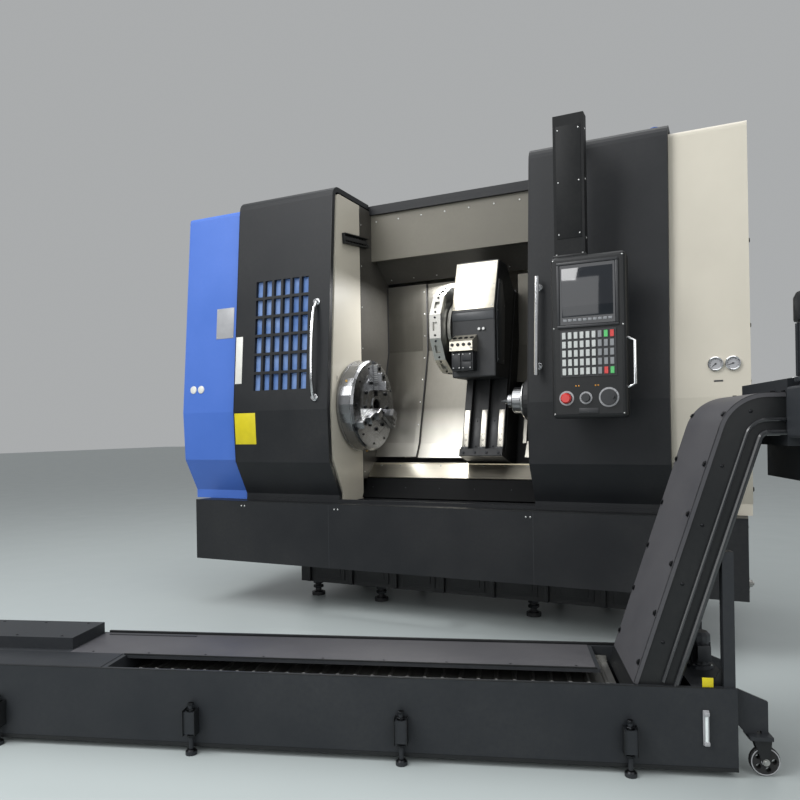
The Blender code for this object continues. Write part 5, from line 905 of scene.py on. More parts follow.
def end_wall_details():
    """Panels, air slots and screws on the right end wall."""
    right = facing((END_X, 0.62, 1.62), RIGHT)
    service_panel("right_end_panel", right, 0.52, 1.00, rows=6, latches=2)
    lower = facing((END_X, 0.52, 0.86), RIGHT)
    service_panel("right_lower_panel", lower, 0.60, 0.26)
    screws = Shape()
    for z in spread(0.76, 2.40, 8):
        screws.button((0, 0, LIFT), 0.006, 0.003, place=facing((END_X, 0.875, z), RIGHT))
    for y in spread(0.25, 0.80, 4):
        screws.button((0, 0, LIFT), 0.006, 0.003, place=facing((END_X, y, 2.53), RIGHT))
    screws.done("end_wall_screws", STEEL)


def on_cheek(y, z):
    return facing((-0.60, y, z), RIGHT)


def cheek_details():
    """The dark channel high on the white cheek, its bolt, the small key plate with its slit painted as dark
    shade, and the cheek's screws.
    """
    turn = Matrix.Rotation(radians(6.5), 4, "Z")
    channel, inside = Shape(on_cheek(0.34, 2.325) @ turn), Shape(on_cheek(0.34, 2.325) @ turn)
    channel.box((-0.158, -0.032, 0.0004), (0.158, 0.032, 0.006), bevel=0.002)
    channel.box((-0.158, 0.024, 0.005), (0.158, 0.032, 0.026), bevel=0.002)
    channel.box((-0.158, -0.032, 0.005), (0.158, -0.024, 0.026), bevel=0.002)
    channel.box((-0.158, -0.024, 0.005), (-0.150, 0.024, 0.020), bevel=0.001)
    inside.box((-0.148, -0.012, 0.0055), (0.148, 0.012, 0.018), bevel=0.003)
    for x in spread(-0.13, 0.13, 8):
        inside.box((x - 0.002, -0.020, 0.0055), (x + 0.002, 0.020, 0.014))
    inside.hexagon((0.145, -0.018, 0.018), 0.009, 0.008)
    channel.done("cheek_channel", BLACK_SATIN)
    inside.done("cheek_channel_insert", RUBBER)
    plate, slit = Shape(on_cheek(0.092, 1.44)), Shape(on_cheek(0.092, 1.44))
    plate.box((-0.010, -0.024, CLEAR), (0.010, 0.024, 0.002), bevel=0.0008)
    # The slit is a dark piece: painted shade for the opening in the plate
    slit.box((-0.0025, -0.012, 0.0018), (0.0025, 0.012, 0.003), bevel=0.0008)
    plate.done("key_plate", WHITE)
    slit.done("key_slit_shade", DARK_PLASTIC)
    screws, seam = Shape(), Shape(MACHINE)
    for z in spread(0.85, 2.45, 7):
        screws.button((0, 0, CLEAR), 0.005, 0.0025, place=on_cheek(0.43, z))
    seam.box((-0.6, 0.4085, 0.72), (-0.5985, 0.4125, 2.55))
    screws.done("cheek_screws", STEEL)
    seam.done("cheek_seam", RUBBER)


FACE_X = -0.4697
RIM_X = FACE_X - 0.012


def around_spindle(x, angle, radius):
    """A place on the chuck's face, its Y pointing outwards."""
    centre = (x, SPINDLE_Y + radius * sin(angle), SPINDLE_Z + radius * cos(angle))
    return facing(centre, RIGHT, up=(0, sin(angle), cos(angle)))


def chuck_details():
    """Rings turned in the face, mounting screws, the bore's sleeve and the rim's grease nipples."""
    rings, screws, nipples = Shape(MACHINE), Shape(), Shape()
    centre = (0, SPINDLE_Y, SPINDLE_Z)
    for radius in (0.122, 0.178):
        rings.spun(
            [
                (radius, FACE_X - 0.001), (radius, FACE_X + 0.0012), (radius + 0.003, FACE_X + 0.0012),
                (radius + 0.003, FACE_X - 0.001)
            ],
            centre, "X", 64
        )
    rings.spun(
        [
            (0.040, FACE_X - 0.02), (0.040, FACE_X + 0.004), (0.045, FACE_X + 0.006), (0.056, FACE_X + 0.006),
            (0.058, FACE_X + 0.004), (0.058, FACE_X - 0.004)
        ],
        centre, "X", 48
    )
    for x in (-0.575, -0.505):
        rings.spun(
            [(0.2835, x), (0.2862, x + 0.001), (0.2862, x + 0.004), (0.2835, x + 0.005)], centre, "X", 72
        )
    for i in range(3):
        for turn in (-0.62, 0, 0.62):
            angle = tau * (i + 0.5) / 3 + turn
            screws.cap_screw((0, 0, LIFT), 0.0115, 0.010, place=around_spindle(FACE_X, angle, 0.15), sides=18)
            screws.cap_screw(
                (0, 0, LIFT), 0.007, 0.006, place=around_spindle(RIM_X + 0.0045, angle + 0.1, 0.2405),
                sides=14
            )
    for i in range(3):
        angle = tau * (i + 0.5) / 3
        place = facing(
            (-0.54, SPINDLE_Y + 0.2852 * sin(angle), SPINDLE_Z + 0.2852 * cos(angle)),
            (0, sin(angle), cos(angle)), up=RIGHT
        )
        nipples.spun(
            [(0, 0.009), (0.003, 0.008), (0.004, 0.005), (0.007, 0.004), (0.008, -0.001)], (0, 0, 0), "Z", 16,
            place
        )
    rings.done("chuck_rings", CHUCK_STEEL, "spindle")
    screws.done("chuck_screws", BLACK_STEEL, "spindle")
    nipples.done("grease_nipples", BRASS, "spindle")


def jaw_details():
    """Screws sunk in the jaws' steps and the teeth between jaw and slot."""
    for number in range(3):
        angle = tau * number / 3
        screws, teeth = Shape(), Shape()
        for radius, rise in ((0.2275, 0.030), (0.1725, 0.058)):
            place = around_spindle(FACE_X + rise, angle, radius)
            screws.spun(
                [(0.0135, -0.001), (0.0135, 0.0012), (0.0155, 0.0012), (0.0165, -0.001)], (0, 0, 0), "Z", 24,
                place
            )
            screws.cap_screw((0, 0, LIFT), 0.0105, 0.0045, place=place, sides=18)
        for radius in spread(0.10, 0.246, 12):
            for side in (-1, 1):
                place = around_spindle(FACE_X + 0.016, angle, radius)
                low, high = sorted((side * 0.0252, side * 0.0266))
                teeth.box((low, -0.0035, -0.012), (high, 0.0035, 0.010), place=place)
        for radius in spread(0.0915, 0.0985, 4):
            place = around_spindle(FACE_X + 0.07, angle, 0.0892)
            teeth.box(
                (-0.0235, -0.0012, (radius - 0.095) * 2 - 0.0015),
                (0.0235, 0.001, (radius - 0.095) * 2 + 0.0015), place=place
            )
        screws.done(f"jaw_{number + 1}_screws", BLACK_STEEL, f"jaw_{number + 1}")
        teeth.done(f"jaw_{number + 1}_teeth", STEEL, f"jaw_{number + 1}")


# How far along the slant the disc's axis lies from the spindle's
DISC_REACH = 0.46
DISC_Y = SPINDLE_Y + DISC_REACH * cos(SLANT)
DISC_Z = SPINDLE_Z + DISC_REACH * sin(SLANT)
DISC_FACE_X = 0.06 - 0.025 - 0.07
HOUSING_X = (0.06, 0.33)


def around_disc(x, angle, radius):
    centre = (x, DISC_Y + radius * sin(angle), DISC_Z + radius * cos(angle))
    return facing(centre, LEFT, up=(0, sin(angle), cos(angle)))


def turret_details():
    """Wedge clamps, screws and coolant balls at every station, and the disc's centre cap."""
    clamps, screws, balls = Shape(), Shape(), Shape()
    for i in range(12):
        angle = tau * i / 12
        place = around_disc(DISC_FACE_X, angle, 0.215)
        clamps.box((-0.022, -0.020, CLEAR), (0.022, 0.020, 0.006), bevel=0.0015, place=place)
        clamps.box((-0.004, -0.034, CLEAR), (0.004, -0.020, 0.004), bevel=0.001, place=place)
        for x in (-0.0135, 0.0135):
            screws.cap_screw((x, 0.004, 0.006), 0.006, 0.0045, place=place, sides=14)
        balls.button((0, -0.045, CLEAR), 0.0075, 0.006, place=place, sides=16)
        for side in (-0.052, 0.052):
            edge = (
                DISC_FACE_X + 0.035,
                DISC_Y + 0.26 * sin(angle) + side * cos(angle),
                DISC_Z + 0.26 * cos(angle) - side * sin(angle),
            )
            rim = facing(edge, (0, sin(angle), cos(angle)), up=RIGHT)
            screws.cap_screw((0, 0, LIFT), 0.006, 0.005, place=rim, sides=12)
    centre = (0, DISC_Y, DISC_Z)
    cap = Shape(MACHINE)
    cap.spun(
        [
            (0, DISC_FACE_X - 0.012),
            (0.070, DISC_FACE_X - 0.012),
            (0.078, DISC_FACE_X - 0.008),
            (0.080, DISC_FACE_X - CLEAR),
        ],
        centre,
        "X",
        48,
    )
    for radius in (0.112, 0.158):
        cap.spun(
            [
                (radius, DISC_FACE_X), (radius, DISC_FACE_X - 0.0012), (radius + 0.003, DISC_FACE_X - 0.0012),
                (radius + 0.003, DISC_FACE_X)
            ],
            centre,
            "X",
            64,
        )
    for i in range(8):
        screws.cap_screw(
            (0, 0, 0.0118), 0.006, 0.005, place=around_disc(DISC_FACE_X, tau * i / 8, 0.062), sides=14
        )
        screws.cap_screw(
            (0, 0, CLEAR), 0.008, 0.007, place=around_disc(DISC_FACE_X, tau * (i + 0.5) / 8, 0.132), sides=14
        )
    clamps.done("station_clamps", STEEL, "turret")
    screws.done("turret_screws", BLACK_STEEL, "turret")
    balls.done("coolant_balls", BRASS, "turret")
    cap.done("turret_cap", DISC_STEEL, "turret")


def housing_details():
    """The bright brow plate, the valve block under the manifold, side covers and their screws."""
    left, right = HOUSING_X
    brow_place = facing(((left + right) / 2, 0.37, 1.965), (0, -0.31, 0.10))
    half = (right - left) / 2
    brow, screws = Shape(brow_place), Shape()
    brow.box((-half + 0.006, -0.154, 0.0004), (half - 0.006, 0.154, 0.004), bevel=0.0012)
    for x in (-half + 0.02, half - 0.02):
        for y in (-0.138, 0, 0.138):
            screws.button((x, y, 0.004), 0.005, 0.0025, place=brow_place)
    brow.done("brow_plate", BROW, "cross_slide")
    band = Shape(MACHINE)
    band.box((left + 0.006, 0.3165, 1.755), (right - 0.006, 0.3197, 1.802), bevel=0.001)
    band.done("brow_band", HOUSING_PALE, "cross_slide")
    block = Shape(MACHINE)
    block.box((0.082, 0.255, 1.455), (0.215, 0.3197, 1.568), bevel=0.004)
    block.box((0.090, 0.248, 1.465), (0.140, 0.256, 1.558), bevel=0.003)
    block.box((0.150, 0.248, 1.465), (0.207, 0.256, 1.505), bevel=0.003)
    block.box((0.150, 0.248, 1.512), (0.207, 0.256, 1.558), bevel=0.003)
    block.done("valve_block", HOUSING, "cross_slide")
    for x in (0.097, 0.133, 0.157, 0.200):
        for z in (1.472, 1.551):
            screws.cap_screw((0, 0, 0.0001), 0.0042, 0.004, place=facing((x, 0.248, z), FRONT), sides=12)
    for x in (0.088, 0.212):
        screws.cap_screw((0, 0, 0.0001), 0.006, 0.005, place=facing((x, 0.2297, 1.585), FRONT), sides=12)
    lamp = Shape()
    for x in (0.235, 0.262):
        lamp.spun(
            [(0, 0.012), (0.008, 0.012), (0.0095, 0.009), (0.0095, CLEAR)], (0, 0, 0), "Z", 18,
            facing((x, 0.32, 1.70), FRONT)
        )
    lamp.done("hose_plugs", STEEL, "cross_slide")
    side = Shape(facing((right, 0.43, 1.70), RIGHT))
    side.outline(
        [(-0.085, -0.20), (0.045, -0.20), (0.075, 0.16), (0.03, 0.30), (-0.03, 0.30), (-0.085, 0.12)], CLEAR,
        0.005, bevel=0.0015
    )
    side.done("housing_side_cover", HOUSING_PALE, "cross_slide")
    for y, z in ((-0.07, -0.18), (0.03, -0.18), (0.06, 0.15), (0.02, 0.28), (-0.022, 0.28), (-0.07, 0.11)):
        screws.button((y, z, 0.005), 0.005, 0.0025, place=facing((right, 0.43, 1.70), RIGHT))
    top = Shape(facing(((left + right) / 2, 0.49, 2.12), TOP))
    top.box((-half + 0.02, -0.055, CLEAR), (half - 0.02, 0.055, 0.004), bevel=0.0015)
    top.rod((0.06, 0, 0), "Z", 0.004, 0.012, 0.016, sides=24, bevel=0.002)
    top.done("housing_top_cover", HOUSING_PALE, "cross_slide")
    screws.done("housing_screws", STEEL, "cross_slide")


def manifold_details():
    """Fittings in the manifold's ports and its end plugs."""
    ports, plugs = Shape(), Shape(MACHINE)
    for i in range(4):
        x = 0.08 + 0.14 / 4 * (i + 0.5)
        place = facing((x, 0.2747, 1.6475), (0, -0.447, 0.894))
        ports.spun(
            [(0.0085, -0.012), (0.0085, 0.003), (0.0125, 0.003), (0.0135, -0.002)], (0, 0, 0), "Z", 20, place
        )
        place = facing((x, 0.2297, 1.605), FRONT)
        ports.hexagon((0, 0, 0), 0.0105, 0.006, place)
        plugs.rod((x, 0.2297, 1.605), "Y", -0.0062, -0.0058, 0.0055, sides=14)
    ports.done("manifold_ports", BLACK_STEEL, "cross_slide")
    plugs.done("manifold_plugs", DARK_PLASTIC, "cross_slide")


def saddle_details():
    """Ground strips on the three ways, their end blocks and wipers, and the cross slide's screw cover."""
    strips, ends, screws = Shape(), Shape(), Shape()
    face = 0.21 - 0.04
    pitch = (0.27 - 0.042 - 0.008) / 2
    for number in range(3):
        low = 0.06 + 0.004 + number * pitch
        middle = low + 0.021
        place = on_slant(-0.10, face)
        strips.box((low + 0.004, -0.150, LIFT), (low + 0.038, 0.100, 0.0014), bevel=0.0006, place=place)
        strips.box((low - 0.0004, -0.150, -0.030), (low + 0.0004, 0.095, -0.004), place=place)
        for along in spread(-0.125, 0.055, 6):
            screws.spun(
                [(0, 0.0013), (0.0045, 0.0013), (0.0045, 0.0019), (0.0065, 0.0019), (0.007, 0.0012)],
                (middle, along, 0),
                "Z",
                14,
                place,
            )
        foot = on_slant(-0.245, face - 0.002)
        ends.box((low - 0.003, -0.010, -0.034), (low + 0.045, 0.012, 0.014), bevel=0.003, place=foot)
        for dx in (0.010, 0.032):
            screws.cap_screw((low + dx, 0, 0.014), 0.005, 0.004, place=foot, sides=12)
    for low in (0.06 + 0.046 + 0.006, 0.06 + 0.046 + 0.006 + pitch):
        place = on_slant(-0.09, 0.21)
        ends.box((low, -0.150, 0.0004), (low + 0.056, 0.05, 0.006), bevel=0.002, place=place)
        for along in (-0.13, 0.03):
            screws.button((low + 0.028, along, 0.006), 0.005, 0.003, place=place, sides=12)
    beam = on_slant(-0.2725, 0.14)
    for x in spread(0.085, 0.305, 4):
        screws.cap_screw((x, 0, LIFT), 0.008, 0.007, place=beam, sides=16)
    ends.box((0.066, -0.018, CLEAR), (0.324, -0.012, 0.004), bevel=0.001, place=beam)
    strips.done("way_strips", WAY_STEEL, "saddle")
    ends.done("way_end_blocks", HOUSING, "saddle")
    screws.done("saddle_screws", BLACK_STEEL, "saddle")


def way_cover_details():
    """Wiper strips, folds, screws and seams of the telescopic covers."""
    wipers, folds, screws = Shape(MACHINE), Shape(MACHINE), Shape()
    ribbon(wipers, WAY_LINE, -0.0035, 0.006, -0.304, -0.298)
    ribbon(folds, WAY_LINE, -0.0022, -LIFT, -0.335, -0.3045)
    ribbon(wipers, WAY_LINE[1:], -0.003, -LIFT, -0.5985, -0.590)
    for z in (1.15, 1.30, 1.45, 1.60, 1.75, 1.90, 2.05):
        y = 0.80 if z > 1.65 else 0.634 + (z - 1.03) * 0.166 / 0.62
        normal = FRONT if z > 1.65 else (0, -0.62, 0.166)
        screws.button((0, 0, 0.0022), 0.0045, 0.002, place=facing((-0.32, y, z), normal), sides=12)
    ribbon(folds, [(0.80, 1.668), (0.80, 1.676)], -0.0015, -LIFT, -0.59, -0.336)
    wipers.done("cover_wipers", RUBBER)
    folds.done("cover_folds", SHEET)
    screws.done("cover_screws", STEEL)
    for body, name, x0, x1 in (
        ("saddle", "left_saddle_cover", -0.33, 0.0), ("saddle", "right_saddle_cover", 0.36, 0.84)
    ):
        ribs = Shape(MACHINE)
        line = shifted(WAY_LINE, 0.012)[1:]
        for x in spread(x0 + 0.03, x1 - 0.01, 3):
            ribbon(ribs, line, 0.0062, 0.0102, x, x + 0.02)
        ribs.done(f"{name}_ribs", SHEET, body, "grey_sheet")


def slide_details():
    """Rims and screws of the bright chip slide and the apron below it."""
    rim, screws, apron = Shape(MACHINE), Shape(), Shape()
    line = [(0.468, 0.812), (0.563, 0.900)]
    ribbon(rim, [(0.5595, 0.8968), (0.563, 0.900)], -0.004, -LIFT, -0.598, 1.37)
    ribbon(rim, [(0.468, 0.812), (0.4745, 0.818)], -0.003, -LIFT, -0.598, 1.37)
    normal = (0, -0.088, 0.095)
    for x in spread(-0.54, 1.30, 14):
        screws.button((0, 0, LIFT), 0.0055, 0.0025, place=facing((x, 0.547, 0.8852), normal), sides=12)
    ribbon(rim, line, -0.0012, -LIFT, -0.011, -0.005)
    rim.done("slide_rims", BRIGHT)
    screws.done("slide_screws", STEEL)
    for x in spread(-0.54, 1.30, 9):
        apron.button(
            (0, 0, LIFT), 0.0055, 0.0025, place=facing((x, 0.430, 0.751), (0, -0.048, 0.030)), sides=12
        )
    apron.done("apron_screws", BLACK_STEEL)


def ceiling_details():
    """The work lamp behind the lintel, and the ceiling's screws."""
    body, tube, screws = Shape(MACHINE), Shape(MACHINE), Shape()
    body.box((-0.30, 0.5925, 2.262), (0.28, 0.6215, 2.300), bevel=0.004)
    body.box((-0.31, 0.5925, 2.246), (-0.296, 0.6215, 2.304), bevel=0.003)
    body.box((0.276, 0.5925, 2.246), (0.29, 0.6215, 2.304), bevel=0.003)
    tube.rod((0, 0.607, 2.259), "X", -0.29, 0.27, 0.010, sides=20, bevel=0.003)
    body.done("work_lamp", BLACK_SATIN)
    tube.done("work_lamp_tube", LAMP)
    for x in spread(-0.55, 1.30, 12):
        place = facing((x, 0.77, 2.1473), (0, -0.13, -0.175))
        screws.button((0, 0, LIFT), 0.005, 0.0025, place=place, sides=12)
    screws.done("ceiling_screws", STEEL)


def roof_details():
    """Screws, lifting eyes, rail stops and the seams of the roof and rear hood."""
    screws, eyes, stops = Shape(), Shape(MACHINE), Shape(MACHINE)
    for x in spread(-0.56, 0.58, 8):
        screws.button((0, 0, LIFT), 0.006, 0.003, place=facing((x, 0.572, 2.50), FRONT))
        screws.button((0, 0, LIFT), 0.006, 0.003, place=facing((x, 0.87, COVER_TOP), TOP))
    for x in (-1.60, -0.75, 0.75, 1.50):
        eyes.rod((x, 1.02, 0), "Z", COVER_TOP, COVER_TOP + 0.008, 0.026, sides=24, bevel=0.002)
        ring = [
            (x + 0.021 * cos(a), 1.02, COVER_TOP + 0.031 + 0.021 * sin(a))
            for a in spread(-pi / 2, 3 * pi / 2, 25)
        ]
        eyes.tube(ring, 0.006)
    for x in (-1.298, 1.280):
        stops.box((x - 0.0015, 0.552, COVER_TOP + 0.0325), (x + 0.018, 0.570, COVER_TOP + 0.046), bevel=0.002)
    for x in (0.165, 1.345):
        stops.box((x - 0.004, 0.635, COVER_TOP + 0.0303), (x + 0.014, 0.685, COVER_TOP + 0.044), bevel=0.003)
    seams = Shape(MACHINE)
    for x in (-0.62, 0.62):
        seams.box((x - 0.012, 0.60, COVER_TOP), (x + 0.012, 0.895, COVER_TOP + 0.003), bevel=0.001)
    for x in (-1.05, 0.0, 1.0):
        ribbon(
            seams, [(0.905, COVER_TOP), (1.10, COVER_TOP), (HOOD_BACK_Y, 2.30), (HOOD_BACK_Y, 2.20)], -0.003,
            -LIFT, x - 0.014, x + 0.014
        )
    screws.done("roof_screws", STEEL)
    eyes.done("roof_eyes", BLACK_STEEL)
    stops.done("rail_stops", RUBBER)
    seams.done("roof_seams", WHITE)


def tray_details():
    """Lips, screw pairs, end caps and the drain plug of the front tray."""
    lip, screws, plug = Shape(MACHINE), Shape(), Shape()
    lip.box((-TRAY_END_X, 0.0, 0.6802), (TRAY_END_X, 0.012, 0.684), bevel=0.001)
    lip.box((-TRAY_END_X, 0.012, 0.6802), (TRAY_END_X, 0.104, 0.6815))
    lip.done("tray_lip", BLACK_SATIN)
    for x in (-1.249, -0.567, 0.594, 1.25):
        for dx in (-0.012, 0.012):
            screws.button((dx, 0, LIFT), 0.0055, 0.003, place=facing((x, 0, 0.652), FRONT))
    for x in (-TRAY_END_X, TRAY_END_X):
        for y in (0.05, 0.37):
            for z in (0.34, 0.64):
                screws.button((0, 0, LIFT), 0.0065, 0.003, place=facing((x, y, z), LEFT if x < 0 else RIGHT))
    screws.done("tray_screws", STEEL)
    place = facing((TRAY_END_X, 0.21, 0.345), RIGHT)
    plug.spun(
        [(0, 0.016), (0.014, 0.016), (0.017, 0.012), (0.017, 0.004), (0.026, 0.004), (0.026, CLEAR)],
        (0, 0, 0), "Z", 24, place
    )
    plug.hexagon((0, 0, 0.016), 0.009, 0.007, place)
    plug.done("tray_drain_plug", GALVANISED)
    seams = Shape(MACHINE)
    for x in (-0.62, 0.62):
        seams.box((x - 0.0015, -0.0004, 0.302), (x + 0.0015, 0.0006, 0.678))
    seams.done("tray_seams", DARK_PLASTIC)
    hatch = Shape(MACHINE)
    hatch.box((0.05, 0.18, 0.288), (0.13, 0.26, 0.2998), bevel=0.002)
    hatch.box((0.06, 0.19, 0.284), (0.12, 0.25, 0.2885), bevel=0.001)
    hatch.done("tray_hatch", BLACK)


def base_details():
    """Ribs and cast windows on the base, and the feet's nuts and lock nuts."""
    ribs, nuts = Shape(MACHINE), Shape(MACHINE)
    for x in spread(-1.05, 1.22, 8):
        ribs.box((x - 0.014, 0.435, 0.104), (x + 0.014, 0.4597, 0.295), bevel=0.004)
        ribs.box((x - 0.014, 1.2803, 0.12), (x + 0.014, 1.300, 0.60), bevel=0.004)
    for x in spread(-1.05 + 0.162, 1.22 - 0.162, 7):
        ribs.box((x - 0.11, 0.452, 0.125), (x + 0.11, 0.4597, 0.285), bevel=0.003)
        ribs.box((x - 0.08, 0.446, 0.150), (x + 0.08, 0.4525, 0.260), bevel=0.002)
    for share in (0.04, 0.24, 0.66, 0.96):
        x = -1.12 + share * 2.42
        for y in (0.52, 1.20):
            nuts.hexagon((x, y, 0.078), 0.034, 0.0218)
            nuts.hexagon((x, y, 0.048), 0.034, 0.020)
            nuts.spun([(0.0205, 0.030), (0.030, 0.030), (0.034, 0.022)], (x, y, 0), "Z", 24)
    ribs.done("base_ribs", CASTING)
    nuts.done("foot_nuts", BLACK_STEEL)


def tailstock_details():
    """Clamp screws, the quill's scale and key, and the barrel's cover ring."""
    ring, screws, marks = Shape(MACHINE), Shape(), Shape()
    centre = (0, SPINDLE_Y, SPINDLE_Z)
    ring.spun(
        [(0.0765, 0.4992), (0.0765, 0.492), (0.100, 0.490), (0.104, 0.494), (0.104, 0.4998)], centre, "X", 48
    )
    for i in range(6):
        angle = tau * (i + 0.5) / 6
        place = facing((0.4905, SPINDLE_Y + 0.091 * sin(angle), SPINDLE_Z + 0.091 * cos(angle)), LEFT)
        screws.cap_screw((0, 0, 0), 0.006, 0.005, place=place, sides=14)
    for i in range(2):
        place = facing((0.56 + 0.16 * i, SPINDLE_Y, 1.395), TOP)
        screws.spun(
            [(0, 0.02), (0.010, 0.02), (0.012, 0.016), (0.012, 0.006), (0.020, 0.005), (0.020, -0.004)],
            (0, 0, 0), "Z", 24, place
        )
    ring.done("quill_ring", STEEL, "tailstock")
    screws.done("tailstock_screws", BLACK_STEEL, "tailstock")
    marks.box((0.43, -0.002, 0), (0.497, 0.002, 0.0016), place=facing((0, SPINDLE_Y, 1.3495), TOP))
    for i in range(8):
        marks.box(
            (0.434 + i * 0.008, 0.003, 0), (0.4348 + i * 0.008, 0.010 if i % 4 else 0.014, 0.0007),
            place=facing((0, SPINDLE_Y, 1.3495), TOP)
        )
    marks.done("quill_marks", BLACK_STEEL, "quill")


PENDANT_X, PENDANT_Y = 0.79, -0.25
PENDANT_MIDDLE = 0.1735


def on_pendant(x, z):
    return facing((PENDANT_X + x, PENDANT_Y, z), FRONT)


def screen_details():
    """The screen with its bezel, and the soft keys below it."""
    bezel = Shape(on_pendant(PENDANT_MIDDLE, 1.7425))
    border(bezel, 0.142, 0.156, 0.0135, CLEAR, 0.009, 0.003)
    bezel.done("screen_bezel", DARK_PLASTIC, "pendant")
    glass = Shape(on_pendant(PENDANT_MIDDLE, 1.7425))
    glass.box((-0.118, -0.105, 0.0062), (0.118, 0.125, 0.0072), bevel=0.0004)
    glass.done("screen_pane", SCREEN, "pendant")
    soft = Shape(on_pendant(PENDANT_MIDDLE, 1.622))
    for x in spread(-0.104, 0.104, 10):
        soft.box((x - 0.0085, -0.006, 0.0062), (x + 0.0085, 0.006, 0.0092), bevel=0.0012)
    soft.done("soft_keys", KEY_GREY, "pendant")


def key_details():
    """Nine by five key caps, with the start and stop keys in their corners."""
    gap = 0.008
    left, right, low, high = 0.045, 0.302, 1.355, 1.575
    pitch_x, pitch_z = (right - left - gap) / 9, (high - low - gap) / 5
    caps, dark_caps, green_caps, red_caps = Shape(), Shape(), Shape(), Shape()
    for column in range(9):
        for row in range(5):
            x = left + gap + column * pitch_x + (pitch_x - gap) / 2
            z = low + gap + row * pitch_z + (pitch_z - gap) / 2
            half_x, half_z = (pitch_x - gap) / 2 - 0.0012, (pitch_z - gap) / 2 - 0.0015
            target = caps if column < 6 else dark_caps
            if (column, row) in ((8, 0), (7, 4)):
                target = green_caps
            if (column, row) in ((7, 0), (8, 4)):
                target = red_caps
            target.box(
                (-half_x, -half_z, 0.0078), (half_x, half_z, 0.0096), bevel=0.001, segments=1,
                place=on_pendant(x, z)
            )
    caps.done("pale_keys", PALE_PLASTIC, "pendant")
    dark_caps.done("dark_keys", KEY_GREY, "pendant")
    green_caps.done("start_keys", GREEN_LAMP, "pendant")
    red_caps.done("stop_keys", RED_PLASTIC, "pendant")


def dial_details():
    """Collars and marks of the pendant's three dials, and the status lamps above them."""
    collars, ticks = Shape(), Shape()
    for x, inner, outer in ((0.07, 0.0265, 0.034), (0.16, 0.0215, 0.0285), (0.265, 0.0375, 0.045)):
        place = on_pendant(x, 1.255)
        collars.spun(
            [(inner, CLEAR), (inner, 0.002), (outer, 0.002), (outer + 0.001, CLEAR)], (0, 0, 0), "Z", 36,
            place
        )
        marks = 11 if x > 0.1 else 0
        for i in range(marks):
            tick = place @ Matrix.Rotation(radians(-135 + 27 * i), 4, "Z")
            ticks.box((-0.0007, outer - 0.005, 0.0019), (0.0007, outer - 0.001, 0.0024), place=tick)
    collars.done("dial_collars", GREY_PLATE, "pendant", "grey_sheet")
    ticks.done("dial_marks", DARK_PLASTIC, "pendant")
    lamps = Shape()
    for i, x in enumerate((0.115, 0.128, 0.205, 0.218)):
        lamps.button((0, 0, CLEAR), 0.0035, 0.0025, place=on_pendant(x, 1.312), sides=14)
    lamps.done("status_lamps", AMBER_LAMP, "pendant")


def pendant_case_details():
    """The pendant's port cover, its back cover with air slots, the screws and the grip."""
    port = Shape(on_pendant(PENDANT_MIDDLE, 1.195))
    port.box((-0.045, -0.012, CLEAR), (0.045, 0.012, 0.004), bevel=0.0015)
    port.box((-0.004, -0.010, 0.004), (0.004, -0.004, 0.006), bevel=0.0008)
    port.done("port_cover", DARK_PLASTIC, "pendant")
    back = Shape(facing((PENDANT_X + PENDANT_MIDDLE, -0.14, 1.50), BACK))
    back.box((-0.14, -0.30, CLEAR), (0.14, 0.33, 0.004), bevel=0.0015)
    louvres(back, FLAT, -0.10, 0.10, -0.27, 5, 0.024)
    back.rod((0.0, 0.2, 0), "Z", 0.004, 0.016, 0.014, sides=24, bevel=0.002)
    back.done("pendant_back_cover", BLACK_SATIN, "pendant")
    screws = Shape()
    for x in (-0.128, 0.128):
        for y in (-0.285, 0.0, 0.315):
            screws.button(
                (x, y, 0.004), 0.005, 0.0025, place=facing((PENDANT_X + PENDANT_MIDDLE, -0.14, 1.50), BACK),
                sides=12
            )
    for x in (0.014, 0.333):
        for z in (1.18, 1.588, 1.91):
            screws.button((0, 0, CLEAR), 0.004, 0.002, place=on_pendant(x, z), sides=12)
    screws.done("pendant_screws", STEEL, "pendant")
    grip = Shape(MACHINE)
    grip.tube(
        [(1.137, -0.215, 1.30), (1.168, -0.215, 1.315), (1.168, -0.215, 1.515), (1.137, -0.215, 1.53)], 0.008,
        12
    )
    grip.done("pendant_grip", CHROME, "pendant")


def hanger_details():
    """The column's cover plate and screws, its foot flange and the trolley's rollers."""
    plate, screws, flange = Shape(MACHINE), Shape(), Shape(MACHINE)
    plate.box((0.820, -0.2222, 2.02), (0.938, -0.2203, 2.56), bevel=0.0008)
    for x in (0.830, 0.928):
        for z in (2.04, 2.29, 2.54):
            screws.button((0, 0, LIFT), 0.004, 0.002, place=facing((x, -0.2222, z), FRONT), sides=12)
    for z in (2.02, 2.30, 2.54):
        screws.button((0, 0, LIFT), 0.005, 0.003, place=facing((0.952, -0.1875, z), RIGHT), sides=12)
    plate.done("column_cover", SHADED_HANGER_PAINT, "pendant_carriage")
    flange.box((0.800, -0.226, 1.9308), (0.958, -0.149, 1.9425), bevel=0.003)
    flange.box((0.803, -0.1895, 1.9425), (0.8058, -0.1855, 1.99), bevel=0.001)
    flange.done("column_flange", BLACK_SATIN, "pendant_carriage")
    for x in (0.817, 0.941):
        for y in (-0.223, -0.152):
            screws.cap_screw((0, 0, 0), 0.0045, 0.004, place=facing((x, y, 1.9425), TOP), sides=12)
    screws.done("hanger_screws", STEEL, "pendant_carriage")
    rollers = Shape(MACHINE)
    for x in (0.83, 0.928):
        for y, out in ((0.6095, -0.014), (0.7105, 0.014)):
            low, high = sorted((0, out))
            rollers.rod((x, y, COVER_TOP + 0.035), "Y", low, high, 0.011, sides=20, bevel=0.002)
    rollers.done("trolley_rollers", BLACK_STEEL, "pendant_carriage")


TURN = radians(71.5)
KNEE = 0.15


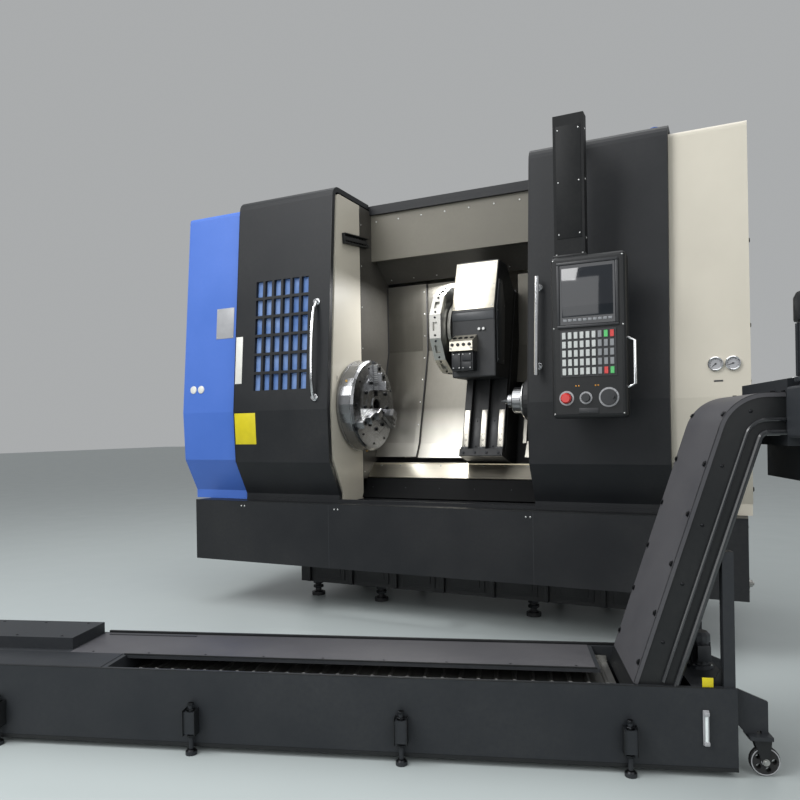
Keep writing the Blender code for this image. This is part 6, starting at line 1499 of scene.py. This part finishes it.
def incline_line(inward):
    """The incline's upper face, or a line so far inside it, in the conveyor's (X, Z)."""
    run, rise = cos(TURN), sin(TURN)
    centre_z = 1.218 - KNEE
    reach = (centre_z + KNEE * run - 0.225) / rise
    centre_x = -0.333 + reach * run + KNEE * rise
    foot = (-0.333 + inward * rise, 0.225 - inward * run)
    curve = [
        (centre_x + (KNEE - inward) * cos(a), centre_z + (KNEE - inward) * sin(a))
        for a in spread(pi / 2 + TURN, pi / 2, 13)
    ]
    return [foot, *curve, (0.164, 1.218 - inward)]


def along_line(line, distance):
    """The point so far along a line, and the line's direction there."""
    points = [Vector(point) for point in line]
    for a, b in zip(points, points[1:]):
        length = (b - a).length
        if distance <= length:
            return a + (b - a) * distance / length, (b - a).normalized()
        distance -= length
    return points[-1], (points[-1] - points[-2]).normalized()


def incline_details():
    """The grey top plate with its bolts, and the rolled beads along the casing's lower edge."""
    plate, bolts, beads, ribs = Shape(CONVEYOR), Shape(), Shape(CONVEYOR), Shape(CONVEYOR)
    top = incline_line(0)
    start, _ = along_line(top, 0.064)
    plate_line = [tuple(start), *top[1:]]
    ribbon(plate, plate_line, -0.0025, -LIFT, -0.4235, -0.0165, ALONG_Y)
    ribbon(plate, plate_line, -0.0025, 0.012, -0.0197, -0.0165, ALONG_Y)
    ribbon(plate, plate_line, -0.0025, 0.012, -0.4235, -0.4203, ALONG_Y)
    for distance in spread(0.13, 1.32, 8):
        point, way = along_line(top, distance)
        for y in (0.034, 0.406):
            place = facing((point.x, y, point.y), (-way.y, 0, way.x), up=(way.x, 0, way.y), base=CONVEYOR)
            bolts.hexagon((0, 0, 0.0025), 0.008, 0.006, place)
            bolts.rod((0, 0, 0), "Z", 0.0022, 0.0034, 0.011, sides=18, place=place)
    lower = incline_line(0.125)
    inner = incline_line(0.084)
    for line, radius in ((lower, 0.010), (inner, 0.007)):
        first, _ = along_line(line, 0.10)
        path = [tuple(first), *line[1:]]
        for y in (0.0203 - 0.004, 0.4197 + 0.004):
            beads.tube([(x, y, z) for x, z in path], radius, 10)
    ribbon(ribs, [tuple(along_line(lower, 0.10)[0]), *lower[1:]], LIFT, 0.004, -0.4197, -0.0203, ALONG_Y)
    for distance in spread(0.22, 1.02, 5):
        point, way = along_line(incline_line(0.045), distance)
        for y, normal in ((0.0203, FRONT), (0.4197, BACK)):
            bolts.button(
                (0, 0, LIFT), 0.006, 0.003, place=facing((point.x, y, point.y), normal, base=CONVEYOR),
                sides=12
            )
    plate.done("incline_plate", GREY_TOP)
    bolts.done("incline_bolts", BLACK_STEEL)
    beads.done("incline_beads", GLOSS_BLACK)
    ribs.done("incline_underplate", BLACK_SATIN)


def head_details():
    """Bearing blocks with tension screws, cover plates, and the gear motor's fittings."""
    covers, screws, bearings = Shape(CONVEYOR), Shape(), Shape(CONVEYOR)
    covers.box((0.185, 0.03, 1.2622), (0.42, 0.41, 1.2655), bevel=0.001)
    slope = facing((0.50, 0.22, 1.202), (1, 0, 1), up=(-1, 0, 1), base=FLAT)
    covers.box((-0.19, -0.07, CLEAR), (0.19, 0.07, 0.003), bevel=0.001, place=slope)
    covers.box((0.5602, 0.03, 0.99), (0.5632, 0.41, 1.13), bevel=0.001)
    covers.box((0.39, 0.004, 1.0), (0.54, 0.0077, 1.13), bevel=0.001)
    covers.box((0.39, 0.4323, 1.0), (0.54, 0.436, 1.13), bevel=0.001)
    for x in (0.20, 0.40):
        for y in (0.05, 0.22, 0.39):
            screws.button(
                (0, 0, LIFT), 0.006, 0.003, place=facing((x, y, 1.2655), TOP, base=CONVEYOR), sides=12
            )
    for x in (0.402, 0.528):
        for z in (1.012, 1.118):
            screws.button(
                (0, 0, LIFT), 0.005, 0.0025, place=facing((x, 0.004, z), FRONT, base=CONVEYOR), sides=12
            )
    place = facing((0.24, 0.432, HEAD_SHAFT_Z), BACK, base=CONVEYOR)
    side = facing((0.24, 0.432, HEAD_SHAFT_Z), BACK, base=FLAT)
    bearings.outline(
        [(-0.06, -0.035), (0.06, -0.035), (0.06, 0.035), (-0.06, 0.035)], CLEAR, 0.014, bevel=0.004,
        place=side
    )
    bearings.spun(
        [(0, 0.030), (0.018, 0.030), (0.018, 0.034), (0.032, 0.034), (0.036, 0.028), (0.038, 0.014)],
        (0, 0, 0), "Z", 32, side
    )
    for x in (-0.045, 0.045):
        screws.hexagon((x, 0, 0.014), 0.009, 0.008, place)
    bearings.rod((0.33, 0.455, HEAD_SHAFT_Z), "X", -0.03, 0.09, 0.006, sides=14)
    bearings.box((0.40, 0.4325, 1.140), (0.412, 0.468, 1.172), bevel=0.002)
    covers.done("head_covers", BLACK_SATIN)
    screws.done("head_screws", STEEL)
    bearings.done("head_bearing", CASTING)
    motor_details()


def motor_details():
    """Cooling fins, fan cover, terminal box, cable gland and gearbox screws of the conveyor's motor."""
    x, y = 0.24, 0.008 - CLEAR - 0.075
    low = HEAD_SHAFT_Z + 0.08
    fins, cowl, case, screws = Shape(CONVEYOR), Shape(CONVEYOR), Shape(CONVEYOR), Shape()
    for i in range(28):
        turn = Matrix.Translation((x, y, 0)) @ Matrix.Rotation(tau * i / 28, 4, "Z")
        fins.box((0.063, -0.0016, low + 0.03), (0.0735, 0.0016, low + 0.19), place=turn)
    fins.spun(
        [
            (0.066, low + 0.012), (0.076, low + 0.012), (0.078, low + 0.016), (0.078, low + 0.026),
            (0.066, low + 0.028)
        ],
        (x, y, 0), "Z", 40
    )
    cowl.spun(
        [
            (0.066, low + 0.198),
            (0.077, low + 0.198),
            (0.078, low + 0.202),
            (0.078, low + 0.268),
            (0.070, low + 0.284),
            (0, low + 0.286),
        ],
        (x, y, 0),
        "Z",
        40,
    )
    for radius in (0.018, 0.030, 0.042, 0.054):
        cowl.spun(
            [
                (radius, low + 0.2855), (radius, low + 0.2885), (radius + 0.004, low + 0.2885),
                (radius + 0.004, low + 0.2855)
            ],
            (x, y, 0), "Z", 36
        )
    case.box((x + 0.060, y - 0.045, low + 0.07), (x + 0.112, y + 0.045, low + 0.165), bevel=0.006)
    case.box((x + 0.110, y - 0.048, low + 0.067), (x + 0.118, y + 0.048, low + 0.168), bevel=0.002)
    case.rod((x + 0.085, y, 0), "Z", low + 0.045, low + 0.072, 0.012, sides=20, bevel=0.002)
    for dy in (-0.038, 0.038):
        for dz in (0.077, 0.158):
            screws.button(
                (0, 0, 0), 0.004, 0.002, place=facing((x + 0.118, y + dy, low + dz), RIGHT, base=CONVEYOR),
                sides=12
            )
    for dx in (-0.062, 0.062):
        for z in (1.094, 1.218):
            screws.cap_screw(
                (0, 0, 0.0001), 0.007, 0.006, place=facing((x + dx, y - 0.075, z), FRONT, base=CONVEYOR),
                sides=14
            )
    cover = Shape(facing((x, y - 0.075, HEAD_SHAFT_Z), FRONT, base=CONVEYOR))
    cover.spun(
        [(0, 0.010), (0.030, 0.010), (0.036, 0.006), (0.046, 0.006), (0.048, CLEAR)], (0, 0, 0), "Z", 36
    )
    cover.done("gearbox_cap", MOTOR)
    fins.done("motor_fins", MOTOR)
    cowl.done("motor_fan_cover", BLACK_SATIN)
    case.done("terminal_box", MOTOR)
    screws.done("motor_screws", STEEL)


def tank_details():
    """Rim folds, a dark strip on the deck painted as the shade in its slot, the seams, hood screws, the level
    gauge and the jacks' channels.
    """
    rim, seams, screws = Shape(CONVEYOR), Shape(CONVEYOR), Shape()
    rim.box((-3.12, 0.0, DECK_Z), (-0.04, 0.006, 0.2845), bevel=0.0008)
    rim.box((-2.38, 0.430, DECK_Z), (-0.04, 0.440, 0.292), bevel=0.001)
    rim.box((-2.16, 0.155, DECK_Z), (-0.41, 0.160, 0.2875), bevel=0.001)
    rim.box((-3.10, -0.0015, 0.020), (-0.001, 0.0, 0.032))
    rim.done("tank_rim", BLACK_SATIN)
    deck, front_deck = Shape(CONVEYOR), Shape(CONVEYOR)
    deck.box((-2.39, 0.165, DECK_Z), (-0.415, 0.428, DECK_TOP_Z), bevel=0.0005)
    deck.done("deck_plate", GREY_TOP)
    front_deck.box((-3.11, 0.010, DECK_Z), (-2.17, 0.164, DECK_TOP_Z), bevel=0.0005)
    front_deck.box((-3.11, 0.164, DECK_Z), (-2.391, 0.198, DECK_TOP_Z), bevel=0.0005)
    front_deck.done("front_deck_plate", TANK_PAINT)
    # A dark strip on the deck: painted shade for the opening of the deck's slot
    seams.box((-2.36, 0.396, 0.2836), (-1.98, 0.408, 0.2862))
    seams.done("deck_slot_shade", DARK_PLASTIC)
    for x in spread(-3.04, -2.46, 4):
        for y in (0.222, 0.405):
            screws.button(
                (0, 0, LIFT), 0.006, 0.003, place=facing((x, y, 0.327), TOP, base=CONVEYOR), sides=12
            )
    for x in spread(-2.30, -0.48, 9):
        screws.button(
            (0, 0, LIFT), 0.0045, 0.002, place=facing((x, 0.178, DECK_TOP_Z), TOP, base=CONVEYOR), sides=12
        )
    place = facing((-0.0975, 0, 0.158), FRONT, base=CONVEYOR)
    gauge, tube = Shape(place), Shape(place)
    gauge.box((-0.0095, -0.056, CLEAR), (0.0095, 0.056, 0.006), bevel=0.002)
    gauge.box((-0.0085, 0.040, 0.005), (0.0085, 0.054, 0.018), bevel=0.003)
    gauge.box((-0.0085, -0.054, 0.005), (0.0085, -0.040, 0.018), bevel=0.003)
    tube.rod((0, 0, 0.011), "Y", -0.042, 0.042, 0.005, sides=18)
    gauge.done("level_gauge", GREY_PLATE)
    tube.done("level_tube", SIGHT_GLASS)
    for x in (-3.10, -0.02):
        for y in (0.03, 0.41):
            screws.button(
                (0, 0, LIFT), 0.005, 0.0025, place=facing((x, y, 0.282), TOP, base=CONVEYOR), sides=12
            )
    screws.done("tank_screws", BLACK_STEEL)
    end = Shape(CONVEYOR)
    place = facing((0, 0.22, 0.07), RIGHT, base=FLAT)
    end.spun(
        [(0, 0.014), (0.016, 0.014), (0.018, 0.010), (0.018, 0.004), (0.028, 0.004), (0.028, CLEAR)],
        (0, 0, 0), "Z", 24, place
    )
    end.hexagon((0, 0, 0.014), 0.009, 0.008, place)
    end.done("tank_drain_plug", GALVANISED)
    jack_details()


def jack_details():
    """Side lips, head bolt, lock nut and washer of every jack."""
    lips, nuts = Shape(CONVEYOR), Shape(CONVEYOR)
    for number in range(4):
        x = -0.333 - number * 0.742
        for y, side in ((0.0, -1), (0.44, 1)):
            near, far = sorted((y + side * 0.001, y + side * 0.041))
            for dx in (-0.0225, 0.0205):
                lips.box((x + dx, near, 0.068), (x + dx + 0.002, far, 0.158), bevel=0.0006)
            middle = y + side * 0.0175
            nuts.hexagon((x, middle, 0.1503), 0.0145, 0.009)
            nuts.hexagon((x, middle, 0.1703), 0.0105, 0.009)
            nuts.hexagon((x, middle, 0.060), 0.0145, 0.009)
            nuts.spun([(0.0085, 0.020), (0.014, 0.018), (0.018, 0.0122)], (x, middle, 0), "Z", 18)
    lips.done("jack_channels", BLACK_SATIN)
    nuts.done("jack_nuts", BLACK_STEEL)


def belt_details():
    """Side wings and pin heads of the hinged belt."""
    wings, pins = Shape(CONVEYOR), Shape(CONVEYOR)
    count = int((-0.345 + 2.13) / 0.0635)
    for i in range(count):
        x = -0.345 - 0.0635 * (i + 0.5)
        for y in (0.0255, 0.4125):
            wings.outline(
                [(x - 0.036, 0.2275), (x + 0.036, 0.2275), (x + 0.030, 0.250), (x - 0.022, 0.250)],
                -y - 0.0015,
                -y,
                place=ALONG_Y,
            )
        pins.rod((x, 0.0, 0.2315), "Y", 0.0265, 0.033, 0.0065, sides=12)
        for y in (0.09, 0.15):
            pins.rod((x, y, 0.2295), "Y", 0, 0.004, 0.0098, sides=14)
    wings.done("belt_wings", GALVANISED, "frame", "turned_steel")
    pins.done("belt_pins", STEEL)


def pump_details():
    """Terminal box, pipe, flange screws and cooling slots of the coolant pump, and posts' gussets."""
    x, y, low = -0.056, 0.22, 0.2823
    case, pipe, screws, gussets = Shape(CONVEYOR), Shape(CONVEYOR), Shape(), Shape(CONVEYOR)
    case.box((x - 0.020, y - 0.058, low + 0.035), (x + 0.020, y - 0.030, low + 0.085), bevel=0.004)
    case.box((x - 0.022, y - 0.061, low + 0.033), (x + 0.022, y - 0.057, low + 0.087), bevel=0.0015)
    for i in range(12):
        turn = Matrix.Translation((x, y, 0)) @ Matrix.Rotation(tau * i / 12, 4, "Z")
        case.box((0.030, -0.001, low + 0.02), (0.0365, 0.001, low + 0.085), place=turn)
    pipe.tube(
        [
            (x + 0.005, 0.30, 0.2825), (x + 0.005, 0.30, 0.32), (x + 0.010, 0.307, 0.333),
            (x + 0.018, 0.32, 0.34), (x + 0.018, 0.372, 0.34)
        ],
        0.013,
        16,
    )
    pipe.spun(
        [(0.013, 0.300), (0.017, 0.298), (0.019, 0.290), (0.024, 0.2885), (0.024, 0.2823)],
        (x + 0.005, 0.30, 0), "Z", 24
    )
    for i in range(4):
        angle = tau * (i + 0.5) / 4
        screws.hexagon(
            (0, 0, 0), 0.0045, 0.004,
            facing((x + 0.041 * cos(angle), y + 0.041 * sin(angle), low + 0.012), TOP, base=CONVEYOR)
        )
    for base_y in (0.012, 0.393):
        gussets.outline(
            [(-0.075, 0.2823), (-0.037, 0.2823), (-0.037, 0.345)], -base_y - 0.021, -base_y - 0.015,
            bevel=0.001, place=ALONG_Y
        )
    label = Shape(facing((-0.088, 0.006, 0.2845), FRONT, base=CONVEYOR))
    label.box((-0.017, 0.0, -0.001), (0.017, 0.030, 0.001), bevel=0.0005)
    label.done("pump_tag", YELLOW_PLATE)
    case.done("pump_box", MOTOR)
    pipe.done("pump_pipe", GALVANISED, "frame", "turned_steel")
    screws.done("pump_screws", STEEL)
    gussets.done("post_gussets", BLACK_SATIN)


def caster_details():
    """Axle nuts and fork washers of both casters, and the hubs of their wheels."""
    for end, y in (("front", 0.036), ("rear", 0.404)):
        nuts, hub = Shape(CONVEYOR), Shape(CONVEYOR)
        low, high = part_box(f"caster_wheel_{end}")
        axle = tuple(CONVEYOR.inverted() @ ((low + high) / 2))
        for side in (-1, 1):
            place = facing((axle[0], y + side * 0.0192, axle[2]), (0, side, 0), base=FLAT)
            nuts.hexagon((0, 0, 0), 0.0085, 0.005, place)
            nuts.spun(
                [(0.0065, 0.0), (0.0065, 0.0008), (0.011, 0.0008), (0.011, -0.0004)], (0, 0, 0), "Z", 18,
                place
            )
        nuts.done(f"caster_{end}_nuts", GALVANISED, f"caster_{end}", "turned_steel")
        for side in (-1, 1):
            rim = [(0.0068, 0.0132), (0.012, 0.0132), (0.0135, 0.0118), (0.0135, 0.0102)]
            hub.spun([(radius, side * height) for radius, height in rim], axle, "Y", 24)
        hub.spun([(0.0405, -0.0125), (0.042, -0.0131), (0.044, -0.0125)], axle, "Y", 48)
        hub.done(f"caster_{end}_hub", GREY_PLATE, f"wheel_{end}")


def rear_details():
    """Bolts and panels on the rear hood, and the cabinet's hinges, vents and feet."""
    bolts = Shape()
    for x in spread(-1.68, 1.58, 14):
        for z in (2.24, 0.72):
            bolts.hexagon((0, 0, LIFT), 0.009, 0.006, facing((x, HOOD_BACK_Y, z), BACK))
    bolts.done("hood_bolts", STEEL)
    service_panel("rear_left_panel", facing((-1.45, HOOD_BACK_Y, 1.48), BACK), 0.50, 1.20, rows=10, latches=2)
    service_panel("rear_right_panel", facing((1.25, HOOD_BACK_Y, 1.48), BACK), 0.62, 1.20, rows=10, latches=2)
    left, right, back = -1.15, 0.85, 1.6903
    hinges, trim = Shape(MACHINE), Shape(MACHINE)
    for z in (0.55, 1.26, 1.97):
        hinges.rod((left - 0.006, back, 0), "Z", z - 0.045, z + 0.045, 0.008, sides=18, bevel=0.001)
        hinges.box(
            (left - 0.003, back - 0.055, z - 0.04), (left - LIFT, back - 0.004, z + 0.04), bevel=0.0008
        )
    hinges.done("cabinet_hinges", STEEL)
    trim.box((left, HOOD_BACK_Y, 2.1802), (right, 1.69, 2.188), bevel=0.002)
    for x in (left + 0.12, right - 0.12):
        trim.tube(
            [
                (x - 0.03, 1.51, 2.188), (x - 0.03, 1.51, 2.215), (x + 0.03, 1.51, 2.215),
                (x + 0.03, 1.51, 2.188)
            ],
            0.006, 12
        )
    trim.done("cabinet_roof", WHITE)
    feet = Shape(MACHINE)
    for x in (left + 0.10, right - 0.10):
        for y in (1.39, 1.63):
            feet.box((x - 0.03, y - 0.03, 0.0), (x + 0.03, y + 0.03, 0.012), bevel=0.003)
            feet.box((x - 0.018, y - 0.018, 0.012), (x + 0.018, y + 0.018, 0.3398), bevel=0.002)
    feet.done("cabinet_feet", BLACK_SATIN)
    cabinet_door_details(back + 0.0223)
    cabinet_inside_details()


def cabinet_door_details(face):
    """Handle, lock and air filter on the cabinet's door, and the switch's yellow collar."""
    filters, handle, lock = Shape(MACHINE), Shape(MACHINE), Shape(MACHINE)
    for x, z in ((-0.75, 0.62), (0.30, 0.62), (-0.75, 1.95), (0.30, 1.95)):
        place = facing((x, face, z), BACK, base=FLAT)
        border(filters, 0.16, 0.12, 0.02, LIFT, 0.012, 0.003, place)
        louvres(filters, place, -0.139, 0.139, -0.098, 8, 0.0245)
    filters.done("cabinet_filters", GREY_PLATE, "cabinet_door")
    place = facing((0.62, face, 1.20), BACK, base=FLAT)
    handle.tube(
        [(0.0, -0.11, 0.0), (0.0, -0.10, 0.029), (0.0, 0.10, 0.029), (0.0, 0.11, 0.0)], 0.009, 14, place
    )
    for y in (0.109, -0.109):
        handle.spun([(0.0095, 0.004), (0.016, 0.004), (0.018, CLEAR)], (0.0, y, 0), "Z", 24, place)
    handle.done("cabinet_handle", CHROME, "cabinet_door")
    for z in (0.90, 1.66):
        spot = facing((0.77, face, z), BACK, base=FLAT)
        lock.spun([(0, 0.009), (0.012, 0.009), (0.015, 0.006), (0.015, CLEAR)], (0, 0, 0), "Z", 24, spot)
        lock.box((-0.0012, -0.008, 0.0088), (0.0012, 0.008, 0.0102), place=spot)
    lock.done("cabinet_locks", BLACK_STEEL, "cabinet_door")
    collar = Shape(facing((0.73, face, 1.50), BACK))
    border(collar, 0.05, 0.05, 0.016, LIFT, 0.002, 0.0005)
    collar.done("switch_collar", YELLOW_PLATE, "cabinet_door")


def cabinet_inside_details():
    """Cable ducts, mounting rails, terminals and drive fronts inside the cabinet."""
    ducts, rails, fronts, terminals = Shape(MACHINE), Shape(MACHINE), Shape(MACHINE), Shape(MACHINE)
    plate = 1.3303 + 0.016 + CLEAR + 0.008
    low_x, high_x, low_z, high_z = -1.10, 0.80, 0.39, 2.13
    middle = (low_z + high_z) / 2
    for z in (middle - 0.10, high_z - 0.24, low_z + 0.12):
        ducts.box((low_x + 0.04, plate, z - 0.03), (high_x - 0.04, plate + 0.008, z + 0.03), bevel=0.001)
        for x in spread(low_x + 0.05, high_x - 0.06, 60):
            for dz in (-0.029, 0.025):
                ducts.box((x, plate + 0.008, z + dz), (x + 0.012, plate + 0.050, z + dz + 0.004))
        ducts.box(
            (low_x + 0.04, plate + 0.050, z - 0.03), (high_x - 0.04, plate + 0.053, z + 0.03), bevel=0.001
        )
    for z in (middle - 0.24, low_z + 0.04):
        rails.box((low_x + 0.06, plate, z - 0.0175), (high_x - 0.06, plate + 0.0075, z + 0.0175), bevel=0.001)
        for i, x in enumerate(spread(low_x + 0.10, high_x - 0.50, 56)):
            terminals.box((x, plate + 0.0078, z - 0.024), (x + 0.0085, plate + 0.040, z + 0.024))
            terminals.box((x + 0.002, plate + 0.040, z - 0.010), (x + 0.0065, plate + 0.048, z + 0.010))
    pitch = (high_x - low_x) / 5
    for i in range(5):
        left = low_x + pitch * (i + 0.5) - 0.07
        front = plate + 0.18
        fronts.box(
            (left + 0.008, front, middle + 0.02), (left + 0.132, front + 0.006, middle + 0.40), bevel=0.002
        )
        fronts.box(
            (left + 0.03, front + 0.006, middle + 0.29), (left + 0.11, front + 0.010, middle + 0.36),
            bevel=0.002
        )
        for row in range(3):
            for column in range(4):
                x, z = left + 0.035 + column * 0.020, middle + 0.20 + row * 0.022
                fronts.box(
                    (x, front + 0.006, z), (x + 0.014, front + 0.009, z + 0.014), bevel=0.001, segments=1
                )
        for z in (middle - 0.40, middle - 0.34):
            for column in range(3):
                x = left + 0.026 + column * 0.036
                fronts.box(
                    (x, plate + 0.08, z), (x + 0.018, plate + 0.086, z + 0.022), bevel=0.001, segments=1
                )
    ducts.done("cable_ducts", GREY_PLATE)
    rails.done("mounting_rails", GALVANISED)
    terminals.done("terminals", PALE_PLASTIC)
    fronts.done("drive_fronts", DARK_PLASTIC)


DETAILS = (
    door_details,
    window_details,
    door_handles,
    crest_fitting,
    plates,
    round_caps,
    end_wall_details,
    cheek_details,
    chuck_details,
    jaw_details,
    turret_details,
    housing_details,
    manifold_details,
    saddle_details,
    way_cover_details,
    slide_details,
    ceiling_details,
    roof_details,
    tray_details,
    base_details,
    tailstock_details,
    screen_details,
    key_details,
    dial_details,
    pendant_case_details,
    hanger_details,
    incline_details,
    head_details,
    tank_details,
    belt_details,
    pump_details,
    caster_details,
    rear_details,
)

dress_nodes()
studio()
for make in DETAILS:
    make()
